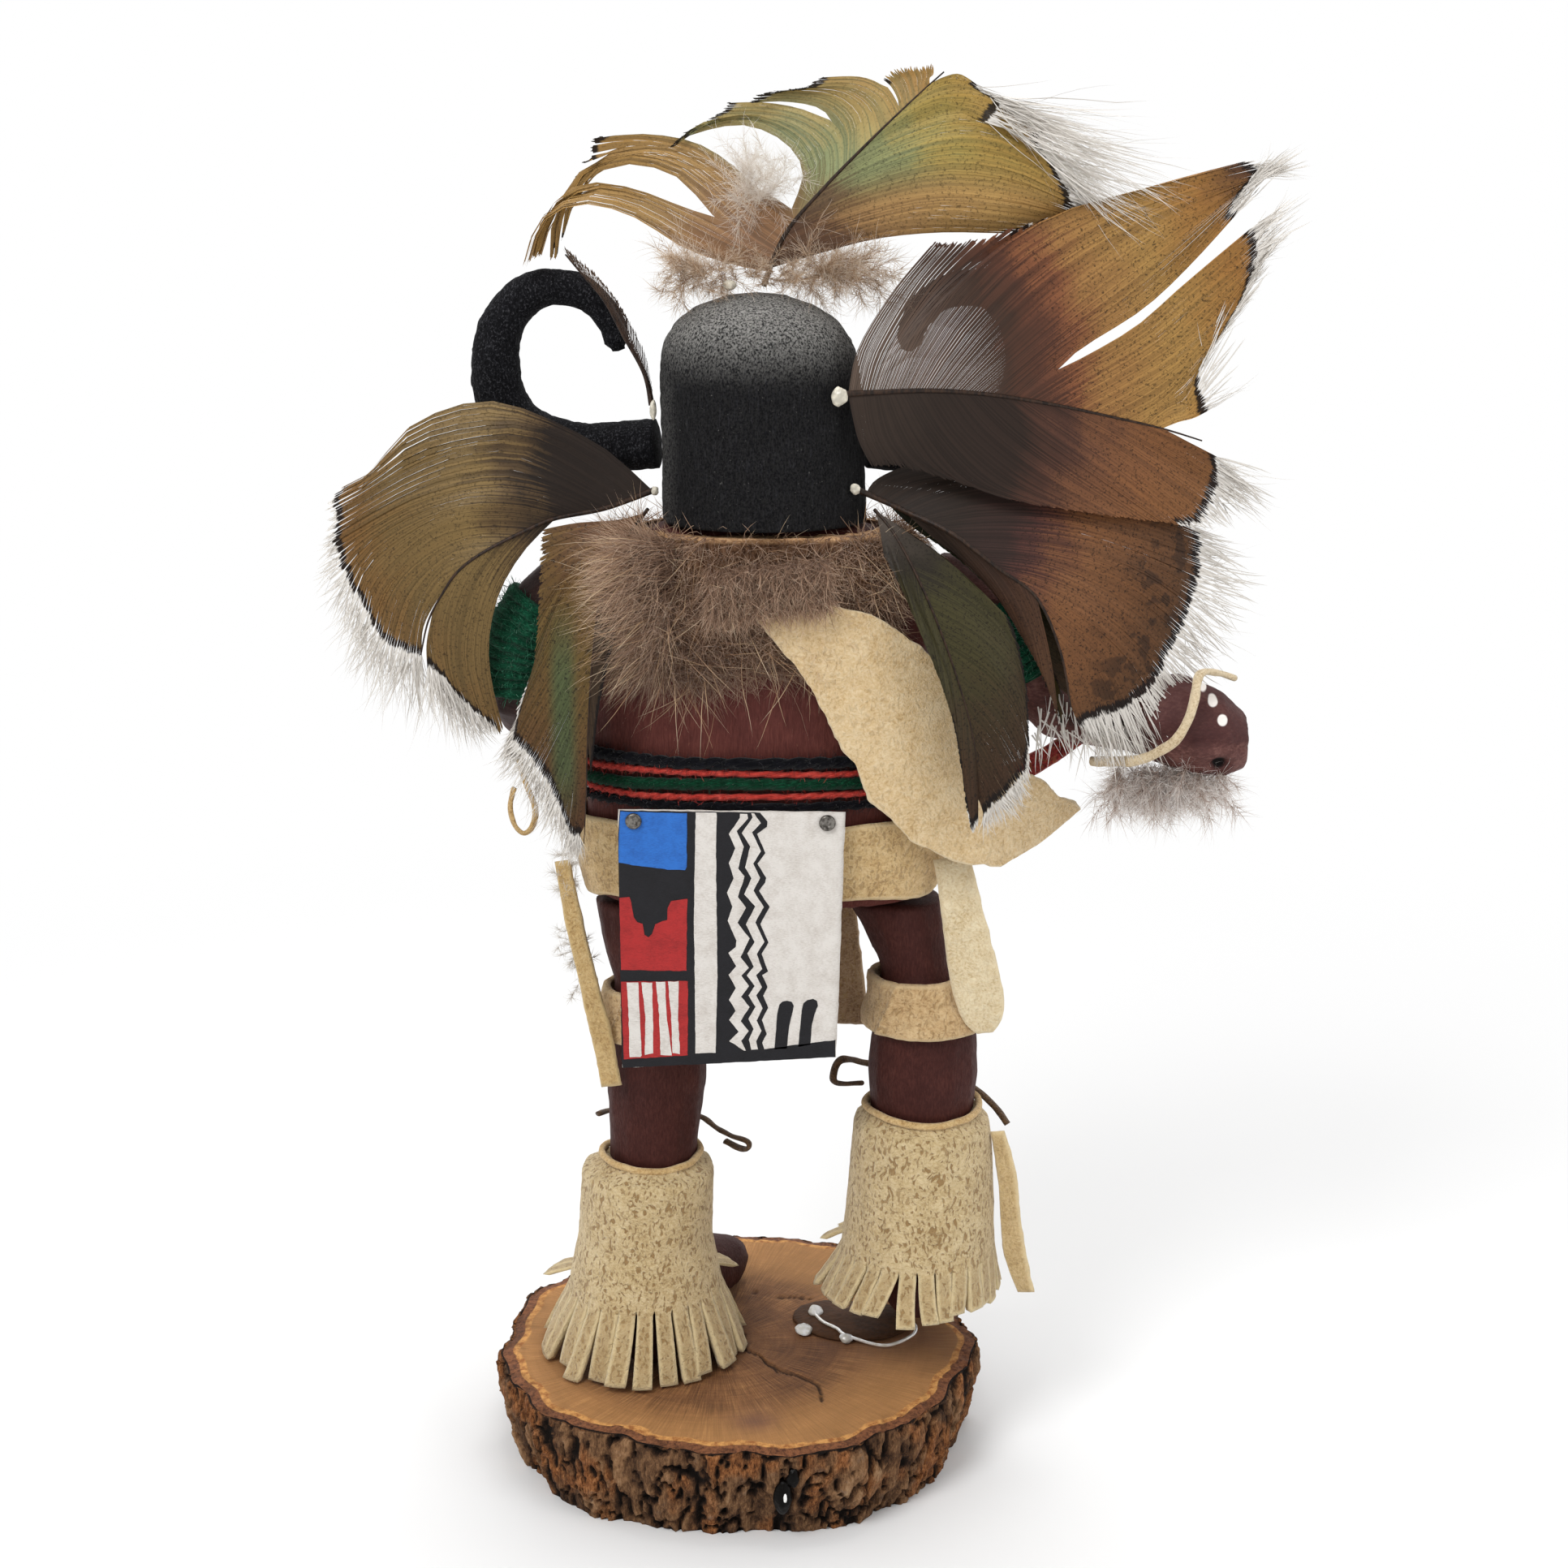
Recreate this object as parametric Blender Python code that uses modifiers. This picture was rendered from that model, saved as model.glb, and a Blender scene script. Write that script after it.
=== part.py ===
"""A carved and dressed kachina doll on a slice of branch, about 230 mm tall.

+Z is up and +Y is the way the figure faces, so the doll's own right is at +X.
The origin is the centre of the slice's flat underside.
Every size and place below is in millimetres and becomes metres when a mesh is made.
"""

import math

import bmesh
import bpy
from mathutils import Matrix, Vector

MM = 0.001

# Gap kept between pieces that touch
GAP = 0.35

# Branch slice
SLICE_RADIUS = 41.3
SLICE_HEIGHT = 16.0
SLICE_SIDES = 44
# Height and how far the bark draws in there
SLICE_LEVELS = ((0.0, 3.0), (5.0, 1.5), (11.0, 0.3), (SLICE_HEIGHT, 0.6))
# Waves of the bark round the slice: count, size, shift
BARK_RIDGES = ((3, 0.7, 3.1), (5, 0.7, 0.4), (11, 0.5, 1.7), (23, 0.4, 0.9))

# Torso: height, half width, half depth, centre across, centre in depth
TORSO_STATIONS = (
    (97.0, 26.5, 12.0, 4.0, -1.0),
    (104.0, 28.5, 13.5, 4.0, -1.0),
    (112.0, 28.3, 14.0, 3.6, -1.6),
    (120.0, 27.5, 14.0, 3.5, -2.0),
    (134.0, 28.0, 14.0, 3.5, -2.0),
    (146.0, 28.0, 13.5, 3.5, -2.0),
    (152.0, 27.0, 12.8, 3.8, -2.0),
    (156.0, 23.5, 11.5, 4.2, -2.0),
    (158.8, 16.0, 9.5, 4.4, -2.0),
)
TORSO_SQUARENESS = 2.5
TORSO_SIDES = 20

# Case mask: height, radius, centre across
MASK_STATIONS = (
    (159.3, 16.1, 4.7),
    (170.0, 15.9, 4.5),
    (180.0, 15.7, 4.1),
    (186.0, 15.1, 3.8),
    (190.0, 12.9, 3.6),
    (192.8, 9.0, 3.5),
    (194.3, 4.6, 3.5),
)
MASK_DEPTH = -2.0
MASK_SIDES = 22
EYE_SLIT = (4.4, 2.2)
EYE_SPACING = 13.0
EYE_HEIGHT = 180.0
MOUTH_SLIT = (9.0, 2.4)
MOUTH_HEIGHT = 169.0
FACE_CUT_DEPTH = 0.9
FACE_CUTTER_OUTSIDE = 4.0

# Horn of the left side, the other is its mirror in the plane of the mask
HORN_PATH = (
    (-12.4, 0, 171),
    (-19, 1, 170.5),
    (-26.5, 2, 170.5),
    (-34.5, 3, 173.5),
    (-38, 3, 181),
    (-36.8, 3, 189.5),
    (-31.5, 3, 194.8),
    (-24.5, 3, 194.6),
    (-20, 3, 190.5),
    (-18.5, 3, 185.5),
)
HORN_RADII = (3.9, 3.9, 4.0, 4.1, 4.0, 3.5, 3.0, 2.6, 2.2, 1.8)
HORN_SIDES = 8
MASK_PLANE = 4.4

# Legs: path points with a radius each
LEG_LEFT = (
    (-15.5, -1, 96.6, 8.2),
    (-15.2, -2, 89, 7.2),
    (-14.5, -2.5, 82, 6.0),
    (-13.8, -2.8, 74, 8.0),
    (-13.6, -2.8, 66, 8.6),
    (-14.4, -2.5, 52, 7.4),
    (-15.2, -2.5, 36, 6.8),
    (-15.5, -2.5, 22, 6.4),
)
LEG_RIGHT = (
    (26.0, -1, 96.6, 8.2),
    (28.0, -2, 91, 7.0),
    (29.8, -3, 85, 5.8),
    (31.2, -4, 75, 8.8),
    (31.1, -4.3, 67, 9.4),
    (31.0, -4.5, 55, 8.1),
    (31.2, -4.5, 42, 7.6),
    (31.4, -3.5, 30, 6.6),
)
LEG_SIDES = 12
# Feet: heel point and toe point of the sole, sole to instep height at the heel
FOOT_LEFT = ((-15.0, -12.0, 16.4), (-9.5, 29.0, 16.4))
FOOT_RIGHT = ((30.5, -12.5, 25.2), (34.5, 25.0, 16.5))
# Along the foot: share of length, half width, height
FOOT_STATIONS = (
    (0.0, 4.2, 6.0),
    (0.08, 6.2, 11.0),
    (0.35, 6.6, 12.5),
    (0.6, 7.4, 9.0),
    (0.85, 7.0, 6.5),
    (1.0, 3.4, 3.6),
)

# Arms
ARM_LEFT = (
    (-25.3, -2, 149.4, 4.7),
    (-27.3, -2, 149.3, 4.8),
    (-30.5, -2.5, 146.5, 4.9),
    (-34.6, -2.5, 139, 4.8),
    (-35.6, -1, 130, 4.8),
    (-34.8, 4, 126.2, 4.4),
    (-31.5, 14, 127.0, 3.9),
    (-27, 23, 129.5, 3.6),
    (-25.5, 26, 130.5, 4.6),
    (-23.5, 30.5, 132.0, 4.0),
)
ARM_RIGHT = (
    (32.3, -1.5, 149.4, 4.7),
    (34.3, -1.5, 149.2, 4.8),
    (37.5, -1.5, 147.5, 4.9),
    (44, -0.5, 140, 4.8),
    (49, 0, 131.5, 4.8),
    (52.5, -0.8, 127.2, 4.4),
    (58, -3, 126.2, 3.9),
    (63.5, -5.5, 126.6, 4.6),
    (68, -7, 127.2, 7.4),
    (73, -8, 127.4, 8.4),
    (77.5, -8.2, 126, 7.2),
    (80.5, -8.3, 124.8, 4.6),
)
ARM_SIDES = 10

# Fur collar: lowest edge behind, in front and over the shoulders
COLLAR_TOP = 158.6
COLLAR_BACK = 136.0
COLLAR_FRONT = 141.0
COLLAR_SHOULDER = 156.0
COLLAR_STEPS = (0.0, 146.0, 152.0, 156.0)
COLLAR_RIM = (19.5, 17.5)
COLLAR_CLEARANCE = 1.1

# Yarn belt: height and radius of each turn
BELT_TURNS = {
    "belt_black_upper": (122.95, 0.9),
    "belt_red_upper": (121.15, 0.7),
    "belt_green": (119.3, 0.95),
    "belt_red_lower": (117.45, 0.7),
    "belt_black_lower": (115.85, 0.7),
}
BELT_SIDES = 4

# Sash panel: four corners seen from behind, and its board
PANEL_TOP_LEFT = (-18.2, 115.9)
PANEL_TOP_RIGHT = (17.5, 115.5)
PANEL_LOW_RIGHT = (16.2, 74.7)
PANEL_LOW_LEFT = (-18.3, 72.9)
PANEL_DEPTH = -19.0
PANEL_THICKNESS = 1.1
PIN_PLACES = {"panel_pin_left": (-15.8, 114.2), "panel_pin_right": (14.6, 113.9)}
PIN_RADIUS = 0.9
PIN_CROWN = 0.7
PIN_HEIGHT = 0.5

# Leather
LEATHER = 1.2
SASH_ROWS = (
    ((2.0, -19.6, 148.6), (7.0, -19.8, 148.9), (13.0, -19.5, 149.0)),
    ((6.4, -19.6, 142.5), (14.5, -20.0, 144.0), (22.6, -18.6, 146.0)),
    ((10.8, -19.6, 136.5), (20.5, -20.0, 138.0), (29.7, -17.6, 141.0)),
    ((17.1, -19.7, 125.6), (26.0, -19.6, 129.0), (36.0, -15.4, 133.0)),
    ((21.6, -19.7, 117.8), (30.5, -18.6, 122.0), (38.6, -14.0, 126.5)),
    ((25.5, -19.4, 113.0), (35.0, -17.6, 115.8), (42.8, -12.0, 120.6)),
    ((30.0, -19.0, 109.6), (38.5, -16.2, 111.0), (46.7, -9.4, 119.6)),
    ((36.7, -17.4, 106.7), (43.5, -13.6, 108.2), (51.5, -7.0, 115.8)),
    ((42.7, -14.4, 105.4), (49.0, -9.4, 108.0), (55.8, -4.6, 111.9)),
)
STRIP_RIGHT = (
    (35.4, -11, 105.8, 4.6),
    (36.6, -11.6, 97, 5.0),
    (38.0, -11.8, 89, 5.2),
    (39.6, -11.8, 81, 5.4),
    (40.4, -11.6, 77.6, 4.6),
    (41.0, -11.4, 75.6, 2.0),
)
STRIP_LEFT = (
    (-27.6, -7.5, 101, 2.8),
    (-25.6, -9.0, 93, 2.7),
    (-23.6, -10.2, 84.4, 2.6),
    (-21.8, -11.2, 76, 2.6),
    (-20.4, -11.8, 68, 2.2),
)
FLAP_TOP = 111.5
FLAP_LOW = 66.8
FLAP_TOP_SPAN = (-10.0, 18.0)
FLAP_LOW_SPAN = (-12.0, 22.9)
FLAP_DEPTHS = (15.4, 15.4, 16.2, 17.4, 18.0)
WRAP_TOP = 111.2
WRAP_LOW = 99.2
BAND_LEFT = (71.5, 82.5)
BAND_RIGHT = (73.2, 84.8)
BAND_THICKNESS = 1.3

# Anklets: height, radius, centre across, centre in depth
BOOT_LEFT = (
    (51.2, 9.8, -14.8, -2.5),
    (49.6, 11.3, -15.4, -2.5),
    (36.5, 11.6, -16.0, -2.5),
    (27.0, 13.4, -16.2, -2.5),
    (16.8, 17.4, -16.4, -2.5),
)
BOOT_RIGHT = (
    (60.6, 10.5, 31.0, -4.5),
    (58.8, 11.4, 31.0, -4.5),
    (44.0, 12.5, 31.0, -4.6),
    (35.0, 13.1, 30.5, -4.6),
    (25.4, 15.4, 28.6, -4.6),
)
BOOT_LEATHER = 1.3
FRINGE_STRIPS = 13
FRINGE_CUT_START = 3
FRINGE_NOTCH = 0.16
# The fringe opens over the instep: half angle from straight ahead
INSTEP_HALF_ANGLE = 66
INSTEP_LEFT = 30.0
INSTEP_RIGHT = 38.0
BOOT_TIE = (
    (43.6, -7, 57.0, 2.4),
    (45.2, -8, 50.0, 3.2),
    (46.0, -8.5, 42.0, 3.6),
    (47.0, -8.8, 35.0, 3.8),
    (48.9, -8.8, 28.6, 2.8),
)

# Thongs: route points, chosen by hand, and radius
THONGS = {
    "leg_thong_left": (
        ((-24.2, 4, 55.6), (-20.5, 8, 55.2), (-13.6, 9, 54.6), (-7, 7.6, 53.8),
         (-2.4, 3, 52.6), (1.6, 0, 52.2), (1.2, 0.4, 50.6), (-2.4, 3.6, 50.8)),
        0.65,
    ),
    "leg_thong_right": (
        ((46.2, 2.4, 54.4), (43.6, 4.4, 57.4), (39, 8.2, 60), (31, 9, 61.4), (22.8, 7.2, 63.6),
         (17.8, 3, 66), (16.2, 1.8, 63.4), (17.2, 2.4, 61.8), (21.2, 5.4, 60.8)),
        0.75,
    ),
    "arm_thong_left": (
        ((-35.6, -3.2, 121.6), (-34.2, -4.8, 117), (-32.7, -5, 112.4), (-33.2, -5, 109.4),
         (-34.8, -5, 108.2), (-36.3, -5, 109.8), (-36.7, -5, 113), (-36.0, -5, 116)),
        0.55,
    ),
    "wrist_thong": (
        ((79.2, -10, 135.0), (76.2, -11.6, 136.2), (73.0, -14.4, 136.6), (71.6, -17.2, 132.6),
         (69.6, -18, 127.6), (65.4, -15.6, 123.6), (60.8, -10.6, 121.6), (57.6, -5.4, 120.4)),
        0.85,
    ),
}
THONG_SIDES = 4

RED_STRIP = (
    (34.6, 6.5, 112.6, 3.0),
    (41.0, 7.0, 113.4, 3.4),
    (48.0, 6.8, 116.2, 3.6),
    (53.0, 6.0, 119.4, 3.4),
    (58.5, 4.4, 123.4, 2.4),
)
YARN_INNER = 5.3
YARN_LEFT = (146.0, 132.6, 6.3)
YARN_RIGHT = (145.0, 134.0, 6.3)

# Tufts and glue: centre and half sizes
CROWN_DOWN = ((7.0, -6.6, 197.4), (17.0, 3.0, 2.2))
HAND_FLUFF = ((71.6, -8.5, 113.0), (9.5, 5.2, 5.4))
GLUE_PUDDLE = ((20.0, 5.0, 16.35), (10.5, 7.5, 0.9))

# Feathers: the shaft from root to tip, then the chosen barbs of each vane from shaft to tip.
# A split names the barb after which the vane parts, and the share of length where it starts.
FEATHER_THICKNESS = 0.5
FEATHER_COLUMNS = 4
QUILL_HALF_WIDTH = 0.5
STATION_SPACING = 0.03
ROOT_REACH = 0.03
FEATHERS = {
    "crown_feather": {
        "shaft": ((4.6, 0.4, 195.6), (8, -1, 203.5), (14, -2, 210.5), (21, -3, 217.5),
                  (28, -4, 224), (32, -5, 227.5)),
        "vanes": (
            (
                ((5.5, 0, 198.5), (12, -3, 200.5), (21.5, -5, 203), (31.5, -6, 204), (41.5, -6, 204)),
                ((6.5, 0, 200.5), (17, -4, 204.5), (29.5, -7, 207.5), (40.5, -8, 207), (50.5, -6, 205.5)),
                ((9, -1, 204.5), (19.5, -5, 209.5), (31.5, -8, 212.5), (42.5, -9, 211.5), (51.5, -8, 208)),
                ((14, -2, 210.5), (23, -5, 215), (33, -8, 218), (41.5, -9, 217), (49, -9, 212.5)),
                ((19, -3, 215), (28, -5, 219.5), (36.5, -7, 221), (46, -9, 217)),
                ((24, -3, 219.5), (30.5, -5, 223), (36.5, -6, 223.5), (40.5, -8, 222)),
                ((30, -4, 225.5), (32, -5, 226.5), (34.5, -5, 227), (37, -6, 225.5)),
            ),
            (
                ((5, 0, 198), (-0.5, 2, 199), (-8.5, 4, 201.5), (-17, 5, 206.5), (-25.5, 3, 208.5),
                 (-31.5, 0, 205.5), (-34, -2.5, 199)),
                ((5.6, 0, 199.6), (0, 2, 201.6), (-7, 4, 205), (-14.5, 6, 208.8), (-23.5, 6, 210.5),
                 (-29.5, 5, 207), (-32, 4, 200.5)),
                ((7, 0, 201.5), (2.5, 3, 204.5), (-3, 6, 209.5), (-9.5, 8, 214), (-17.5, 8, 215.5),
                 (-24.5, 7, 212.5), (-27.5, 6, 207), (-28.5, 6, 201)),
                ((9, -1, 204.5), (4.5, 3, 207.5), (-0.5, 7, 212.5), (-7, 9, 216.5), (-15, 9, 218),
                 (-22, 8, 217.5)),
                ((10, -1, 206), (12, 4, 212.5), (9, 8, 218), (2, 10, 221), (-6, 9, 219.5), (-9, 8, 217.5)),
                ((16, -2, 212), (15.5, 4, 217), (11, 8, 220.5), (4.5, 10, 222), (-1.5, 10, 222)),
                ((18, -2.5, 214.5), (18, 3, 220), (14.5, 6, 223.5), (9, 8, 224.6), (4, 8, 224.4)),
                ((24.5, -3, 220.5), (22.5, 1, 224), (18.5, 4, 226), (12.5, 6, 226)),
                ((27, -4, 223), (26.5, -3, 225), (25.8, -2, 226.6), (25, -2, 227.4)),
                ((30, -4, 225.5), (30, -4, 226.5), (30.5, -4, 227), (30.5, -4, 228)),
            ),
        ),
        "splits": (((4, 0.5),), ((1, 0.25), (3, 0.1), (5, 0.4), (7, 0.1))),
    },
    "feather_right_upper": {
        "shaft": ((16.2, -14.8, 180), (28.5, -14, 180.5), (38, -13.5, 180), (48, -13, 178.5),
                  (57.5, -12, 176.5), (66, -11, 174.5), (72.5, -10, 172.5)),
        "vanes": (
            (
                ((17.5, -14.6, 180), (19, -14, 187), (24, -12, 195), (30, -10, 202)),
                ((21.5, -14.4, 180.5), (24, -13, 187), (30.5, -11, 196.5), (37, -10, 203)),
                ((25, -14, 180.5), (29, -13, 189), (36.5, -12, 198.5), (47.5, -10, 206), (61.5, -7, 210),
                 (77, -4, 214)),
                ((30.5, -13.8, 180.5), (36.5, -13, 188.5), (45, -12, 197), (55, -10, 203.5),
                 (66.5, -7, 208.5), (80, -4, 212)),
                ((37, -13.5, 180.5), (44, -13, 186.5), (52.5, -12, 193.5), (62.5, -9, 200.5),
                 (71, -7, 206.5), (78.5, -5, 211.5)),
                ((43, -13.2, 180), (51.5, -12, 187), (62, -10, 193.5), (69.5, -7, 200), (76.5, -5, 207.5)),
                ((44.5, -13.2, 179.5), (52.5, -12, 184.5), (62, -11, 190), (69, -10, 196), (79.5, -8, 204.5)),
                ((49.5, -13, 178.5), (56.5, -12, 182.5), (65.5, -11, 188), (72.5, -10, 194), (79.5, -9, 200)),
                ((55, -12.2, 177), (61.5, -12, 180.5), (68, -11, 184.5), (74, -10, 190), (78.5, -9, 196)),
                ((60, -11.8, 176), (65.5, -11, 179), (70, -11, 183.5), (75.5, -10, 190)),
                ((63.5, -11.3, 175), (66.5, -11, 177.5), (69.5, -10, 179), (71.5, -10, 183)),
                ((66, -11, 174.5), (68.5, -11, 175.5), (71, -10, 176), (73, -10, 177)),
            ),
            (
                ((17.5, -14.6, 180), (19, -15, 173.5), (21, -15, 169.5)),
                ((21.5, -14.4, 180.5), (23, -15, 174), (26, -15, 169.5)),
                ((25.5, -14, 180.5), (29.5, -15, 173.5), (35.5, -15.4, 167), (43.5, -15.6, 164)),
                ((32, -13.8, 180.5), (37, -14.6, 174), (45.5, -15, 167.5), (56, -14.6, 162)),
                ((38, -13.5, 180), (45, -14, 174), (54.5, -14, 167.5), (65, -12.4, 160.5)),
                ((45, -13.2, 179), (53, -13, 174), (62, -12.4, 168), (72.5, -10, 160)),
                ((52, -12.8, 178), (61, -12, 173.5), (68.5, -10, 169), (75, -8, 165)),
                ((60, -11.8, 176), (66, -11, 173), (71, -10, 170.5), (75.5, -8, 167.5)),
                ((66, -11, 174.5), (69, -11, 173), (72, -10, 171.5), (75, -9, 170)),
            ),
        ),
        "splits": (((5, 0.1),), ()),
    },
    "feather_right_middle": {
        "shaft": ((19.4, -11.2, 165), (26.5, -13, 162), (33.5, -16.4, 159), (40.5, -18.6, 154),
                  (46.5, -19.4, 149.5), (50.5, -18.6, 141), (52.5, -17.6, 132)),
        "vanes": (
            (
                ((20.5, -11.5, 164.5), (22, -11, 166.5), (26, -11, 168.4), (31, -11, 169.4)),
                ((26.5, -13, 162), (34.5, -12, 165), (46, -11, 165.5), (60, -9.6, 163.5), (70.5, -6.4, 159.5)),
                ((31, -15, 160.5), (41, -14.4, 161.4), (52, -13, 160.5), (62.5, -11, 157.5), (73.5, -7, 153.5)),
                ((35, -16.6, 158), (44.5, -16, 157.5), (55, -14.6, 155.5), (64, -12.4, 151.5), (71.5, -9, 146)),
                ((39, -18, 155), (47, -17.4, 154), (54.5, -16, 151), (62, -14, 146), (68.5, -11, 140)),
                ((42.5, -18.8, 152.5), (49.5, -18.4, 149.5), (56, -17, 145.5), (61.5, -15, 140.5),
                 (66, -13, 135)),
                ((46.5, -19.4, 149.5), (51.5, -18.6, 145), (56, -17.4, 141), (59.5, -16, 137), (62, -15, 132)),
                ((49.5, -18.8, 143), (52.5, -18.2, 140), (55, -17.2, 136.5), (57, -16, 130.5)),
                ((52.2, -17.7, 133), (53, -17.4, 131), (53.5, -17.2, 130), (54, -17, 129)),
            ),
            (
                ((26.5, -13, 162), (31, -14.4, 158), (35.5, -15.8, 154.5), (39, -16.8, 151.5)),
                ((33.5, -16.4, 159), (38.5, -17.4, 153.5), (42, -17.8, 148.5), (45, -17.6, 142.5)),
                ((40.5, -18.6, 154), (44, -18.6, 149.5), (46.5, -18.4, 144), (48.5, -18, 136)),
                ((46.5, -19.4, 149.5), (48, -18.8, 144), (49.5, -18.2, 137.5), (50.5, -17.6, 130.5)),
            ),
        ),
        "splits": ((), ()),
    },
    "feather_right_under": {
        "shaft": ((22.6, -8.2, 163.5), (31.5, -8.6, 157.5), (41.5, -9.4, 147.5), (47.5, -9.6, 135.5),
                  (50.5, -9, 127)),
        "vanes": (
            (
                ((24, -8.3, 162.4), (29, -8, 161), (33, -8, 160)),
                ((31.5, -8.6, 157.5), (38, -8, 155), (43.5, -8, 152)),
                ((36.5, -9, 152.5), (45, -8.4, 149.5), (51.5, -8, 144.5)),
                ((41.5, -9.4, 147.5), (49, -9.2, 143), (55, -9, 139.5), (58, -9.2, 134.5)),
                ((45, -9.6, 141), (51.5, -9.8, 137), (57, -10, 131), (59.5, -10, 127.5)),
                ((48, -9.5, 133.5), (52, -9.8, 130), (54, -9.8, 126.8)),
            ),
            (
                ((24, -8.3, 162.4), (26, -8.6, 160), (28, -9, 158)),
                ((31.5, -8.6, 157.5), (34, -9.4, 154), (36, -9.8, 150.5)),
                ((36.5, -9, 152.5), (39, -10, 148), (41, -10.4, 144)),
                ((41.5, -9.4, 147.5), (43, -10.2, 143), (44.5, -10.6, 138)),
                ((45, -9.6, 141), (46, -10.4, 137), (47, -10.6, 132)),
                ((48, -9.5, 133.5), (48.5, -10, 130), (49, -9.8, 126.4)),
            ),
        ),
        "splits": ((), ()),
    },
    "feather_right_lower": {
        "shaft": ((21.8, -13, 162.2), (25, -17, 158.5), (29.5, -21.4, 150), (34, -24, 138.5),
                  (37, -25, 127.5), (37.5, -25, 117)),
        "vanes": (
            (
                ((22, -13.2, 162), (22.5, -16, 160), (23, -19, 156.5)),
                ((25, -17, 158.5), (25.2, -20, 155.5), (26.5, -23, 151), (28.5, -25, 145)),
                ((29.5, -21.4, 150), (30.8, -23.6, 143.5), (32.5, -25, 139), (33.5, -26, 132)),
                ((34, -24, 138.5), (35, -25, 132.5), (35.5, -26, 125), (36.5, -26, 115.5)),
            ),
            (
                ((22.2, -13.4, 161.8), (26.4, -15.8, 159.4), (31, -17.6, 156)),
                ((25, -17, 158.5), (32, -18, 155.5), (38, -19.4, 150.5), (42, -20, 146.5)),
                ((28.6, -20.5, 152), (36, -20.8, 148), (42.5, -21, 142), (45, -21, 136)),
                ((31.8, -22.7, 144.5), (39, -23, 140), (43.5, -22.6, 134), (45.5, -22, 128)),
                ((34, -24, 138.5), (40, -24.2, 132.5), (43.5, -23.6, 127), (45, -23, 123.5)),
                ((36.5, -24.8, 129.5), (39, -25, 125.5), (40.5, -25, 122.5), (42, -24.6, 120)),
                ((37.4, -25, 119.5), (38, -25, 118.5), (38.5, -25, 117), (38.5, -25, 116.5)),
            ),
        ),
        "splits": ((), ()),
    },
    "feather_left_middle": {
        "shaft": ((-12.6, -7, 164.5), (-20, -9.6, 162), (-28, -11, 160.5), (-33, -12, 158.5),
                  (-39, -13, 155.5), (-43, -13, 152.5), (-45.5, -13, 149), (-48, -12, 144.5), (-49.5, -11, 139)),
        "vanes": (
            (
                ((-12.9, -7.2, 165), (-20, -8, 171.5), (-27, -9, 175.5), (-33, -9, 178), (-39, -8, 179),
                 (-45.5, -7, 177.5), (-51.5, -6, 174.5), (-57.5, -5, 167.5), (-61.5, -4, 165.5)),
                ((-14.5, -7.8, 163.8), (-23, -9, 170.5), (-32, -10, 174.5), (-41, -9, 174), (-50, -8, 171.5),
                 (-57.5, -6, 166), (-63, -5, 163)),
                ((-17.5, -8.8, 163), (-25.5, -10, 168), (-33, -10, 171.5), (-42, -10, 171), (-51, -8, 167.5),
                 (-58, -7, 163.5), (-62.5, -6, 161)),
                ((-21.5, -9.9, 162), (-29.5, -11, 165.5), (-38, -11, 166.5), (-48.5, -10, 164),
                 (-56.5, -8, 160), (-63, -6, 156)),
                ((-26, -10.7, 161), (-33, -12, 163), (-42, -12, 163), (-51, -10, 159.5), (-57.5, -8, 155),
                 (-61, -7, 150)),
                ((-30, -11.4, 159.8), (-37.5, -12, 160.5), (-45.5, -12, 159.5), (-52, -10, 155),
                 (-57, -9, 150), (-58.5, -8, 146)),
                ((-34.5, -12.3, 157.8), (-41.5, -12, 157.5), (-48, -11, 154), (-53, -10, 149), (-56, -8, 141.5)),
                ((-39, -13, 155.5), (-45, -12, 153.5), (-49, -11, 149), (-51, -10, 144.5), (-52.5, -9, 139.5)),
                ((-43.5, -13, 151.8), (-47, -12, 147), (-49, -11, 143), (-49.5, -10, 138.5)),
            ),
            (
                ((-28, -11, 160.5), (-33, -12, 155.5), (-37, -12, 149), (-39, -11.4, 141.5),
                 (-39, -10.4, 134.5), (-37.5, -9.2, 126.5)),
                ((-33, -12, 158.5), (-38, -12.4, 152.5), (-41, -12, 145), (-42, -11, 137), (-40, -9.6, 128.5)),
                ((-39, -13, 155.5), (-42.5, -13, 149.5), (-44.5, -12, 142.5), (-44.5, -11, 136),
                 (-43.5, -10, 132)),
                ((-43.5, -13, 151.8), (-46, -13, 146.5), (-47, -12, 141.5), (-46, -11, 135.5)),
                ((-47, -12.4, 146.5), (-48, -12, 142.5), (-48.5, -11, 140), (-48.5, -11, 137.5)),
            ),
        ),
        "splits": ((), ()),
    },
    "feather_left_lower": {
        "shaft": ((-13.4, -10.5, 162), (-16.5, -15, 158), (-20, -18.4, 151), (-21.5, -20.6, 141.5),
                  (-22.5, -21.4, 129), (-23, -21.4, 118.5), (-23.5, -21.4, 111)),
        "vanes": (
            (
                ((-14, -11.2, 161.4), (-18.5, -12.4, 160.4), (-24.5, -13, 160), (-29.5, -13, 159)),
                ((-16.5, -15, 158), (-22, -16, 155.5), (-27, -16, 149), (-31, -15, 140)),
                ((-18.9, -17.3, 153.4), (-24, -18, 148.5), (-29.5, -17, 139), (-33.5, -15, 131)),
                ((-20.4, -18.9, 149), (-25, -19, 142.5), (-30.5, -18, 134.5), (-34.5, -16, 127)),
                ((-21.5, -20.6, 141.5), (-25.5, -20.4, 135), (-29, -19, 128.5), (-31.5, -17.6, 124)),
                ((-22, -21, 134), (-24.5, -21, 129), (-27, -20, 123.5), (-28.5, -19.4, 120)),
                ((-22.7, -21.4, 125), (-24.5, -21.4, 121.5), (-25, -21, 117), (-25.5, -20.8, 113)),
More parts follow.
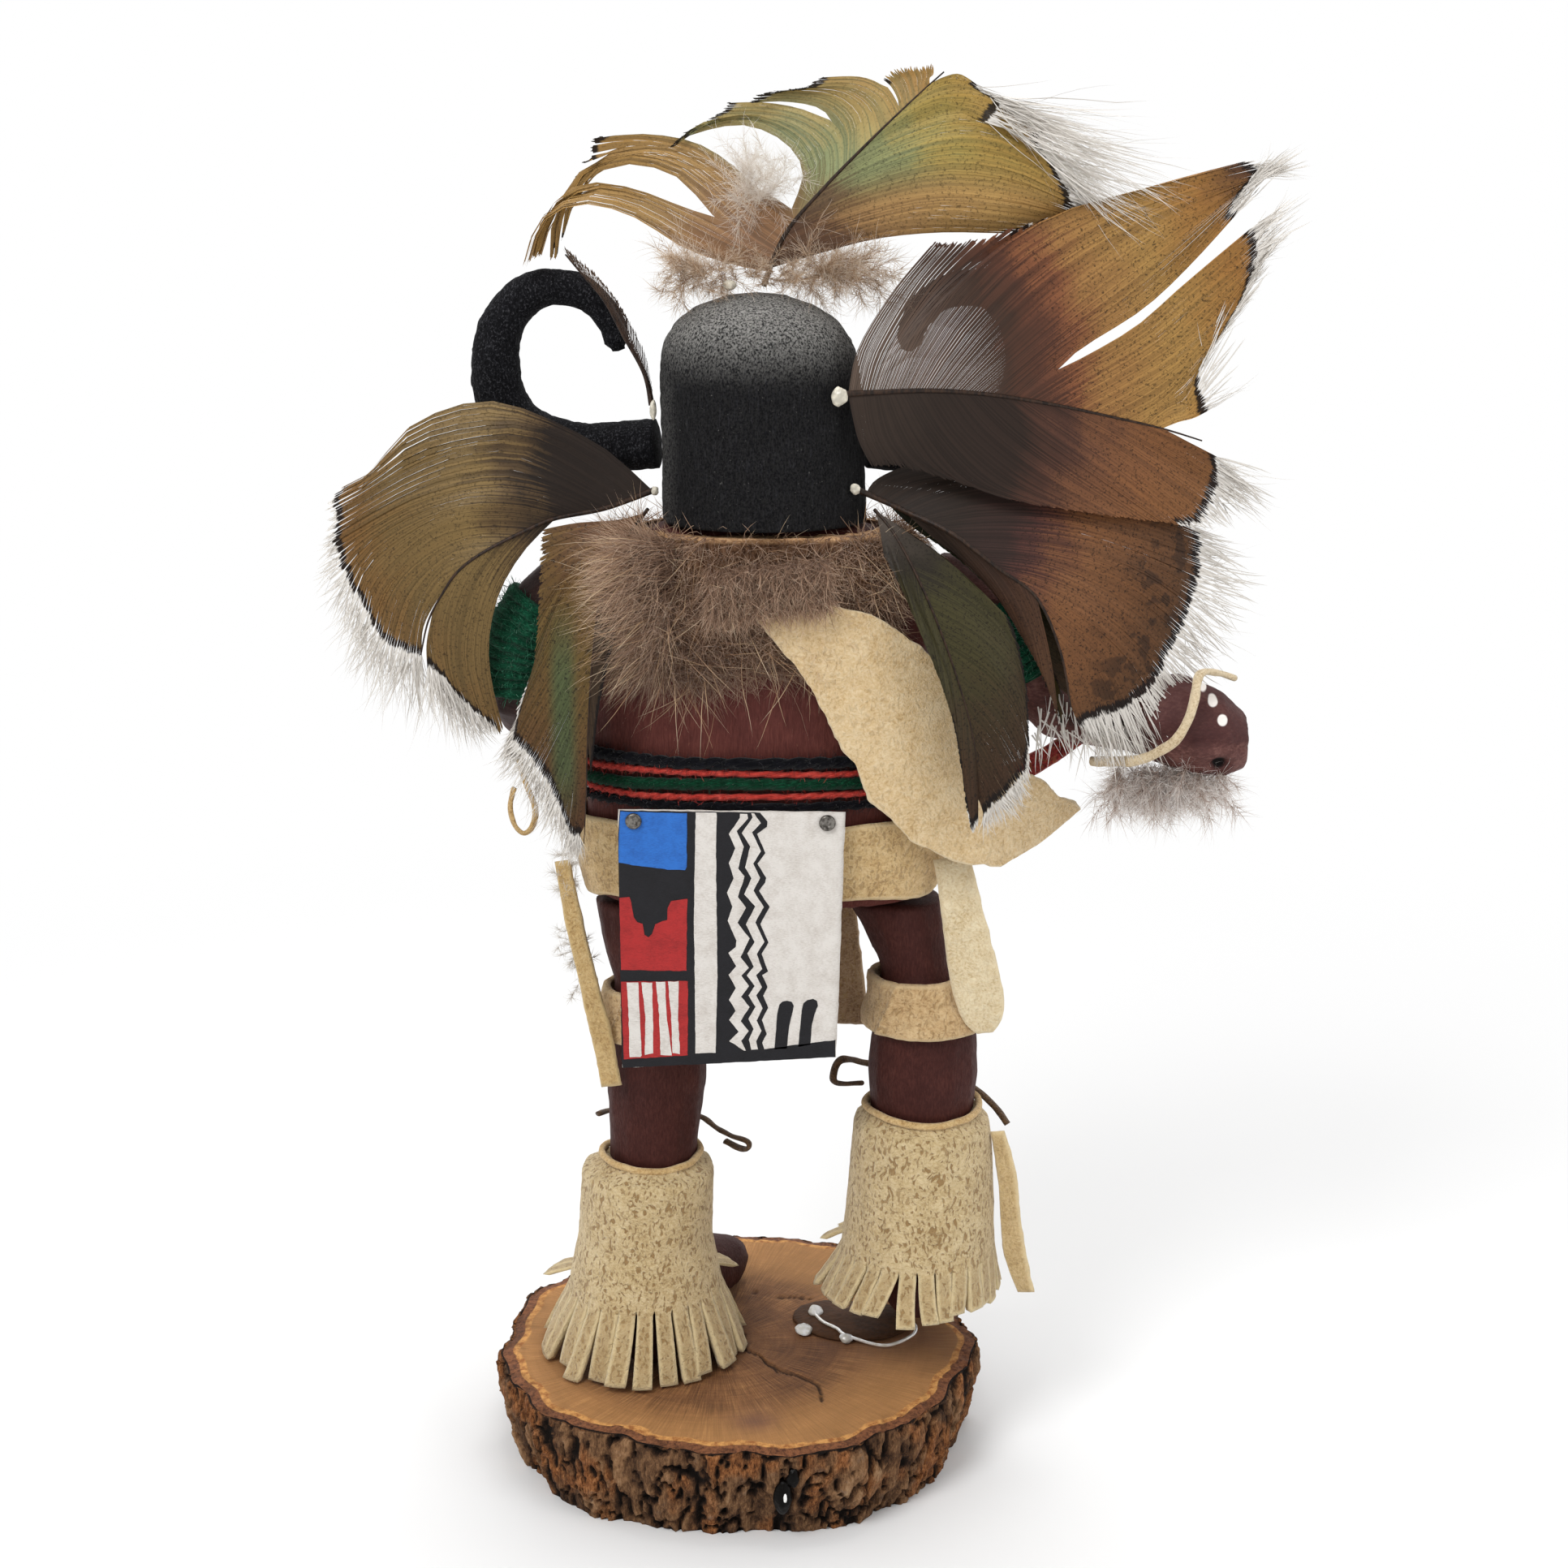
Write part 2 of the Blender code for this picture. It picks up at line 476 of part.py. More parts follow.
                ((-23.2, -21.4, 114.5), (-23.5, -21.4, 113.5), (-24, -21.4, 112.5), (-24, -21.4, 112)),
            ),
            (
                ((-16.5, -15, 158), (-15.6, -16.4, 156.8), (-15, -17.4, 155.8)),
                ((-20, -18.4, 151), (-19.2, -19.6, 147), (-18.4, -20.6, 143)),
                ((-21.5, -20.6, 141.5), (-21, -21.2, 138), (-20.6, -21.6, 134)),
                ((-22.5, -21.4, 129), (-22.3, -21.6, 126), (-22.1, -21.8, 123)),
            ),
        ),
        "splits": ((), ()),
    },
    "feather_left_upper": {
        "shaft": ((-12.9, -4.4, 177.5), (-14, -4.6, 182.5), (-17, -4.6, 188), (-20, -4.4, 193.5),
                  (-23, -4, 197), (-26, -3.6, 200.5)),
        "vanes": (
            (
                ((-13, -4.4, 178), (-13, -6.4, 179.5), (-13.2, -8.4, 181)),
                ((-14, -4.6, 182.5), (-13.8, -7.4, 184.5), (-14.4, -10.4, 187)),
                ((-17, -4.6, 188), (-16.4, -7.4, 190.5), (-17, -10, 193.4)),
                ((-20, -4.4, 193.5), (-19.8, -6.6, 196), (-20.4, -8.8, 198.4)),
                ((-25.4, -3.7, 199.8), (-26, -4.2, 201.4), (-27, -4.8, 203)),
            ),
            (
                ((-13, -4.4, 178), (-12.8, -2.8, 180), (-12.8, -1.4, 182)),
                ((-14, -4.6, 182.5), (-13.4, -2.6, 185.4), (-13.6, -0.8, 188)),
                ((-17, -4.6, 188), (-16, -3.2, 191), (-16, -2.4, 194)),
                ((-20, -4.4, 193.5), (-19.2, -3.4, 196), (-19.6, -2.8, 198.6)),
                ((-25.4, -3.7, 199.8), (-25.8, -3.4, 201.4), (-26.4, -3.2, 203)),
            ),
        ),
        "splits": ((), ()),
    },
}

COLOURS = {
    "wood": ((0.42, 0.2, 0.08), 0.8),
    "body paint": ((0.09, 0.022, 0.02), 0.75),
    "black paint": ((0.012, 0.012, 0.013), 0.85),
    "fur": ((0.3, 0.19, 0.12), 1.0),
    "leather": ((0.55, 0.4, 0.22), 0.9),
    "painted leather": ((0.8, 0.8, 0.76), 0.7),
    "black yarn": ((0.01, 0.01, 0.015), 0.95),
    "red yarn": ((0.5, 0.03, 0.02), 0.95),
    "green yarn": ((0.0, 0.13, 0.06), 0.95),
    "feather": ((0.2, 0.11, 0.03), 0.6),
    "down": ((0.5, 0.44, 0.38), 1.0),
    "glue": ((0.6, 0.5, 0.38), 0.3),
    "pin": ((0.4, 0.42, 0.42), 0.4),
}

doll = bpy.data.collections.new("Kachina doll")
helpers = bpy.data.collections.new("Helpers")


def clear_scene():
    for old in list(bpy.data.objects):
        bpy.data.objects.remove(old, do_unlink=True)
    bpy.context.scene.collection.children.link(doll)
    bpy.context.scene.collection.children.link(helpers)


def material(kind, name):
    """A material of its own for one sub-part, from its kind of finish."""
    colour, roughness = COLOURS[kind]
    made = bpy.data.materials.new(name)
    made.use_nodes = True
    shader = made.node_tree.nodes["Principled BSDF"]
    shader.inputs["Base Color"].default_value = (*colour, 1.0)
    shader.inputs["Roughness"].default_value = roughness
    shader.inputs["Metallic"].default_value = 1.0 if kind == "pin" else 0.0
    return made


def place(name, bm, kind, helper=False):
    """Ends a mesh given in millimetres: faces out, in metres, smooth, linked to its collection."""
    bmesh.ops.recalc_face_normals(bm, faces=bm.faces)
    bmesh.ops.scale(bm, vec=Vector((MM, MM, MM)), verts=bm.verts)
    mesh = bpy.data.meshes.new(name)
    bm.to_mesh(mesh)
    bm.free()
    mesh.shade_smooth()
    mesh.set_sharp_from_angle(angle=math.radians(45))
    mesh.materials.append(material(kind, name))
    piece = bpy.data.objects.new(name, mesh)
    (helpers if helper else doll).objects.link(piece)
    if helper:
        piece.hide_render = True
        piece.display_type = "WIRE"
    return piece


def boolean(piece, helper, operation):
    modifier = piece.modifiers.new(operation.title(), "BOOLEAN")
    modifier.operation = operation
    modifier.object = helper
    return piece


def between(stations, height):
    """The station values at a height, read straight between the two nearest."""
    ordered = sorted(stations)
    if height <= ordered[0][0]:
        return ordered[0][1:]
    for low, high in zip(ordered, ordered[1:]):
        if height <= high[0]:
            share = (height - low[0]) / (high[0] - low[0])
            return tuple(a + (b - a) * share for a, b in zip(low[1:], high[1:]))
    return ordered[-1][1:]


def bridge(bm, first, second):
    """Joins two closed rings of equal count with quads."""
    count = len(first)
    for i in range(count):
        j = (i + 1) % count
        bm.faces.new((first[i], first[j], second[j], second[i]))


def loft(name, rings, kind, closed=False, helper=False):
    """A body through rings of points, capped at both ends or closed on itself."""
    bm = bmesh.new()
    made = [[bm.verts.new(point) for point in ring] for ring in rings]
    for first, second in zip(made, made[1:]):
        bridge(bm, first, second)
    if closed:
        bridge(bm, made[-1], made[0])
    else:
        bm.faces.new(made[0])
        bm.faces.new(made[-1])
    return place(name, bm, kind, helper)


def smooth_path(points, steps):
    """Points on a Catmull-Rom curve through the given ones, each a tuple of any length."""
    padded = [points[0], *points, points[-1]]
    made = []
    for p0, p1, p2, p3 in zip(padded, padded[1:], padded[2:], padded[3:]):
        for step in range(steps):
            t = step / steps
            made.append(
                tuple(
                    0.5
                    * (
                        2 * b
                        + (c - a) * t
                        + (2 * a - 5 * b + 4 * c - d) * t**2
                        + (3 * b - a - 3 * c + d) * t**3
                    )
                    for a, b, c, d in zip(p0, p1, p2, p3)
                )
            )
    made.append(tuple(points[-1]))
    return made


def path_frames(points):
    """For each point of a path its tangent and two crossing directions, carried without twist."""
    path = [Vector(point[:3]) for point in points]
    tangents = []
    for i in range(len(path)):
        before = path[max(i - 1, 0)]
        after = path[min(i + 1, len(path) - 1)]
        tangents.append((after - before).normalized())
    side = tangents[0].orthogonal().normalized()
    frames = []
    for tangent in tangents:
        side = (side - tangent * side.dot(tangent)).normalized()
        frames.append((tangent, side, tangent.cross(side)))
    return path, frames


def round_limb(name, stations, sides, kind, steps=1, helper=False):
    """A round body along a path whose stations are x, y, z and radius."""
    points = smooth_path(stations, steps) if steps > 1 else stations
    path, frames = path_frames(points)
    rings = []
    for centre, (_, side, other), station in zip(path, frames, points):
        ring = []
        for k in range(sides):
            angle = 2 * math.pi * k / sides
            ring.append(centre + (side * math.cos(angle) + other * math.sin(angle)) * station[3])
        rings.append(ring)
    return loft(name, rings, kind, helper=helper)


def sheet(name, rows, thickness, kind, skipped=()):
    """A thin piece from rows of points, given its thickness by Solidify."""
    bm = bmesh.new()
    made = [[bm.verts.new(point) for point in row] for row in rows]
    for i, (first, second) in enumerate(zip(made, made[1:])):
        for j in range(len(first) - 1):
            if (i, j) not in skipped:
                bm.faces.new((first[j], first[j + 1], second[j + 1], second[j]))
    loose = [vert for vert in bm.verts if not vert.link_faces]
    bmesh.ops.delete(bm, geom=loose, context="VERTS")
    bmesh.ops.remove_doubles(bm, verts=bm.verts, dist=0.02)
    piece = place(name, bm, kind)
    solidify = piece.modifiers.new("Thickness", "SOLIDIFY")
    solidify.thickness = thickness * MM
    solidify.offset = 0.0
    return piece


def torso_point(angle, height, offset=0.0):
    """A point of the torso's rounded outline, pushed out by offset. Angle 0 is +X, 90 is +Y."""
    half_width, half_depth, across, depth = between(TORSO_STATIONS, height)
    a = half_width + offset
    b = half_depth + offset
    power = 2 / TORSO_SQUARENESS
    c, s = math.cos(angle), math.sin(angle)
    return (
        across + a * math.copysign(abs(c) ** power, c),
        depth + b * math.copysign(abs(s) ** power, s),
        height,
    )


def round_angles(count):
    return [2 * math.pi * k / count for k in range(count)]


def slice_radius(angle, height):
    twist = height / SLICE_HEIGHT
    return SLICE_RADIUS + sum(size * math.sin(n * angle + shift + twist) for n, size, shift in BARK_RIDGES)


def build_base_slice():
    rings = []
    for height, drawn_in in SLICE_LEVELS:
        ring = []
        for angle in round_angles(SLICE_SIDES):
            radius = slice_radius(angle, height) - drawn_in
            ring.append((radius * math.cos(angle), radius * math.sin(angle), height))
        rings.append(ring)
    loft("base_slice", rings, "wood")


def build_torso():
    rings = [
        [torso_point(angle, station[0]) for angle in round_angles(TORSO_SIDES)]
        for station in TORSO_STATIONS
    ]
    loft("torso", rings, "body paint")


def build_mask():
    rings = []
    for height, radius, across in MASK_STATIONS:
        rings.append(
            [
                (across + radius * math.cos(angle), MASK_DEPTH + radius * math.sin(angle), height)
                for angle in round_angles(MASK_SIDES)
            ]
        )
    mask = loft("mask", rings, "black paint")
    openings = (
        ("left eye slit", MASK_PLANE - EYE_SPACING / 2, EYE_HEIGHT, EYE_SLIT),
        ("right eye slit", MASK_PLANE + EYE_SPACING / 2, EYE_HEIGHT, EYE_SLIT),
        ("mouth slit", MASK_PLANE, MOUTH_HEIGHT, MOUTH_SLIT),
    )
    for name, across, height, (wide, tall) in openings:
        radius, centre = between(MASK_STATIONS, height)
        face = MASK_DEPTH + math.sqrt(radius**2 - (across - centre) ** 2)
        bm = bmesh.new()
        bmesh.ops.create_cube(bm, size=1.0)
        reach = FACE_CUT_DEPTH + FACE_CUTTER_OUTSIDE
        bmesh.ops.scale(bm, vec=Vector((wide, reach, tall)), verts=bm.verts)
        place_at = Vector((across, face - FACE_CUT_DEPTH + reach / 2, height))
        bmesh.ops.translate(bm, vec=place_at, verts=bm.verts)
        boolean(mask, place(name, bm, "black paint", helper=True), "DIFFERENCE")


def build_horns():
    stations = [(*point, radius) for point, radius in zip(HORN_PATH, HORN_RADII)]
    mirrored = [(2 * MASK_PLANE - x, y, z, radius) for x, y, z, radius in stations]
    round_limb("horn_left", stations, HORN_SIDES, "black paint", steps=2)
    round_limb("horn_right", mirrored, HORN_SIDES, "black paint", steps=2)


def foot(name, ends):
    """A foot lofted from heel to toe over its sole line, slightly square in section."""
    heel, toe = Vector(ends[0]), Vector(ends[1])
    across = Vector((toe.y - heel.y, heel.x - toe.x, 0)).normalized()
    rings = []
    for share, half_width, height in FOOT_STATIONS:
        sole = heel.lerp(toe, share)
        ring = []
        for angle in round_angles(12):
            c, s = math.cos(angle), math.sin(angle)
            wide = math.copysign(abs(c) ** 0.75, c) * half_width
            tall = (0.5 + 0.5 * math.copysign(abs(s) ** 0.6, s)) * height
            ring.append(sole + across * wide + Vector((0, 0, tall)))
        rings.append(ring)
    return loft(name, rings, "body paint", helper=True)


def standing_limb(name, stations, sides, kind):
    """A round upright limb whose rings stay level."""
    rings = [
        [(x + r * math.cos(a), y + r * math.sin(a), z) for a in round_angles(sides)]
        for x, y, z, r in stations
    ]
    return loft(name, rings, kind)


def build_legs():
    for name, stations, ends in (
        ("leg_left", LEG_LEFT, FOOT_LEFT),
        ("leg_right", LEG_RIGHT, FOOT_RIGHT),
    ):
        leg = standing_limb(name, stations, LEG_SIDES, "body paint")
        boolean(leg, foot(name + " foot", ends), "UNION")


def build_arms():
    round_limb("arm_left", ARM_LEFT, ARM_SIDES, "body paint")
    round_limb("arm_right", ARM_RIGHT, ARM_SIDES, "body paint")


def collar_low(angle):
    """Lowest height of the fur at an angle round the neck."""
    facing = math.sin(angle)
    reach = max(0.0, abs(facing) - 0.35) / 0.65
    reach = reach * reach * (3 - 2 * reach)
    if facing < 0:
        lowest = COLLAR_BACK + 5.0 * math.cos(angle + 0.3)
    else:
        lowest = COLLAR_FRONT
    return COLLAR_SHOULDER - (COLLAR_SHOULDER - lowest) * reach


def build_fur_collar():
    rings = []
    for angle in round_angles(TORSO_SIDES):
        low = collar_low(angle)
        middle = (low + COLLAR_SHOULDER) / 2 + 0.2
        steps = [max(low + 0.2 * i, height) for i, height in enumerate(COLLAR_STEPS)]
        rim = (
            MASK_PLANE + COLLAR_RIM[0] * math.cos(angle),
            MASK_DEPTH + COLLAR_RIM[1] * math.sin(angle),
            COLLAR_TOP,
        )
        rings.append(
            (
                *(torso_point(angle, height, COLLAR_CLEARANCE) for height in steps),
                torso_point(angle, COLLAR_TOP - 0.2, COLLAR_CLEARANCE),
                rim,
                torso_point(angle, COLLAR_SHOULDER + 1.2, 4.4),
                torso_point(angle, middle + 0.4, 3.0),
                torso_point(angle, low - 0.6, 1.8),
            )
        )
    loft("fur_collar", rings, "fur", closed=True)


def build_belt():
    kinds = {"black": "black yarn", "red": "red yarn", "green": "green yarn"}
    for name, (height, radius) in BELT_TURNS.items():
        rings = []
        for angle in round_angles(TORSO_SIDES):
            ring = []
            for turn in round_angles(BELT_SIDES):
                offset = GAP + radius * (1 + math.cos(turn))
                x, y, _ = torso_point(angle, height, offset)
                ring.append((x, y, height + radius * math.sin(turn)))
            rings.append(ring)
        loft(name, rings, kinds[name.split("_")[1]], closed=True)


def build_panel():
    corners = (PANEL_TOP_LEFT, PANEL_TOP_RIGHT, PANEL_LOW_RIGHT, PANEL_LOW_LEFT)
    outer = PANEL_DEPTH - PANEL_THICKNESS / 2
    inner = PANEL_DEPTH + PANEL_THICKNESS / 2
    rings = [[(x, depth, z) for x, z in corners] for depth in (outer, inner)]
    loft("sash_panel", rings, "painted leather")
    for name, (x, z) in PIN_PLACES.items():
        bm = bmesh.new()
        bmesh.ops.create_cone(
            bm, cap_ends=True, segments=8, radius1=PIN_RADIUS, radius2=PIN_CROWN, depth=PIN_HEIGHT
        )
        bmesh.ops.rotate(bm, matrix=Matrix.Rotation(math.pi / 2, 3, "X"), verts=bm.verts)
        bmesh.ops.translate(bm, vec=Vector((x, outer - GAP - PIN_HEIGHT / 2, z)), verts=bm.verts)
        place(name, bm, "pin")


def build_leather_sash():
    rows = []
    for edge, middle, far in SASH_ROWS:
        rows.append((edge, tuple((a + b) / 2 for a, b in zip(edge, middle)), middle, far))
    sheet("leather_sash", rows, LEATHER, "leather")


def hanging_strip(name, stations, along=(1, 0, 0), kind="leather"):
    """A flat strip whose stations are x, y, z and width, its width lying along one direction."""
    direction = Vector(along).normalized()
    rows = []
    for x, y, z, width in smooth_path(stations, 2):
        centre = Vector((x, y, z))
        rows.append([centre + direction * width * share for share in (-0.5, 0.0, 0.5)])
    sheet(name, rows, LEATHER, kind)


def build_strips():
    hanging_strip("hanging_strip_right", STRIP_RIGHT, (1, -0.2, 0.2))
    hanging_strip("hanging_strip_left", STRIP_LEFT, (1, -0.2, 0.2))
    hanging_strip("boot_tie", BOOT_TIE, (1, -0.35, 0.2))
    hanging_strip("red_strip", RED_STRIP, (-0.35, 0.2, 1), "red yarn")


def build_front_flap():
    rows = []
    for i, depth in enumerate(FLAP_DEPTHS):
        share = i / (len(FLAP_DEPTHS) - 1)
        height = FLAP_TOP + (FLAP_LOW - FLAP_TOP) * share
        left = FLAP_TOP_SPAN[0] + (FLAP_LOW_SPAN[0] - FLAP_TOP_SPAN[0]) * share
        right = FLAP_TOP_SPAN[1] + (FLAP_LOW_SPAN[1] - FLAP_TOP_SPAN[1]) * share
        row = []
        for j in range(5):
            across = j / 4
            bulge = 0.9 * math.sin(across * math.pi * 2.2 + share * 2.0) * share
            row.append((left + (right - left) * across, depth + bulge, height))
        rows.append(row)
    sheet("front_flap", rows, LEATHER, "leather")


def build_hip_wrap():
    rings = []
    for angle in round_angles(TORSO_SIDES):
        wave = 0.5 * math.sin(5 * angle + 0.7)
        rings.append(
            (
                torso_point(angle, WRAP_LOW + wave, GAP),
                torso_point(angle, 105.0, GAP),
                torso_point(angle, WRAP_TOP + wave * 0.5, GAP),
                torso_point(angle, WRAP_TOP + wave * 0.5, GAP + LEATHER + 0.2),
                torso_point(angle, 105.0, GAP + LEATHER + 0.3),
                torso_point(angle, WRAP_LOW + wave, GAP + LEATHER + 0.5),
            )
        )
    loft("hip_wrap", rings, "leather", closed=True)


def limb_at(stations, height):
    """Centre and radius of a standing limb at a height."""
    radius_first = [(z, x, y, radius) for x, y, z, radius in stations]
    return between(radius_first, height)


def build_knee_bands():
    for name, stations, (low, high) in (
        ("knee_band_left", LEG_LEFT, BAND_LEFT),
        ("knee_band_right", LEG_RIGHT, BAND_RIGHT),
    ):
        heights = sorted({low, high, *(z for _, _, z, _ in stations if low < z < high)})
        rings = []
        for angle in round_angles(LEG_SIDES):
            ring = []
            for offset, order in ((GAP + 0.25, heights), (GAP + BAND_THICKNESS + 0.25, heights[::-1])):
                for height in order:
                    x, y, radius = limb_at(stations, height)
                    reach = radius + offset
                    ring.append((x + reach * math.cos(angle), y + reach * math.sin(angle), height))
            rings.append(ring)
        loft(name, rings, "leather", closed=True)


def boot_angles():
    """Angles round an anklet: two for each fringe strip, with a narrow notch after each."""
    pitch = 2 * math.pi / FRINGE_STRIPS
    made = []
    for strip in range(FRINGE_STRIPS):
        start = strip * pitch
        made.extend(((start, True), (start + pitch * (1 - FRINGE_NOTCH), True)))
        made.append((start + pitch * (1 - FRINGE_NOTCH / 2), False))
    return made


def build_boot(name, stations, instep):
    rings = []
    for angle, strip in boot_angles():
        ahead = abs((math.degrees(angle) - 90 + 180) % 360 - 180) < INSTEP_HALF_ANGLE
        outer, inner = [], []
        for i, (height, radius, across, depth) in enumerate(stations):
            if ahead:
                height = max(height, instep - 1.2 * i * 0.1)
            if i > FRINGE_CUT_START and not strip:
                height = stations[FRINGE_CUT_START][0] - 0.4 * (i - FRINGE_CUT_START)
                if ahead:
                    height = max(height, instep + 0.5)
                radius = stations[FRINGE_CUT_START][1] + 0.1
            if ahead and height >= instep - 1.2:
                radius = min(radius, stations[FRINGE_CUT_START - 1][1] + 0.25 * i)
            thin = max(radius - BOOT_LEATHER, 1.0)
            c, s = math.cos(angle), math.sin(angle)
            outer.append((across + radius * c, depth + radius * s, height + 0.02 * i))
            inner.append((across + thin * c, depth + thin * s, height + 0.02 * i))
        rings.append(outer + [inner[-1], inner[FRINGE_CUT_START], inner[0]])
    loft(name, rings, "leather", closed=True)


def build_thongs():
    for name, (points, radius) in THONGS.items():
        stations = [(*point, radius) for point in points]
        round_limb(name, stations, THONG_SIDES, "leather", steps=2)


def build_arm_yarn():
    for name, arm, (high, low, reach) in (
        ("arm_yarn_left", ARM_LEFT, YARN_LEFT),
        ("arm_yarn_right", ARM_RIGHT, YARN_RIGHT),
    ):
        path, frames = path_frames(smooth_path(arm[:6], 6))
        wrapped = [pair for pair in zip(path, frames) if low <= pair[0].z <= high][::3]
        rings = []
        for angle in round_angles(ARM_SIDES):
            ring = []
            for radius, order in ((YARN_INNER, 1), (reach, -1)):
                for centre, (_, side, other) in wrapped[::order]:
                    ring.append(centre + (side * math.cos(angle) + other * math.sin(angle)) * radius)
            rings.append(ring)
        loft(name, rings, "green yarn", closed=True)


def tuft(name, centre, half, kind, lumps=0.0):
    """A soft rounded body, lumpy by a share of its size."""
    bm = bmesh.new()
    bmesh.ops.create_icosphere(bm, subdivisions=2, radius=1.0)
    for vert in bm.verts:
        lump = 1 + lumps * math.sin(5 * vert.co.x + 3 * vert.co.z)
        vert.co = Vector(centre) + Vector([c * h * lump for c, h in zip(vert.co, half)])
    place(name, bm, kind)


def build_tufts():
    tuft("crown_down", *CROWN_DOWN, "down", 0.06)
    tuft("hand_fluff", *HAND_FLUFF, "down", 0.08)
    centre, half = GLUE_PUDDLE
    rings = []
    for share, height in ((1.0, 0.0), (0.86, 0.7), (0.5, 1.0)):
        rings.append(
            [
                (
                    centre[0] + half[0] * share * math.cos(a),
                    centre[1] + half[1] * share * math.sin(a),
                    centre[2] + half[2] * height,
                )
                for a in round_angles(14)
            ]
        )
    loft("glue_puddle", rings, "glue")


def lengths_along(points):
    """Distance from the start at each point, as shares of the whole."""
    path = [Vector(point) for point in points]
    sums = [0.0]
    for a, b in zip(path, path[1:]):
        sums.append(sums[-1] + (b - a).length)
    return [value / sums[-1] for value in sums]


def point_at(points, shares, share):
    for i in range(len(points) - 1):
        if share <= shares[i + 1] or i == len(points) - 2:
            span = max(shares[i + 1] - shares[i], 1e-9)
            return Vector(points[i]).lerp(Vector(points[i + 1]), (share - shares[i]) / span)


def share_of_nearest(points, target):
    """Where on a path, as a share of its length, it comes nearest to a target."""
    shares = lengths_along(points)
    steps = [k / 400 for k in range(401)]
    return min(steps, key=lambda share: (point_at(points, shares, share) - Vector(target)).length)


def build_feather(name, feather):
    """One feather as one sheet: rows across the shaft, from tip of barb to tip of barb."""
    shaft = smooth_path(feather["shaft"], 3)
    shaft_shares = lengths_along(shaft)
    vanes = []
    for barbs, splits in zip(feather["vanes"], feather["splits"]):
        starts = [share_of_nearest(shaft, barb[0]) for barb in barbs]
        vanes.append((barbs, starts, dict(splits)))
    stations = sorted({0.0, *vanes[0][1], *vanes[1][1]})
    kept = [stations[0]]
    for station in stations[1:]:
        if station - kept[-1] > STATION_SPACING:
            kept.append(station)
    columns = FEATHER_COLUMNS
    rows = []
    for station in kept:
        root = point_at(shaft, shaft_shares, station)
        sides = [barb_points(vane, station, root, columns) for vane in vanes]
        rows.append(sides[0][::-1] + [root] + sides[1])
    skipped = set()
    for i, (first, second) in enumerate(zip(kept, kept[1:])):
        for side, (barbs, starts, splits) in enumerate(vanes):
            if first < starts[0] - ROOT_REACH <= second or first <= starts[-1] + ROOT_REACH < second:
                bare = range(1, columns)
                skipped.update((i, columns - 1 - c if side == 0 else columns + c) for c in bare)
            for after, open_from in splits.items():
                if first < starts[after + 1] - 1e-6 and second > starts[after] + 1e-6:
                    for column in range(columns):
                        if (column + 0.5) / columns > open_from:
                            j = columns - 1 - column if side == 0 else columns + column
                            skipped.add((i, j))
    sheet(name, rows, FEATHER_THICKNESS, "feather", skipped)


def barb_points(vane, station, root, columns):
    """The barb of a vane at a station of the shaft, or the bare quill beyond the vane's ends."""
    barbs, starts, _ = vane
    if station < starts[0] - ROOT_REACH or station > starts[-1] + ROOT_REACH:
        first = barbs[0] if station < starts[0] else barbs[-1]
        out = (Vector(first[1]) - Vector(first[0])).normalized() * QUILL_HALF_WIDTH
        return [root + out * k / columns for k in range(1, columns + 1)]
    for i in range(len(starts) - 1):
        if station <= starts[i + 1] or i == len(starts) - 2:
            span = max(starts[i + 1] - starts[i], 1e-6)
            mix = min(max((station - starts[i]) / span, 0.0), 1.0)
            break
    made = []
    for k in range(1, columns + 1):
        share = k / columns
        ends = []
        for barb in (barbs[i], barbs[i + 1]):
            ends.append(point_at(barb, lengths_along(barb), share) - Vector(barb[0]))
        made.append(root + ends[0].lerp(ends[1], mix))
    return made


def build_feathers():
    for name, feather in FEATHERS.items():
        build_feather(name, feather)


def main():
    clear_scene()
    build_base_slice()
    build_torso()
    build_mask()
    build_horns()
    build_legs()
    build_arms()
    build_fur_collar()
    build_belt()
    build_panel()
    build_leather_sash()
    build_strips()
    build_front_flap()
    build_hip_wrap()
    build_knee_bands()
    build_boot("boot_left", BOOT_LEFT, INSTEP_LEFT)
    build_boot("boot_right", BOOT_RIGHT, INSTEP_RIGHT)
    build_thongs()
    build_arm_yarn()
    build_tufts()
    build_feathers()


main()
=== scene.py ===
# The look of the kachina doll: fine surfaces, hair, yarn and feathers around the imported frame.
# Shapes are worked out in millimetres and become metres when a mesh is made.
# +Y is the way the figure faces, so the photograph's camera looks along +Y at its back.

import math

import bpy
import numpy as np
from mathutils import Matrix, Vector
from mathutils.geometry import tessellate_polygon


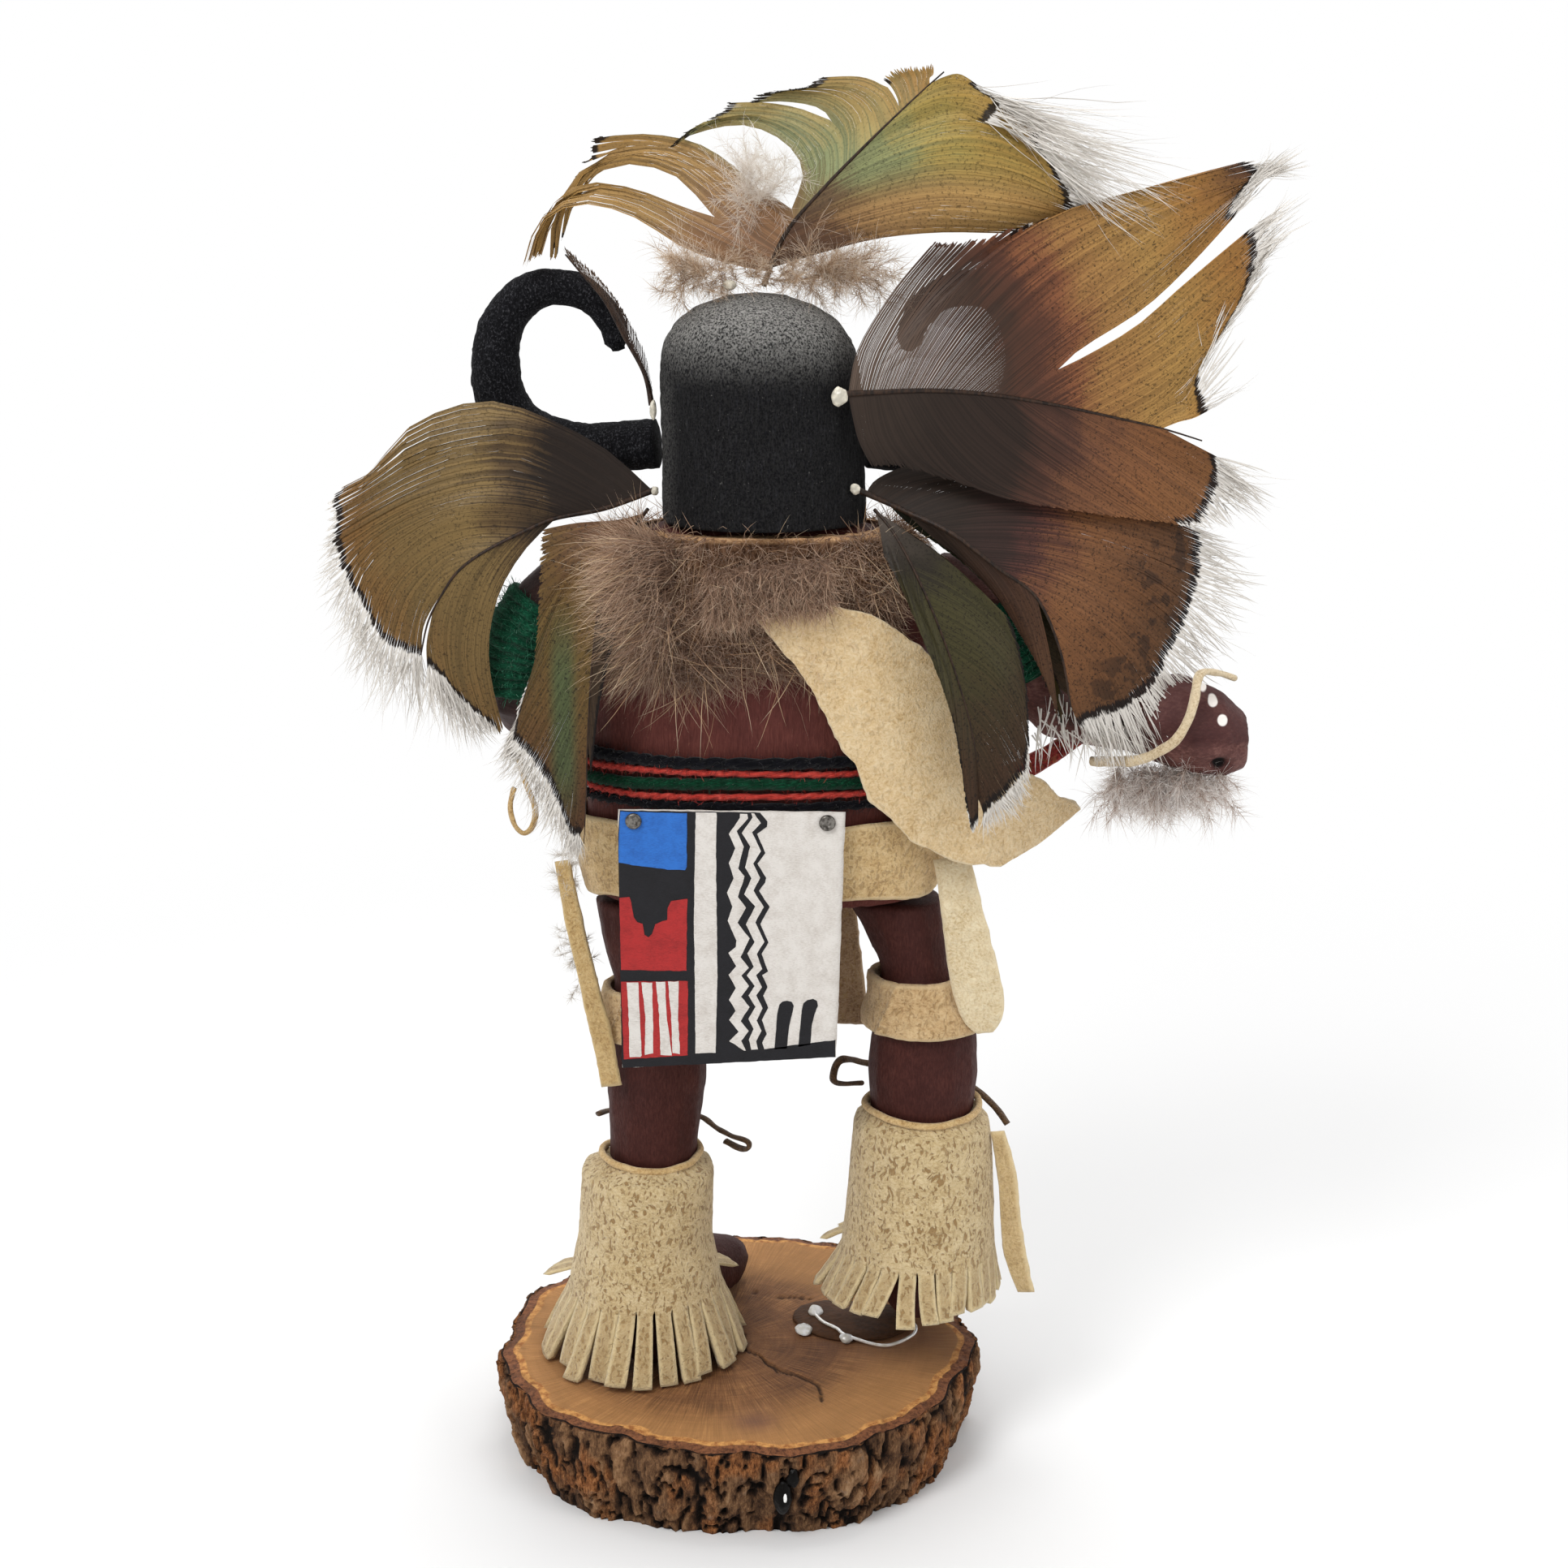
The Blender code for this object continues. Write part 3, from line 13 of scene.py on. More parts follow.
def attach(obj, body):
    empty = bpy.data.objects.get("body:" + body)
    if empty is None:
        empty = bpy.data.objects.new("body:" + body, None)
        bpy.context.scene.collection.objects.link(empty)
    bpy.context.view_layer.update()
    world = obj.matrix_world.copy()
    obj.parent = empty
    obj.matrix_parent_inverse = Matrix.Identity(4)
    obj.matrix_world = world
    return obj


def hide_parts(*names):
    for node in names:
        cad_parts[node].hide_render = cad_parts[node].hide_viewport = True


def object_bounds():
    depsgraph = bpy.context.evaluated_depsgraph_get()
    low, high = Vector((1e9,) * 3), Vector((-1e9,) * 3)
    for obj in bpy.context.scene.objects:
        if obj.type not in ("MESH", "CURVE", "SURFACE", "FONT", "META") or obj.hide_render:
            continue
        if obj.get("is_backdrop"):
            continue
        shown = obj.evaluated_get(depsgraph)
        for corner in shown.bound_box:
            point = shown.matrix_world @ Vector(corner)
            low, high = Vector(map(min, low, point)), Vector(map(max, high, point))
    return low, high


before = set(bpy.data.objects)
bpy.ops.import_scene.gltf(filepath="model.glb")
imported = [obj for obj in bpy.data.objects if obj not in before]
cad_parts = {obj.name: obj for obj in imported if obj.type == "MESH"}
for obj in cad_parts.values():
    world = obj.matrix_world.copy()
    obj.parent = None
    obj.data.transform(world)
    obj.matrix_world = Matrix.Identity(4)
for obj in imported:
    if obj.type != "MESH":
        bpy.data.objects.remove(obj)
CAD_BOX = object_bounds()
MM = 0.001

# Camera at the photograph's place: millimetres, degrees, and the lens for a 36 mm sensor
CAMERA_AT = (7.8, -380.0, 210.0)
CAMERA_PITCH = 14.0
CAMERA_LENS = 54.6

# Sizes repeated from the construction
GAP = 0.35
SLICE_RADIUS = 41.3
SLICE_HEIGHT = 16.0
SLICE_LEVELS = ((0.0, 3.0), (5.0, 1.5), (11.0, 0.3), (SLICE_HEIGHT, 0.6))
BARK_RIDGES = ((3, 0.7, 3.1), (5, 0.7, 0.4), (11, 0.5, 1.7), (23, 0.4, 0.9))
TORSO_STATIONS = (
    (97.0, 26.5, 12.0, 4.0, -1.0),
    (104.0, 28.5, 13.5, 4.0, -1.0),
    (112.0, 28.3, 14.0, 3.6, -1.6),
    (120.0, 27.5, 14.0, 3.5, -2.0),
    (134.0, 28.0, 14.0, 3.5, -2.0),
    (146.0, 28.0, 13.5, 3.5, -2.0),
    (152.0, 27.0, 12.8, 3.8, -2.0),
    (156.0, 23.5, 11.5, 4.2, -2.0),
    (158.8, 16.0, 9.5, 4.4, -2.0),
)
TORSO_SQUARENESS = 2.5
MASK_STATIONS = (
    (159.3, 16.1, 4.7),
    (170.0, 15.9, 4.5),
    (180.0, 15.7, 4.1),
    (186.0, 15.1, 3.8),
    (190.0, 12.9, 3.6),
    (192.8, 9.0, 3.5),
    (194.3, 4.6, 3.5),
)
MASK_DEPTH = -2.0
MASK_PLANE = 4.4
EYE_SLIT = (4.4, 2.2)
EYE_SPACING = 13.0
EYE_HEIGHT = 180.0
MOUTH_SLIT = (9.0, 2.4)
MOUTH_HEIGHT = 169.0
FACE_CUT_DEPTH = 0.9
HORN_PATH = (
    (-12.4, 0, 171),
    (-19, 1, 170.5),
    (-26.5, 2, 170.5),
    (-34.5, 3, 173.5),
    (-38, 3, 181),
    (-36.8, 3, 189.5),
    (-31.5, 3, 194.8),
    (-24.5, 3, 194.6),
    (-20, 3, 190.5),
    (-18.5, 3, 185.5),
)
HORN_RADII = (3.9, 3.9, 4.0, 4.1, 4.0, 3.5, 3.0, 2.6, 2.2, 1.8)
ARM_LEFT = (
    (-25.3, -2, 149.4),
    (-27.3, -2, 149.3),
    (-30.5, -2.5, 146.5),
    (-34.6, -2.5, 139),
    (-35.6, -1, 130),
    (-34.8, 4, 126.2),
)
ARM_RIGHT = (
    (32.3, -1.5, 149.4),
    (34.3, -1.5, 149.2),
    (37.5, -1.5, 147.5),
    (44, -0.5, 140),
    (49, 0, 131.5),
    (52.5, -0.8, 127.2),
)
BELT_TURNS = {
    "belt_black_upper": (122.95, 0.9),
    "belt_red_upper": (121.15, 0.7),
    "belt_green": (119.3, 0.95),
    "belt_red_lower": (117.45, 0.7),
    "belt_black_lower": (115.85, 0.7),
}
PANEL_CORNERS = ((-18.2, 115.9), (17.5, 115.5), (16.2, 74.7), (-18.3, 72.9))
PANEL_DEPTH = -19.0
PANEL_THICKNESS = 1.1
PIN_PLACES = {"panel_pin_left": (-15.8, 114.2), "panel_pin_right": (14.6, 113.9)}
LEATHER = 1.2
SASH_ROWS = (
    ((2.0, -19.6, 148.6), (7.0, -19.8, 148.9), (13.0, -19.5, 149.0)),
    ((6.4, -19.6, 142.5), (14.5, -20.0, 144.0), (22.6, -18.6, 146.0)),
    ((10.8, -19.6, 136.5), (20.5, -20.0, 138.0), (29.7, -17.6, 141.0)),
    ((17.1, -19.7, 125.6), (26.0, -19.6, 129.0), (36.0, -15.4, 133.0)),
    ((21.6, -19.7, 117.8), (30.5, -18.6, 122.0), (38.6, -14.0, 126.5)),
    ((25.5, -19.4, 113.0), (35.0, -17.6, 115.8), (42.8, -12.0, 120.6)),
    ((30.0, -19.0, 109.6), (38.5, -16.2, 111.0), (46.7, -9.4, 119.6)),
    ((36.7, -17.4, 106.7), (43.5, -13.6, 108.2), (51.5, -7.0, 115.8)),
    ((42.7, -14.4, 105.4), (49.0, -9.4, 108.0), (55.8, -4.6, 111.9)),
)
STRIPS = {
    "hanging_strip_right": (
        ((35.4, -11, 105.8, 4.6), (36.6, -11.6, 97, 5.0), (38.0, -11.8, 89, 5.2), (39.6, -11.8, 81, 5.4),
         (40.4, -11.6, 77.6, 4.6), (41.0, -11.4, 75.6, 2.0)),
        (1, -0.2, 0.2),
    ),
    "hanging_strip_left": (
        ((-27.6, -7.5, 101, 2.8), (-25.6, -9.0, 93, 2.7), (-23.6, -10.2, 84.4, 2.6),
         (-21.8, -11.2, 76, 2.6),
         (-20.4, -11.8, 68, 2.2)),
        (1, -0.2, 0.2),
    ),
    "boot_tie": (
        ((43.6, -7, 57.0, 2.4), (45.2, -8, 50.0, 3.2), (46.0, -8.5, 42.0, 3.6), (47.0, -8.8, 35.0, 3.8),
         (48.9, -8.8, 28.6, 2.8)),
        (1, -0.35, 0.2),
    ),
    "red_strip": (
        ((34.6, 6.5, 112.6, 3.0), (41.0, 7.0, 113.4, 3.4), (48.0, 6.8, 116.2, 3.6), (53.0, 6.0, 119.4, 3.4),
         (58.5, 4.4, 123.4, 2.4)),
        (-0.35, 0.2, 1),
    ),
}
WRAP_TOP = 111.2
WRAP_LOW = 99.2
BAND_THICKNESS = 1.3
BANDS = {
    "knee_band_left": (71.5, 82.5),
    "knee_band_right": (73.2, 84.8),
}
LEGS = {
    "knee_band_left": (
        (-14.5, -2.5, 82, 6.0), (-13.8, -2.8, 74, 8.0), (-13.6, -2.8, 66, 8.6), (-15.2, -2, 89, 7.2),
    ),
    "knee_band_right": (
        (29.8, -3, 85, 5.8), (31.2, -4, 75, 8.8), (31.1, -4.3, 67, 9.4), (28.0, -2, 91, 7.0),
    ),
}
BOOTS = {
    "boot_left": (
        (51.2, 9.8, -14.8, -2.5),
        (49.6, 11.3, -15.4, -2.5),
        (36.5, 11.6, -16.0, -2.5),
        (27.0, 13.4, -16.2, -2.5),
        (16.8, 17.4, -16.4, -2.5),
    ),
    "boot_right": (
        (60.6, 10.5, 31.0, -4.5),
        (58.8, 11.4, 31.0, -4.5),
        (44.0, 12.5, 31.0, -4.6),
        (35.0, 13.1, 30.5, -4.6),
        (25.4, 15.4, 28.6, -4.6),
    ),
}
BOOT_LEATHER = 1.3
INSTEP_HALF_ANGLE = 66
THONGS = {
    "leg_thong_left": (
        ((-24.2, 4, 55.6), (-20.5, 8, 55.2), (-13.6, 9, 54.6), (-7, 7.6, 53.8),
         (-2.4, 3, 52.6), (1.6, 0, 52.2), (1.2, 0.4, 50.6), (-2.4, 3.6, 50.8)),
        0.65,
    ),
    "leg_thong_right": (
        ((46.2, 2.4, 54.4), (43.6, 4.4, 57.4), (39, 8.2, 60), (31, 9, 61.4), (22.8, 7.2, 63.6),
         (17.8, 3, 66), (16.2, 1.8, 63.4), (17.2, 2.4, 61.8), (21.2, 5.4, 60.8)),
        0.75,
    ),
    "arm_thong_left": (
        ((-35.6, -3.2, 121.6), (-34.2, -4.8, 117), (-32.7, -5, 112.4), (-33.2, -5, 109.4),
         (-34.8, -5, 108.2), (-36.3, -5, 109.8), (-36.7, -5, 113), (-36.0, -5, 116)),
        0.55,
    ),
    "wrist_thong": (
        ((79.2, -10, 135.0), (76.2, -11.6, 136.2), (73.0, -14.4, 136.6), (71.6, -17.2, 132.6),
         (69.6, -18, 127.6), (65.4, -15.6, 123.6), (60.8, -10.6, 121.6), (57.6, -5.4, 120.4)),
        0.85,
    ),
}
FEATHERS = {
    "crown_feather": {
        "shaft": ((4.6, 0.4, 195.6), (8, -1, 203.5), (14, -2, 210.5), (21, -3, 217.5),
                  (28, -4, 224), (32, -5, 227.5)),
        "vanes": (
            (
                ((5.5, 0, 198.5), (12, -3, 200.5), (21.5, -5, 203), (31.5, -6, 204), (41.5, -6, 204)),
                ((6.5, 0, 200.5), (17, -4, 204.5), (29.5, -7, 207.5), (40.5, -8, 207), (50.5, -6, 205.5)),
                ((9, -1, 204.5), (19.5, -5, 209.5), (31.5, -8, 212.5), (42.5, -9, 211.5), (51.5, -8, 208)),
                ((14, -2, 210.5), (23, -5, 215), (33, -8, 218), (41.5, -9, 217), (49, -9, 212.5)),
                ((19, -3, 215), (28, -5, 219.5), (36.5, -7, 221), (46, -9, 217)),
                ((24, -3, 219.5), (30.5, -5, 223), (36.5, -6, 223.5), (40.5, -8, 222)),
                ((30, -4, 225.5), (32, -5, 226.5), (34.5, -5, 227), (37, -6, 225.5)),
            ),
            (
                ((5, 0, 198), (-0.5, 2, 199), (-8.5, 4, 201.5), (-17, 5, 206.5), (-25.5, 3, 208.5),
                 (-31.5, 0, 205.5), (-34, -2.5, 199)),
                ((5.6, 0, 199.6), (0, 2, 201.6), (-7, 4, 205), (-14.5, 6, 208.8), (-23.5, 6, 210.5),
                 (-29.5, 5, 207), (-32, 4, 200.5)),
                ((7, 0, 201.5), (2.5, 3, 204.5), (-3, 6, 209.5), (-9.5, 8, 214), (-17.5, 8, 215.5),
                 (-24.5, 7, 212.5), (-27.5, 6, 207), (-28.5, 6, 201)),
                ((9, -1, 204.5), (4.5, 3, 207.5), (-0.5, 7, 212.5), (-7, 9, 216.5), (-15, 9, 218),
                 (-22, 8, 217.5)),
                ((10, -1, 206), (12, 4, 212.5), (9, 8, 218), (2, 10, 221), (-6, 9, 219.5), (-9, 8, 217.5)),
                ((16, -2, 212), (15.5, 4, 217), (11, 8, 220.5), (4.5, 10, 222), (-1.5, 10, 222)),
                ((18, -2.5, 214.5), (18, 3, 220), (14.5, 6, 223.5), (9, 8, 224.6), (4, 8, 224.4)),
                ((24.5, -3, 220.5), (22.5, 1, 224), (18.5, 4, 226), (12.5, 6, 226)),
                ((27, -4, 223), (26.5, -3, 225), (25.8, -2, 226.6), (25, -2, 227.4)),
                ((30, -4, 225.5), (30, -4, 226.5), (30.5, -4, 227), (30.5, -4, 228)),
            ),
        ),
        "splits": (((4, 0.5),), ((1, 0.25), (3, 0.1), (5, 0.4), (7, 0.1))),
    },
    "feather_right_upper": {
        "shaft": ((16.2, -14.8, 180), (28.5, -14, 180.5), (38, -13.5, 180), (48, -13, 178.5),
                  (57.5, -12, 176.5), (66, -11, 174.5), (72.5, -10, 172.5)),
        "vanes": (
            (
                ((17.5, -14.6, 180), (19, -14, 187), (24, -12, 195), (30, -10, 202)),
                ((21.5, -14.4, 180.5), (24, -13, 187), (30.5, -11, 196.5), (37, -10, 203)),
                ((25, -14, 180.5), (29, -13, 189), (36.5, -12, 198.5), (47.5, -10, 206), (61.5, -7, 210),
                 (77, -4, 214)),
                ((30.5, -13.8, 180.5), (36.5, -13, 188.5), (45, -12, 197), (55, -10, 203.5),
                 (66.5, -7, 208.5), (80, -4, 212)),
                ((37, -13.5, 180.5), (44, -13, 186.5), (52.5, -12, 193.5), (62.5, -9, 200.5),
                 (71, -7, 206.5), (78.5, -5, 211.5)),
                ((43, -13.2, 180), (51.5, -12, 187), (62, -10, 193.5), (69.5, -7, 200), (76.5, -5, 207.5)),
                ((44.5, -13.2, 179.5), (52.5, -12, 184.5), (62, -11, 190), (69, -10, 196),
                 (79.5, -8, 204.5)),
                ((49.5, -13, 178.5), (56.5, -12, 182.5), (65.5, -11, 188), (72.5, -10, 194),
                 (79.5, -9, 200)),
                ((55, -12.2, 177), (61.5, -12, 180.5), (68, -11, 184.5), (74, -10, 190), (78.5, -9, 196)),
                ((60, -11.8, 176), (65.5, -11, 179), (70, -11, 183.5), (75.5, -10, 190)),
                ((63.5, -11.3, 175), (66.5, -11, 177.5), (69.5, -10, 179), (71.5, -10, 183)),
                ((66, -11, 174.5), (68.5, -11, 175.5), (71, -10, 176), (73, -10, 177)),
            ),
            (
                ((17.5, -14.6, 180), (19, -15, 173.5), (21, -15, 169.5)),
                ((21.5, -14.4, 180.5), (23, -15, 174), (26, -15, 169.5)),
                ((25.5, -14, 180.5), (29.5, -15, 173.5), (35.5, -15.4, 167), (43.5, -15.6, 164)),
                ((32, -13.8, 180.5), (37, -14.6, 174), (45.5, -15, 167.5), (56, -14.6, 162)),
                ((38, -13.5, 180), (45, -14, 174), (54.5, -14, 167.5), (65, -12.4, 160.5)),
                ((45, -13.2, 179), (53, -13, 174), (62, -12.4, 168), (72.5, -10, 160)),
                ((52, -12.8, 178), (61, -12, 173.5), (68.5, -10, 169), (75, -8, 165)),
                ((60, -11.8, 176), (66, -11, 173), (71, -10, 170.5), (75.5, -8, 167.5)),
                ((66, -11, 174.5), (69, -11, 173), (72, -10, 171.5), (75, -9, 170)),
            ),
        ),
        "splits": (((5, 0.1),), ()),
    },
    "feather_right_middle": {
        "shaft": ((19.4, -11.2, 165), (26.5, -13, 162), (33.5, -16.4, 159), (40.5, -18.6, 154),
                  (46.5, -19.4, 149.5), (50.5, -18.6, 141), (52.5, -17.6, 132)),
        "vanes": (
            (
                ((20.5, -11.5, 164.5), (22, -11, 166.5), (26, -11, 168.4), (31, -11, 169.4)),
                ((26.5, -13, 162), (34.5, -12, 165), (46, -11, 165.5), (60, -9.6, 163.5),
                 (70.5, -6.4, 159.5)),
                ((31, -15, 160.5), (41, -14.4, 161.4), (52, -13, 160.5), (62.5, -11, 157.5),
                 (73.5, -7, 153.5)),
                ((35, -16.6, 158), (44.5, -16, 157.5), (55, -14.6, 155.5), (64, -12.4, 151.5),
                 (71.5, -9, 146)),
                ((39, -18, 155), (47, -17.4, 154), (54.5, -16, 151), (62, -14, 146), (68.5, -11, 140)),
                ((42.5, -18.8, 152.5), (49.5, -18.4, 149.5), (56, -17, 145.5), (61.5, -15, 140.5),
                 (66, -13, 135)),
                ((46.5, -19.4, 149.5), (51.5, -18.6, 145), (56, -17.4, 141), (59.5, -16, 137),
                 (62, -15, 132)),
                ((49.5, -18.8, 143), (52.5, -18.2, 140), (55, -17.2, 136.5), (57, -16, 130.5)),
                ((52.2, -17.7, 133), (53, -17.4, 131), (53.5, -17.2, 130), (54, -17, 129)),
            ),
            (
                ((26.5, -13, 162), (31, -14.4, 158), (35.5, -15.8, 154.5), (39, -16.8, 151.5)),
                ((33.5, -16.4, 159), (38.5, -17.4, 153.5), (42, -17.8, 148.5), (45, -17.6, 142.5)),
                ((40.5, -18.6, 154), (44, -18.6, 149.5), (46.5, -18.4, 144), (48.5, -18, 136)),
                ((46.5, -19.4, 149.5), (48, -18.8, 144), (49.5, -18.2, 137.5), (50.5, -17.6, 130.5)),
            ),
        ),
        "splits": ((), ()),
    },
    "feather_right_under": {
        "shaft": ((22.6, -8.2, 163.5), (31.5, -8.6, 157.5), (41.5, -9.4, 147.5), (47.5, -9.6, 135.5),
                  (50.5, -9, 127)),
        "vanes": (
            (
                ((24, -8.3, 162.4), (29, -8, 161), (33, -8, 160)),
                ((31.5, -8.6, 157.5), (38, -8, 155), (43.5, -8, 152)),
                ((36.5, -9, 152.5), (45, -8.4, 149.5), (51.5, -8, 144.5)),
                ((41.5, -9.4, 147.5), (49, -9.2, 143), (55, -9, 139.5), (58, -9.2, 134.5)),
                ((45, -9.6, 141), (51.5, -9.8, 137), (57, -10, 131), (59.5, -10, 127.5)),
                ((48, -9.5, 133.5), (52, -9.8, 130), (54, -9.8, 126.8)),
            ),
            (
                ((24, -8.3, 162.4), (26, -8.6, 160), (28, -9, 158)),
                ((31.5, -8.6, 157.5), (34, -9.4, 154), (36, -9.8, 150.5)),
                ((36.5, -9, 152.5), (39, -10, 148), (41, -10.4, 144)),
                ((41.5, -9.4, 147.5), (43, -10.2, 143), (44.5, -10.6, 138)),
                ((45, -9.6, 141), (46, -10.4, 137), (47, -10.6, 132)),
                ((48, -9.5, 133.5), (48.5, -10, 130), (49, -9.8, 126.4)),
            ),
        ),
        "splits": ((), ()),
    },
    "feather_right_lower": {
        "shaft": ((21.8, -13, 162.2), (25, -17, 158.5), (29.5, -21.4, 150), (34, -24, 138.5),
                  (37, -25, 127.5), (37.5, -25, 117)),
        "vanes": (
            (
                ((22, -13.2, 162), (22.5, -16, 160), (23, -19, 156.5)),
                ((25, -17, 158.5), (25.2, -20, 155.5), (26.5, -23, 151), (28.5, -25, 145)),
                ((29.5, -21.4, 150), (30.8, -23.6, 143.5), (32.5, -25, 139), (33.5, -26, 132)),
                ((34, -24, 138.5), (35, -25, 132.5), (35.5, -26, 125), (36.5, -26, 115.5)),
            ),
            (
                ((22.2, -13.4, 161.8), (26.4, -15.8, 159.4), (31, -17.6, 156)),
                ((25, -17, 158.5), (32, -18, 155.5), (38, -19.4, 150.5), (42, -20, 146.5)),
                ((28.6, -20.5, 152), (36, -20.8, 148), (42.5, -21, 142), (45, -21, 136)),
                ((31.8, -22.7, 144.5), (39, -23, 140), (43.5, -22.6, 134), (45.5, -22, 128)),
                ((34, -24, 138.5), (40, -24.2, 132.5), (43.5, -23.6, 127), (45, -23, 123.5)),
                ((36.5, -24.8, 129.5), (39, -25, 125.5), (40.5, -25, 122.5), (42, -24.6, 120)),
                ((37.4, -25, 119.5), (38, -25, 118.5), (38.5, -25, 117), (38.5, -25, 116.5)),
            ),
        ),
        "splits": ((), ()),
    },
    "feather_left_middle": {
        "shaft": ((-12.6, -7, 164.5), (-20, -9.6, 162), (-28, -11, 160.5), (-33, -12, 158.5),
                  (-39, -13, 155.5), (-43, -13, 152.5), (-45.5, -13, 149), (-48, -12, 144.5), (-49.5,
                                                                                               -11, 139)),
        "vanes": (
            (
                ((-12.9, -7.2, 165), (-20, -8, 171.5), (-27, -9, 175.5), (-33, -9, 178), (-39, -8, 179),
                 (-45.5, -7, 177.5), (-51.5, -6, 174.5), (-57.5, -5, 167.5), (-61.5, -4, 165.5)),
                ((-14.5, -7.8, 163.8), (-23, -9, 170.5), (-32, -10, 174.5), (-41, -9, 174),
                 (-50, -8, 171.5),
                 (-57.5, -6, 166), (-63, -5, 163)),
                ((-17.5, -8.8, 163), (-25.5, -10, 168), (-33, -10, 171.5), (-42, -10, 171),
                 (-51, -8, 167.5),
                 (-58, -7, 163.5), (-62.5, -6, 161)),
                ((-21.5, -9.9, 162), (-29.5, -11, 165.5), (-38, -11, 166.5), (-48.5, -10, 164),
                 (-56.5, -8, 160), (-63, -6, 156)),
                ((-26, -10.7, 161), (-33, -12, 163), (-42, -12, 163), (-51, -10, 159.5), (-57.5, -8, 155),
                 (-61, -7, 150)),
                ((-30, -11.4, 159.8), (-37.5, -12, 160.5), (-45.5, -12, 159.5), (-52, -10, 155),
                 (-57, -9, 150), (-58.5, -8, 146)),
                ((-34.5, -12.3, 157.8), (-41.5, -12, 157.5), (-48, -11, 154), (-53, -10, 149),
                 (-56, -8, 141.5)),
                ((-39, -13, 155.5), (-45, -12, 153.5), (-49, -11, 149), (-51, -10, 144.5),
                 (-52.5, -9, 139.5)),
                ((-43.5, -13, 151.8), (-47, -12, 147), (-49, -11, 143), (-49.5, -10, 138.5)),
            ),
            (
                ((-28, -11, 160.5), (-33, -12, 155.5), (-37, -12, 149), (-39, -11.4, 141.5),
                 (-39, -10.4, 134.5), (-37.5, -9.2, 126.5)),
                ((-33, -12, 158.5), (-38, -12.4, 152.5), (-41, -12, 145), (-42, -11, 137),
                 (-40, -9.6, 128.5)),
                ((-39, -13, 155.5), (-42.5, -13, 149.5), (-44.5, -12, 142.5), (-44.5, -11, 136),
                 (-43.5, -10, 132)),
                ((-43.5, -13, 151.8), (-46, -13, 146.5), (-47, -12, 141.5), (-46, -11, 135.5)),
                ((-47, -12.4, 146.5), (-48, -12, 142.5), (-48.5, -11, 140), (-48.5, -11, 137.5)),
            ),
        ),
        "splits": ((), ()),
    },
    "feather_left_lower": {
        "shaft": ((-13.4, -10.5, 162), (-16.5, -15, 158), (-20, -18.4, 151), (-21.5, -20.6, 141.5),
                  (-22.5, -21.4, 129), (-23, -21.4, 118.5), (-23.5, -21.4, 111)),
        "vanes": (
            (
                ((-14, -11.2, 161.4), (-18.5, -12.4, 160.4), (-24.5, -13, 160), (-29.5, -13, 159)),
                ((-16.5, -15, 158), (-22, -16, 155.5), (-27, -16, 149), (-31, -15, 140)),
                ((-18.9, -17.3, 153.4), (-24, -18, 148.5), (-29.5, -17, 139), (-33.5, -15, 131)),
                ((-20.4, -18.9, 149), (-25, -19, 142.5), (-30.5, -18, 134.5), (-34.5, -16, 127)),
                ((-21.5, -20.6, 141.5), (-25.5, -20.4, 135), (-29, -19, 128.5), (-31.5, -17.6, 124)),
                ((-22, -21, 134), (-24.5, -21, 129), (-27, -20, 123.5), (-28.5, -19.4, 120)),
                ((-22.7, -21.4, 125), (-24.5, -21.4, 121.5), (-25, -21, 117), (-25.5, -20.8, 113)),
                ((-23.2, -21.4, 114.5), (-23.5, -21.4, 113.5), (-24, -21.4, 112.5), (-24, -21.4, 112)),
            ),
            (
                ((-16.5, -15, 158), (-15.6, -16.4, 156.8), (-15, -17.4, 155.8)),
                ((-20, -18.4, 151), (-19.2, -19.6, 147), (-18.4, -20.6, 143)),
                ((-21.5, -20.6, 141.5), (-21, -21.2, 138), (-20.6, -21.6, 134)),
                ((-22.5, -21.4, 129), (-22.3, -21.6, 126), (-22.1, -21.8, 123)),
            ),
        ),
        "splits": ((), ()),
    },
    "feather_left_upper": {
        "shaft": ((-12.9, -4.4, 177.5), (-14, -4.6, 182.5), (-17, -4.6, 188), (-20, -4.4, 193.5),
                  (-23, -4, 197), (-26, -3.6, 200.5)),
        "vanes": (
            (
                ((-13, -4.4, 178), (-13, -6.4, 179.5), (-13.2, -8.4, 181)),
                ((-14, -4.6, 182.5), (-13.8, -7.4, 184.5), (-14.4, -10.4, 187)),
                ((-17, -4.6, 188), (-16.4, -7.4, 190.5), (-17, -10, 193.4)),
                ((-20, -4.4, 193.5), (-19.8, -6.6, 196), (-20.4, -8.8, 198.4)),
                ((-25.4, -3.7, 199.8), (-26, -4.2, 201.4), (-27, -4.8, 203)),
            ),
            (
                ((-13, -4.4, 178), (-12.8, -2.8, 180), (-12.8, -1.4, 182)),
                ((-14, -4.6, 182.5), (-13.4, -2.6, 185.4), (-13.6, -0.8, 188)),
                ((-17, -4.6, 188), (-16, -3.2, 191), (-16, -2.4, 194)),
                ((-20, -4.4, 193.5), (-19.2, -3.4, 196), (-19.6, -2.8, 198.6)),
                ((-25.4, -3.7, 199.8), (-25.8, -3.4, 201.4), (-26.4, -3.2, 203)),
            ),
        ),
        "splits": ((), ()),
    },
}

# Numbers


def linear(colour):
    """A colour as three numbers from 0 to 255, as seen on a screen, made linear."""
    made = []
    for value in colour:
        share = value / 255
        made.append(share / 12.92 if share <= 0.04045 else ((share + 0.055) / 1.055) ** 2.4)
    return (*made, 1.0)


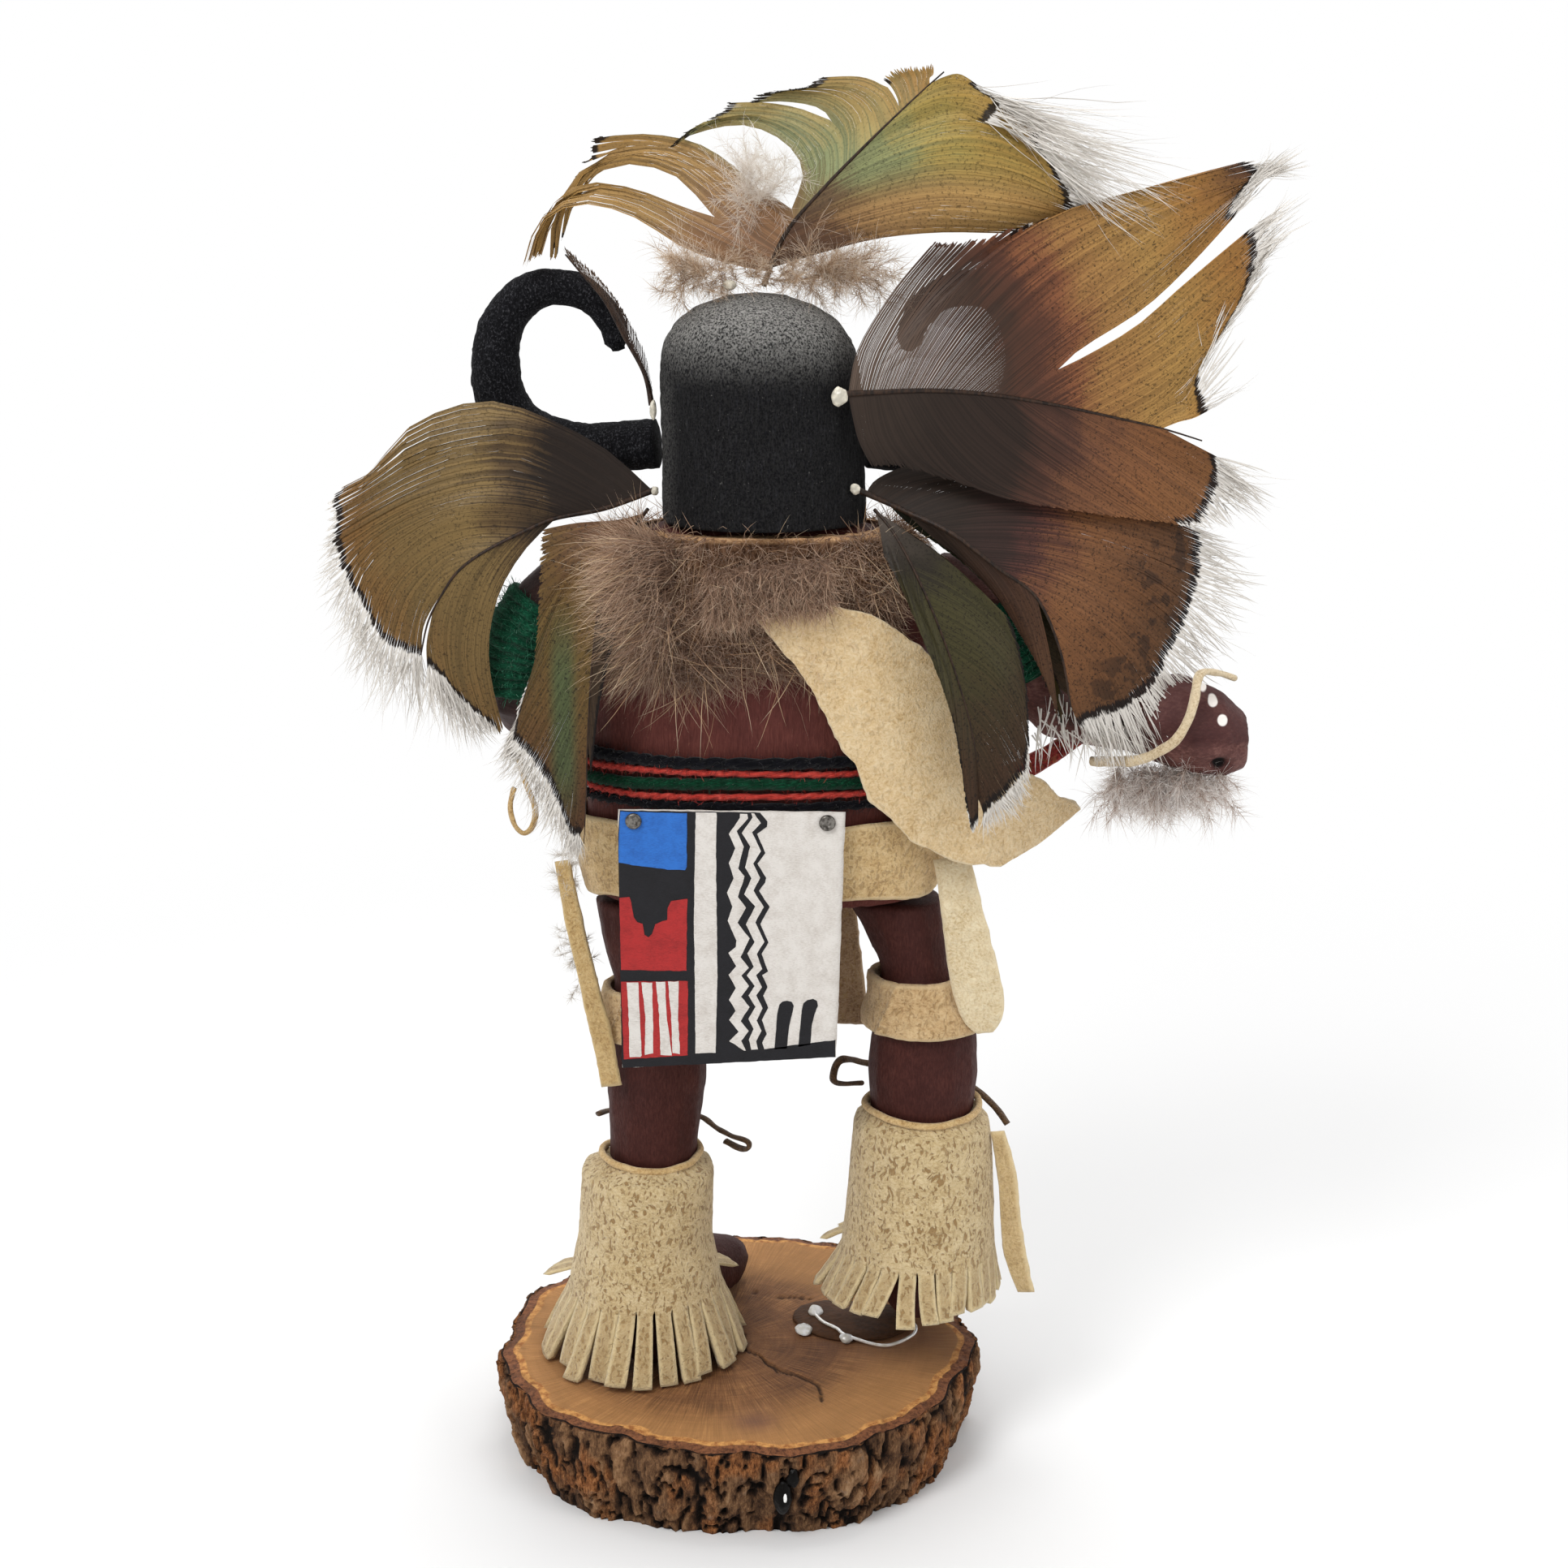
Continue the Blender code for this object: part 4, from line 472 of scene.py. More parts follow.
def noise(points, size, seed=0):
    """Smooth values from -1 to 1 at points in millimetres; size is the width of the lumps."""
    q = np.asarray(points, float) / size + 31.7 * (seed + 1)
    cell = np.floor(q).astype(np.int64)
    f = q - cell
    f = f * f * (3 - 2 * f)
    total = np.zeros(q.shape[:-1])
    for corner in np.ndindex(2, 2, 2):
        at = cell + np.array(corner)
        mixed = at[..., 0] * 374761393 + at[..., 1] * 668265263 + at[..., 2] * 1013904223 + seed * 144665
        mixed = (mixed ^ (mixed >> 13)) * 1274126177
        value = ((mixed ^ (mixed >> 16)) & 0xFFFF) / 0x7FFF - 1.0
        weight = np.ones(q.shape[:-1])
        for axis in range(3):
            weight = weight * (f[..., axis] if corner[axis] else 1 - f[..., axis])
        total += value * weight
    return total


def fractal(points, size, octaves=3, seed=0):
    """Noise at several sizes, each half of the one before and half as strong."""
    size = np.asarray(size, float)
    total = 0.0
    whole = 0.0
    for k in range(octaves):
        total = total + noise(points, size / 2**k, seed + 7 * k) / 2**k
        whole += 1 / 2**k
    return total / whole


def ease(low, high, value):
    """0 below low, 1 above high, smooth between."""
    t = np.clip((np.asarray(value, float) - low) / (high - low), 0, 1)
    return t * t * (3 - 2 * t)


def unit(vectors):
    vectors = np.asarray(vectors, float)
    return vectors / np.maximum(np.linalg.norm(vectors, axis=-1, keepdims=True), 1e-9)


def round_angles(count):
    return np.arange(count) * 2 * math.pi / count


def circle(angles, radius, height, across=0.0, depth=0.0):
    """Points of a level ring, whose radius and height may change round it."""
    x = across + radius * np.cos(angles)
    y = depth + radius * np.sin(angles)
    return np.stack(np.broadcast_arrays(x, y, height), axis=-1)


def drift(points, size, seed):
    """Noise of its own in each of the three directions."""
    return np.stack([noise(points, size, seed + axis) for axis in range(3)], axis=-1)


def weave(table, at):
    """Catmull-Rom between the rows of a table, at fractional row numbers."""
    table = np.asarray(table, float)
    last = len(table) - 1
    i = np.clip(np.floor(at).astype(int), 0, max(last - 1, 0))
    t = (np.asarray(at, float) - i).reshape(-1, *([1] * (table.ndim - 1)))
    a = table[np.clip(i - 1, 0, last)]
    b = table[np.clip(i, 0, last)]
    c = table[np.clip(i + 1, 0, last)]
    d = table[np.clip(i + 2, 0, last)]
    return 0.5 * (2 * b + (c - a) * t + (2 * a - 5 * b + 4 * c - d) * t**2 + (3 * b - a - 3 * c + d) * t**3)


def curve(points, count):
    """Evenly spaced points on a smooth curve through the given ones."""
    points = np.asarray(points, float)
    fine = weave(points, np.linspace(0, len(points) - 1, 24 * (len(points) - 1) + 1))
    steps = np.linalg.norm(np.diff(fine[:, :3], axis=0), axis=1)
    along = np.concatenate(([0], np.cumsum(steps)))
    wanted = np.linspace(0, along[-1], count)
    return np.stack([np.interp(wanted, along, fine[:, k]) for k in range(fine.shape[1])], axis=1)


def between(stations, height):
    """The station values at a height, read straight between the two nearest."""
    ordered = sorted(stations)
    heights = [row[0] for row in ordered]
    return [np.interp(height, heights, [row[k] for row in ordered]) for k in range(1, len(ordered[0]))]


def torso_point(angle, height, offset=0.0):
    """A point of the torso's rounded outline, pushed out by offset."""
    half_width, half_depth, across, depth = between(TORSO_STATIONS, height)
    power = 2 / TORSO_SQUARENESS
    c, s = np.cos(angle), np.sin(angle)
    x = across + (half_width + offset) * np.sign(c) * np.abs(c) ** power
    y = depth + (half_depth + offset) * np.sign(s) * np.abs(s) ** power
    return np.stack(np.broadcast_arrays(x, y, height), axis=-1)


def path_frames(path):
    """Two directions across a path, carried along it without twist."""
    tangents = unit(np.gradient(np.asarray(path, float), axis=0))
    side = np.cross(tangents[0], (0.0, 0.0, 1.0))
    if np.linalg.norm(side) < 0.1:
        side = np.cross(tangents[0], (0.0, 1.0, 0.0))
    sides = []
    for tangent in tangents:
        side = side - tangent * np.dot(side, tangent)
        side = side / np.linalg.norm(side)
        sides.append(side)
    sides = np.array(sides)
    return sides, np.cross(tangents, sides)


def rings_along(path, sides, flat=1.0):
    """Directions straight out of a path, all round each of its points."""
    side, other = path_frames(path)
    angles = round_angles(sides)[:, None]
    return side[:, None] * np.cos(angles) + other[:, None] * np.sin(angles) * flat


# Meshes


def make_mesh(name, verts, faces, materials, traits=None, layout=None, slots=None, smooth=True):
    """A mesh object from points in millimetres. traits are four numbers a point, layout is its own map."""
    mesh = bpy.data.meshes.new(name)
    faces = [group for group in faces if len(group)]
    mesh.from_pydata(np.asarray(verts, float) * MM, [],
                     [tuple(face) for group in faces for face in group.tolist()])
    loops = np.concatenate([group.ravel() for group in faces])
    if traits is not None:
        colours = mesh.attributes.new("traits", "FLOAT_COLOR", "POINT")
        colours.data.foreach_set("color", np.asarray(traits, np.float32).ravel())
    if layout is not None:
        uv = mesh.uv_layers.new(name="UVMap")
        uv.data.foreach_set("uv", np.asarray(layout, np.float32)[loops].ravel())
    for material in materials if isinstance(materials, (list, tuple)) else [materials]:
        mesh.materials.append(material)
    if slots is not None:
        mesh.polygons.foreach_set("material_index", np.asarray(slots, np.int32))
    mesh.polygons.foreach_set("use_smooth", np.full(len(mesh.polygons), smooth))
    mesh.update()
    piece = bpy.data.objects.new(name, mesh)
    bpy.context.scene.collection.objects.link(piece)
    return piece


def dress(piece, slot, *nodes):
    """Rides on the part's one body and stands for the named nodes."""
    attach(piece, "root")
    if nodes:
        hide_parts(*nodes)
    return piece


def grid_faces(rows, columns, wrap_rows=False, wrap_columns=False, start=0):
    """Quads of a grid of points, row by row."""
    i = np.arange(rows if wrap_rows else rows - 1)[:, None]
    j = np.arange(columns if wrap_columns else columns - 1)[None, :]
    ni = (i + 1) % rows
    nj = (j + 1) % columns
    quads = np.stack(np.broadcast_arrays(i * columns + j, i * columns + nj, ni * columns + nj,
                                         ni * columns + j), -1)
    return quads.reshape(-1, 4) + start

def end_fans(rows, around):
    """Triangles that close a wrapped grid with two more points, the first row's and then the last row's."""
    j = np.arange(around)
    after = (j + 1) % around
    low = (rows - 1) * around
    first = np.full(around, rows * around)
    return np.concatenate((np.stack((first, j, after), axis=1),
                           np.stack((first + 1, low + after, low + j), axis=1)))


def ribbons(paths, half, sides):
    """Tapered strands that end in a point: points (n, k, 3), half widths (n, k), directions across."""
    n, k = paths.shape[:2]
    reach = sides[:, :-1] * half[:, :-1, None]
    body = np.stack((paths[:, :-1] - reach, paths[:, :-1] + reach), axis=2).reshape(n, 2 * (k - 1), 3)
    verts = np.concatenate((body, paths[:, -1:]), axis=1).reshape(-1, 3)
    base = (np.arange(n) * (2 * k - 1))[:, None]
    quads = []
    for j in range(k - 2):
        quads.append(base + np.array([2 * j, 2 * j + 1, 2 * j + 3, 2 * j + 2]))
    quads = np.concatenate(quads) if quads else np.zeros((0, 4), int)
    tips = base + np.array([2 * k - 4, 2 * k - 3, 2 * k - 2])
    return verts, [quads, tips]


def on_ribbons(values):
    """Values (n, k, ...) at the points of strands, repeated for the vertices that ribbons makes."""
    values = np.asarray(values, float)
    n, k = values.shape[:2]
    body = np.repeat(values[:, :-1], 2, axis=1)
    return np.concatenate((body, values[:, -1:]), axis=1).reshape(n * (2 * k - 1), *values.shape[2:])


def grow_hair(roots, starts, lengths, width, steps, rng, fall, curl, curl_size):
    """Strands that leave their roots along a direction, then fall and curl. Returns paths, widths, sides."""
    n = len(roots)
    paths = np.zeros((n, steps, 3))
    paths[:, 0] = roots
    heading = unit(starts)
    step = (np.asarray(lengths) / (steps - 1))[:, None]
    phase = rng.uniform(0, 1000, (n, 1))
    for k in range(1, steps):
        here = paths[:, k - 1] + phase
        sway = drift(here, curl_size, 11)
        heading = unit(heading + curl * sway + np.array((0, 0, -fall)))
        paths[:, k] = paths[:, k - 1] + heading * step
    share = np.linspace(0, 1, steps)
    half = 0.5 * width * np.ones((n, 1)) * (1 - share**2)
    along = np.gradient(paths, axis=1)
    sides = unit(np.cross(along, unit(rng.normal(size=(n, 1, 3)) + np.array((0, -1.2, 0)))))
    return paths, half, sides


def hair_mesh(name, strands, material, rng):
    """One mesh of strands; traits hold the share along, two random shares and a one."""
    paths, half, sides = strands
    verts, faces = ribbons(paths, half, sides)
    n, steps = paths.shape[:2]
    share = np.broadcast_to(np.linspace(0, 1, steps), (n, steps))
    chance = np.broadcast_to(rng.uniform(0, 1, (n, 1)), (n, steps))
    other = np.broadcast_to(rng.uniform(0, 1, (n, 1)), (n, steps))
    traits = on_ribbons(np.stack((share, chance, other, np.ones((n, steps))), axis=-1))
    return make_mesh(name, verts, faces, material, traits=traits)


def scatter(node, count, rng, keep=None):
    """Random points on a node's faces with their normals, in millimetres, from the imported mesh."""
    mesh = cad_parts[node].data
    mesh.calc_loop_triangles()
    corners = np.zeros(len(mesh.loop_triangles) * 3, np.int32)
    mesh.loop_triangles.foreach_get("vertices", corners)
    points = np.zeros(len(mesh.vertices) * 3)
    mesh.vertices.foreach_get("co", points)
    a, b, c = (points.reshape(-1, 3)[corners.reshape(-1, 3)] / MM).transpose(1, 0, 2)
    cross = np.cross(b - a, c - a)
    area = np.linalg.norm(cross, axis=1) / 2
    if keep is not None:
        area = area * keep((a + b + c) / 3, unit(cross))
    chosen = rng.choice(len(area), size=count, p=area / area.sum())
    u, v = rng.uniform(0, 1, (2, count, 1))
    flip = u + v > 1
    u, v = np.where(flip, 1 - u, u), np.where(flip, 1 - v, v)
    found = a[chosen] + (b - a)[chosen] * u + (c - a)[chosen] * v
    return found, unit(cross)[chosen]


def tube(name, path, radius, sides, material, flat=1.0):
    """A closed tube along a path; radius is one number a point, flat squeezes it across."""
    path = np.asarray(path, float)
    radius = np.broadcast_to(radius, len(path))
    rings = path[:, None] + rings_along(path, sides, flat) * radius[:, None, None]
    verts = np.concatenate((rings.reshape(-1, 3), path[[0, -1]]))
    faces = [grid_faces(len(path), sides, wrap_columns=True)[:, ::-1], end_fans(len(path), sides)]
    along = np.concatenate(([0], np.cumsum(np.linalg.norm(np.diff(path, axis=0), axis=1))))
    layout = np.stack(np.broadcast_arrays(round_angles(sides) * radius.mean(), along[:, None]), -1)
    layout = np.concatenate((layout.reshape(-1, 2), np.zeros((2, 2))))
    return make_mesh(name, verts, faces, material, layout=layout)


def thick_sheet(name, rows, thickness, material, count, roughen=0.0, relief=0.0, seed=0, edge=0.6,
                waves=0.0):
    """A leather piece: a smooth grid through rows of points, with rounded and uneven edges."""
    rows = np.asarray(rows, float)
    across = weave(rows.transpose(1, 0, 2), np.linspace(0, rows.shape[1] - 1, count[1])).transpose(1, 0, 2)
    grid = weave(across, np.linspace(0, rows.shape[0] - 1, count[0]))
    i, j = np.meshgrid(np.linspace(0, 1, count[0]), np.linspace(0, 1, count[1]), indexing="ij")
    along_i = np.gradient(grid, axis=0)
    along_j = np.gradient(grid, axis=1)
    normal = unit(np.cross(along_i, along_j))
    steps_i = np.linalg.norm(along_i, axis=-1).mean(axis=1)
    steps_j = np.linalg.norm(along_j, axis=-1).mean(axis=1)
    length = steps_i.sum()
    width = (steps_j * (count[1] - 1))[:, None]
    wobble = noise(grid, 2.6, seed) + 0.6 * noise(grid, 0.9, seed + 3)
    scallop = np.abs(noise(grid, 4.2, seed + 9)) * 2 - 0.6
    pull_j = (roughen * wobble + waves * scallop) * (2 * j - 1) ** 8 * np.sign(2 * j - 1)
    pull_i = roughen * wobble * (2 * i - 1) ** 12 * np.sign(2 * i - 1)
    grid = grid + unit(along_j) * pull_j[..., None] + unit(along_i) * pull_i[..., None]
    from_edge = np.minimum(np.minimum(i, 1 - i) * length, np.minimum(j, 1 - j) * width)
    round_off = np.sqrt(np.clip(1 - (1 - np.clip(from_edge / edge, 0, 1)) ** 2, 0.04, 1))
    swell = relief * fractal(grid, 1.6, 3, seed + 5)
    half = 0.5 * thickness * round_off[..., None] + swell[..., None] * 0.5
    front = (grid + normal * half).reshape(-1, 3)
    back = (grid - normal * half).reshape(-1, 3)
    ni, nj = count
    front_faces = grid_faces(ni, nj)
    back_faces = grid_faces(ni, nj)[:, ::-1] + ni * nj
    border = np.concatenate((np.arange(nj), np.arange(1, ni) * nj + nj - 1,
                             (ni - 1) * nj + np.arange(nj - 2, -1, -1), np.arange(ni - 2, 0, -1) * nj))
    after = np.roll(border, -1)
    rim = np.stack((after, border, border + ni * nj, after + ni * nj), axis=1)
    layout = np.stack((j * width, i * length), axis=-1).reshape(-1, 2)
    layout = np.concatenate((layout, layout + (0, 50)))
    near = np.concatenate([from_edge.ravel()] * 2)
    traits = np.stack((near / 4, np.zeros_like(near), np.zeros_like(near), np.ones_like(near)), axis=1)
    return make_mesh(name, np.concatenate((front, back)), [front_faces, back_faces, rim], material,
                     traits=np.clip(traits, 0, 1), layout=layout)


def band_sheet(name, outer, thickness, material, relief, seed):
    """A leather band round something: outer is a grid (rings, around, 3), closed round and thick inwards."""
    outer = np.asarray(outer, float)
    rings, around = outer.shape[:2]
    centre = outer.mean(axis=1, keepdims=True)
    inward = unit((centre - outer) * (1, 1, 0))
    swell = relief * fractal(outer, 1.6, 3, seed)
    outer = outer - inward * swell[..., None]
    inner = outer + inward * thickness
    lip_low = (outer[-1] + inner[-1]) / 2 + (0, 0, -0.25 * thickness)
    lip_top = (outer[0] + inner[0]) / 2 + (0, 0, 0.25 * thickness)
    loop = np.concatenate((lip_top[None], outer, lip_low[None], inner[::-1]))
    faces = grid_faces(len(loop), around, wrap_rows=True, wrap_columns=True)
    along = np.arange(around) / around * np.linalg.norm(np.diff(outer[0], axis=0), axis=1).sum()
    down = np.concatenate(([0], np.cumsum(np.linalg.norm(np.diff(loop, axis=0), axis=-1).mean(axis=1))))
    layout = np.stack(np.broadcast_arrays(along[None], down[:, None]), -1).reshape(-1, 2)
    steps = np.arange(len(loop))
    near = np.minimum(np.abs(steps - 1), np.abs(steps - rings)) / 4
    near = np.repeat(np.where(steps <= rings, near, 1.0), around)
    traits = np.stack((np.clip(near, 0, 1), near * 0, near * 0, near * 0 + 1), axis=1)
    return make_mesh(name, loop.reshape(-1, 3), [faces[:, ::-1]], material, traits=traits, layout=layout)


def carve(node, voxel, material, relief, rounds=4, reshape=None):
    """A node's solid again with a fine even surface: remeshed, smoothed and given its relief."""
    copy = bpy.data.objects.new(node + "_surface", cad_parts[node].data.copy())
    bpy.context.scene.collection.objects.link(copy)
    remesh = copy.modifiers.new("Remesh", "REMESH")
    remesh.mode = "VOXEL"
    remesh.voxel_size = voxel * MM
    soften = copy.modifiers.new("Soften", "SMOOTH")
    soften.factor = 0.5
    soften.iterations = rounds
    depsgraph = bpy.context.evaluated_depsgraph_get()
    mesh = bpy.data.meshes.new_from_object(copy.evaluated_get(depsgraph), depsgraph=depsgraph)
    copy.modifiers.clear()
    copy.data = mesh
    mesh.materials.clear()
    mesh.materials.append(material)
    count = len(mesh.vertices)
    points = np.zeros(count * 3)
    normals = np.zeros(count * 3)
    mesh.vertices.foreach_get("co", points)
    mesh.vertices.foreach_get("normal", normals)
    points = points.reshape(-1, 3) / MM
    normals = normals.reshape(-1, 3)
    if reshape:
        points = reshape(points)
    points = points + normals * relief(points)[:, None]
    mesh.vertices.foreach_set("co", (points * MM).ravel())
    mesh.polygons.foreach_set("use_smooth", np.full(len(mesh.polygons), True))
    mesh.update()
    return dress(copy, node, node)


# Materials


class Shader:
    """One material built from nodes. Positions are millimetres in the object's own frame."""

    def __init__(self, name, see_through=0.0):
        self.material = bpy.data.materials.new(name)
        self.material.use_nodes = True
        self.tree = self.material.node_tree
        self.tree.nodes.clear()
        output = self.tree.nodes.new("ShaderNodeOutputMaterial")
        self.surface = self.tree.nodes.new("ShaderNodeBsdfPrincipled")
        self.surface.inputs["Specular IOR Level"].default_value = 0.35
        shown = self.surface.outputs[0]
        if see_through:
            self.thin = self.tree.nodes.new("ShaderNodeBsdfTranslucent")
            shown = self.add("ShaderNodeMixShader", {0: see_through, 1: shown, 2: self.thin.outputs[0]})
        self.join(shown, output.inputs[0])
        coordinates = self.tree.nodes.new("ShaderNodeTexCoord")
        self.place = self.scaled(coordinates.outputs["Object"], 1 / MM)
        self.layout = coordinates.outputs["UV"]
        self._traits = None

    def add(self, kind, inputs, output=0, **settings):
        node = self.tree.nodes.new(kind)
        for key, value in settings.items():
            setattr(node, key, value)
        for key, value in inputs.items():
            self.join(value, node.inputs[key])
        return node.outputs[output]

    def join(self, value, socket):
        if isinstance(value, bpy.types.NodeSocket):
            self.tree.links.new(value, socket)
        else:
            socket.default_value = value

    def trait(self, index):
        """One of the four numbers that a mesh carries at each point."""
        if self._traits is None:
            found = self.tree.nodes.new("ShaderNodeAttribute")
            found.attribute_name = "traits"
            parts = self.add("ShaderNodeSeparateColor", {0: found.outputs["Color"]})
            self._traits = [*parts.node.outputs, found.outputs["Alpha"]]
        return self._traits[index]

    def part(self, vector, index):
        return self.add("ShaderNodeSeparateXYZ", {0: vector}, output=index)

    def vector(self, operation, first, second, output=0):
        return self.add("ShaderNodeVectorMath", {0: first, 1: second}, output, operation=operation)

    def scaled(self, vector, share):
        return self.add("ShaderNodeVectorMath", {0: vector, 3: share}, operation="SCALE")

    def math(self, operation, *values, clamp=False):
        return self.add("ShaderNodeMath", dict(enumerate(values)), operation=operation, use_clamp=clamp)

    def times(self, first, second, clamp=False):
        return self.math("MULTIPLY", first, second, clamp=clamp)

    def weigh(self, first, share, second, other_share):
        """The sum of two values, each with its share."""
        return self.math("MULTIPLY_ADD", first, share, self.times(second, other_share))

    def around_middle(self, value, size):
        """A value from 0 to 1 as one from minus to plus half a size."""
        return self.times(self.math("SUBTRACT", value, 0.5), size)

    def mix(self, share, first, second, way="MIX"):
        """Blends two colours, each a socket or three numbers from 0 to 255."""
        node = self.tree.nodes.new("ShaderNodeMix")
        node.data_type = "RGBA"
        node.blend_type = way
        self.join(share, node.inputs[0])
        for value, socket in ((first, node.inputs[6]), (second, node.inputs[7])):
            self.join(value if isinstance(value, bpy.types.NodeSocket) else linear(value), socket)
        return node.outputs[2]

    def ramp(self, value, stops):
        node = self.tree.nodes.new("ShaderNodeValToRGB")
        elements = node.color_ramp.elements
        while len(elements) < len(stops):
            elements.new(0.5)
        for element, (place, colour) in zip(elements, stops):
            element.position = place
        for element, (place, colour) in zip(elements, stops):
            element.color = linear(colour)
        self.join(value, node.inputs[0])
        return node.outputs[0]

    def band(self, value, low, high, start=0.0, end=1.0):
        """Start below low, end above high, smooth between."""
        sockets = {0: value, 1: low, 2: high, 3: start, 4: end}
        return self.add("ShaderNodeMapRange", sockets, interpolation_type="SMOOTHSTEP")

    def stretched(self, size, vector=None, warp=0.0):
        """Positions divided by a feature size for each axis, so that textures there have scale 1."""
        sizes = (size,) * 3 if isinstance(size, (int, float)) else size
        vector = self.place if vector is None else vector
        if warp:
            shift = self.add("ShaderNodeTexNoise", {"Vector": vector, "Scale": 0.35}, output=1)
            centred = self.vector("SUBTRACT", shift, (0.5, 0.5, 0.5))
            vector = self.vector("ADD", vector, self.scaled(centred, warp))
        return self.vector("MULTIPLY", vector, tuple(1 / s for s in sizes))

    def noise(self, size, detail=2.0, rough=0.5, vector=None, warp=0.0):
        placed = self.stretched(size, vector, warp)
        return self.add("ShaderNodeTexNoise",
                        {"Vector": placed, "Scale": 1.0, "Detail": detail, "Roughness": rough})

    def layout_mm(self):
        """The mesh's own map, stretched so that fibres run along it."""
        return self.add("ShaderNodeMapping", {0: self.layout, 3: (1.0, 0.16, 1.0)})

    def bump(self, height, depth, strength=1.0):
        """A normal for relief of a depth in millimetres."""
        return self.add("ShaderNodeBump", {"Height": height, "Distance": depth * MM, "Strength": strength})

    def finish(self, colour, roughness, normal=None, **more):
        self.join(colour, self.surface.inputs["Base Color"])
        self.join(roughness, self.surface.inputs["Roughness"])
        if normal is not None:
            self.join(normal, self.surface.inputs["Normal"])
        for name, value in more.items():
            self.join(value, self.surface.inputs[name.replace("_", " ")])
        return self.material


def suede(name, dark, mid, light, specks=0.0, rim=None, strips=None):
    """Brushed split leather: fine fibres, soft mottling, dark dashes where it is speckled, and a lighter cut
    edge, partly the leather's paler edge and partly a painted highlight.
    """
    s = Shader(name)
    cloud = s.noise((3.2, 3.2, 3.2), 3.0, 0.6)
    fibre = s.noise((0.5, 0.42, 0.42), 4.0, 0.75, warp=2.0)
    fine = s.add("ShaderNodeTexVoronoi", {"Vector": s.stretched(0.3, warp=0.6), "Scale": 1.0})
    colour = s.ramp(s.weigh(fibre, 0.7, cloud, 0.3), ((0.36, dark), (0.46, mid), (0.6, light)))
    grain = s.math("MULTIPLY_ADD", fine, -0.35, fibre)
    if specks:
        dash = s.noise((0.55, 0.55, 1.15), 1.0, 0.4, warp=2.2)
        group = s.band(s.noise(2.2), 0.25, 0.58, 0.5, 1.0)
        share = s.times(s.times(s.band(dash, 0.56, 0.64), group), specks, clamp=True)
        colour = s.mix(share, colour, (146, 116, 74))
        grain = s.math("MULTIPLY_ADD", share, -0.6, grain)
    if strips:
        colour = s.mix(s.times(s.trait(1), 0.45), colour, strips)
    # The lighter cut edge is partly the leather's paler edge colour and partly a painted highlight
    if rim:
        colour = s.mix(s.band(s.trait(0), 0.02, 0.22, 0.85, 0.0), colour, rim)
    normal = s.bump(grain, 0.35, 0.8)
    return s.finish(colour, 0.92, normal, Sheen_Weight=0.25, Sheen_Roughness=0.5, Specular_IOR_Level=0.15)


def brushed_paint(name, dark, mid, light, worn, strokes=(0.25, 0.25, 2.2), wear=0.12):
    """Thin matte paint on carved wood: fine strokes, a little wood at the worn places."""
    s = Shader(name)
    stroke = s.noise(strokes, 4.0, 0.65, warp=0.6)
    cloud = s.noise(7.0, 3.0, 0.55)
    colour = s.ramp(s.weigh(stroke, 0.6, cloud, 0.4), ((0.28, dark), (0.5, mid), (0.72, light)))
    nick = s.band(s.noise((0.3, 0.3, 0.9), 3.0, 0.7, warp=1.0), 0.66, 0.74)
    colour = s.mix(s.times(nick, wear), colour, worn)
    relief = s.math("MULTIPLY_ADD", s.noise((0.5, 0.5, 0.6)), 0.5, stroke)
    rough = s.band(stroke, 0.3, 0.7, 0.74, 0.56)
    return s.finish(colour, rough, s.bump(relief, 0.22, 0.7), Specular_IOR_Level=0.15)


def yarn_material(name, dark, mid, light):
    """Wool, whose layout runs round and along a ply."""
    s = Shader(name)
    fibre = s.noise((0.09, 0.09, 0.09), 3.0, 0.6, vector=s.layout_mm())
    colour = s.ramp(s.weigh(fibre, 0.8, s.noise(1.6), 0.2), ((0.33, dark), (0.5, mid), (0.66, light)))
    return s.finish(colour, 0.95, s.bump(fibre, 0.12, 0.9), Sheen_Weight=0.08, Specular_IOR_Level=0.05)


def hair_material(name, stops, spread, sheen=0.1, see_through=0.25, rough=0.6, shaded=None):
    """Hair or down: coloured from root to tip, each strand a little different."""
    s = Shader(name, see_through)
    off = s.math("SUBTRACT", s.trait(1), 0.5)
    colour = s.ramp(s.math("MULTIPLY_ADD", off, spread, s.trait(0), clamp=True), stops)
    if shaded:
        tint, low, high, most = shaded
        colour = s.mix(s.band(s.part(s.place, 2), low, high, most, 0.0), colour, tint)
    s.join(colour, s.thin.inputs[0])
    return s.finish(colour, rough, Sheen_Weight=sheen, Specular_IOR_Level=0.25)


FEATHER_EDGE = (20, 12, 9)
FEATHER_EDGE_SHARE = 0.96
FEATHER_WHITE = (212, 207, 200)
FEATHER_GLOW = 0.1


def window(s, value, low_from, low_to, high_from, high_to, most=1.0):
    """1 between two soft limits, 0 outside them."""
    return s.times(s.band(value, low_from, low_to), s.band(value, high_from, high_to, most, 0.0))


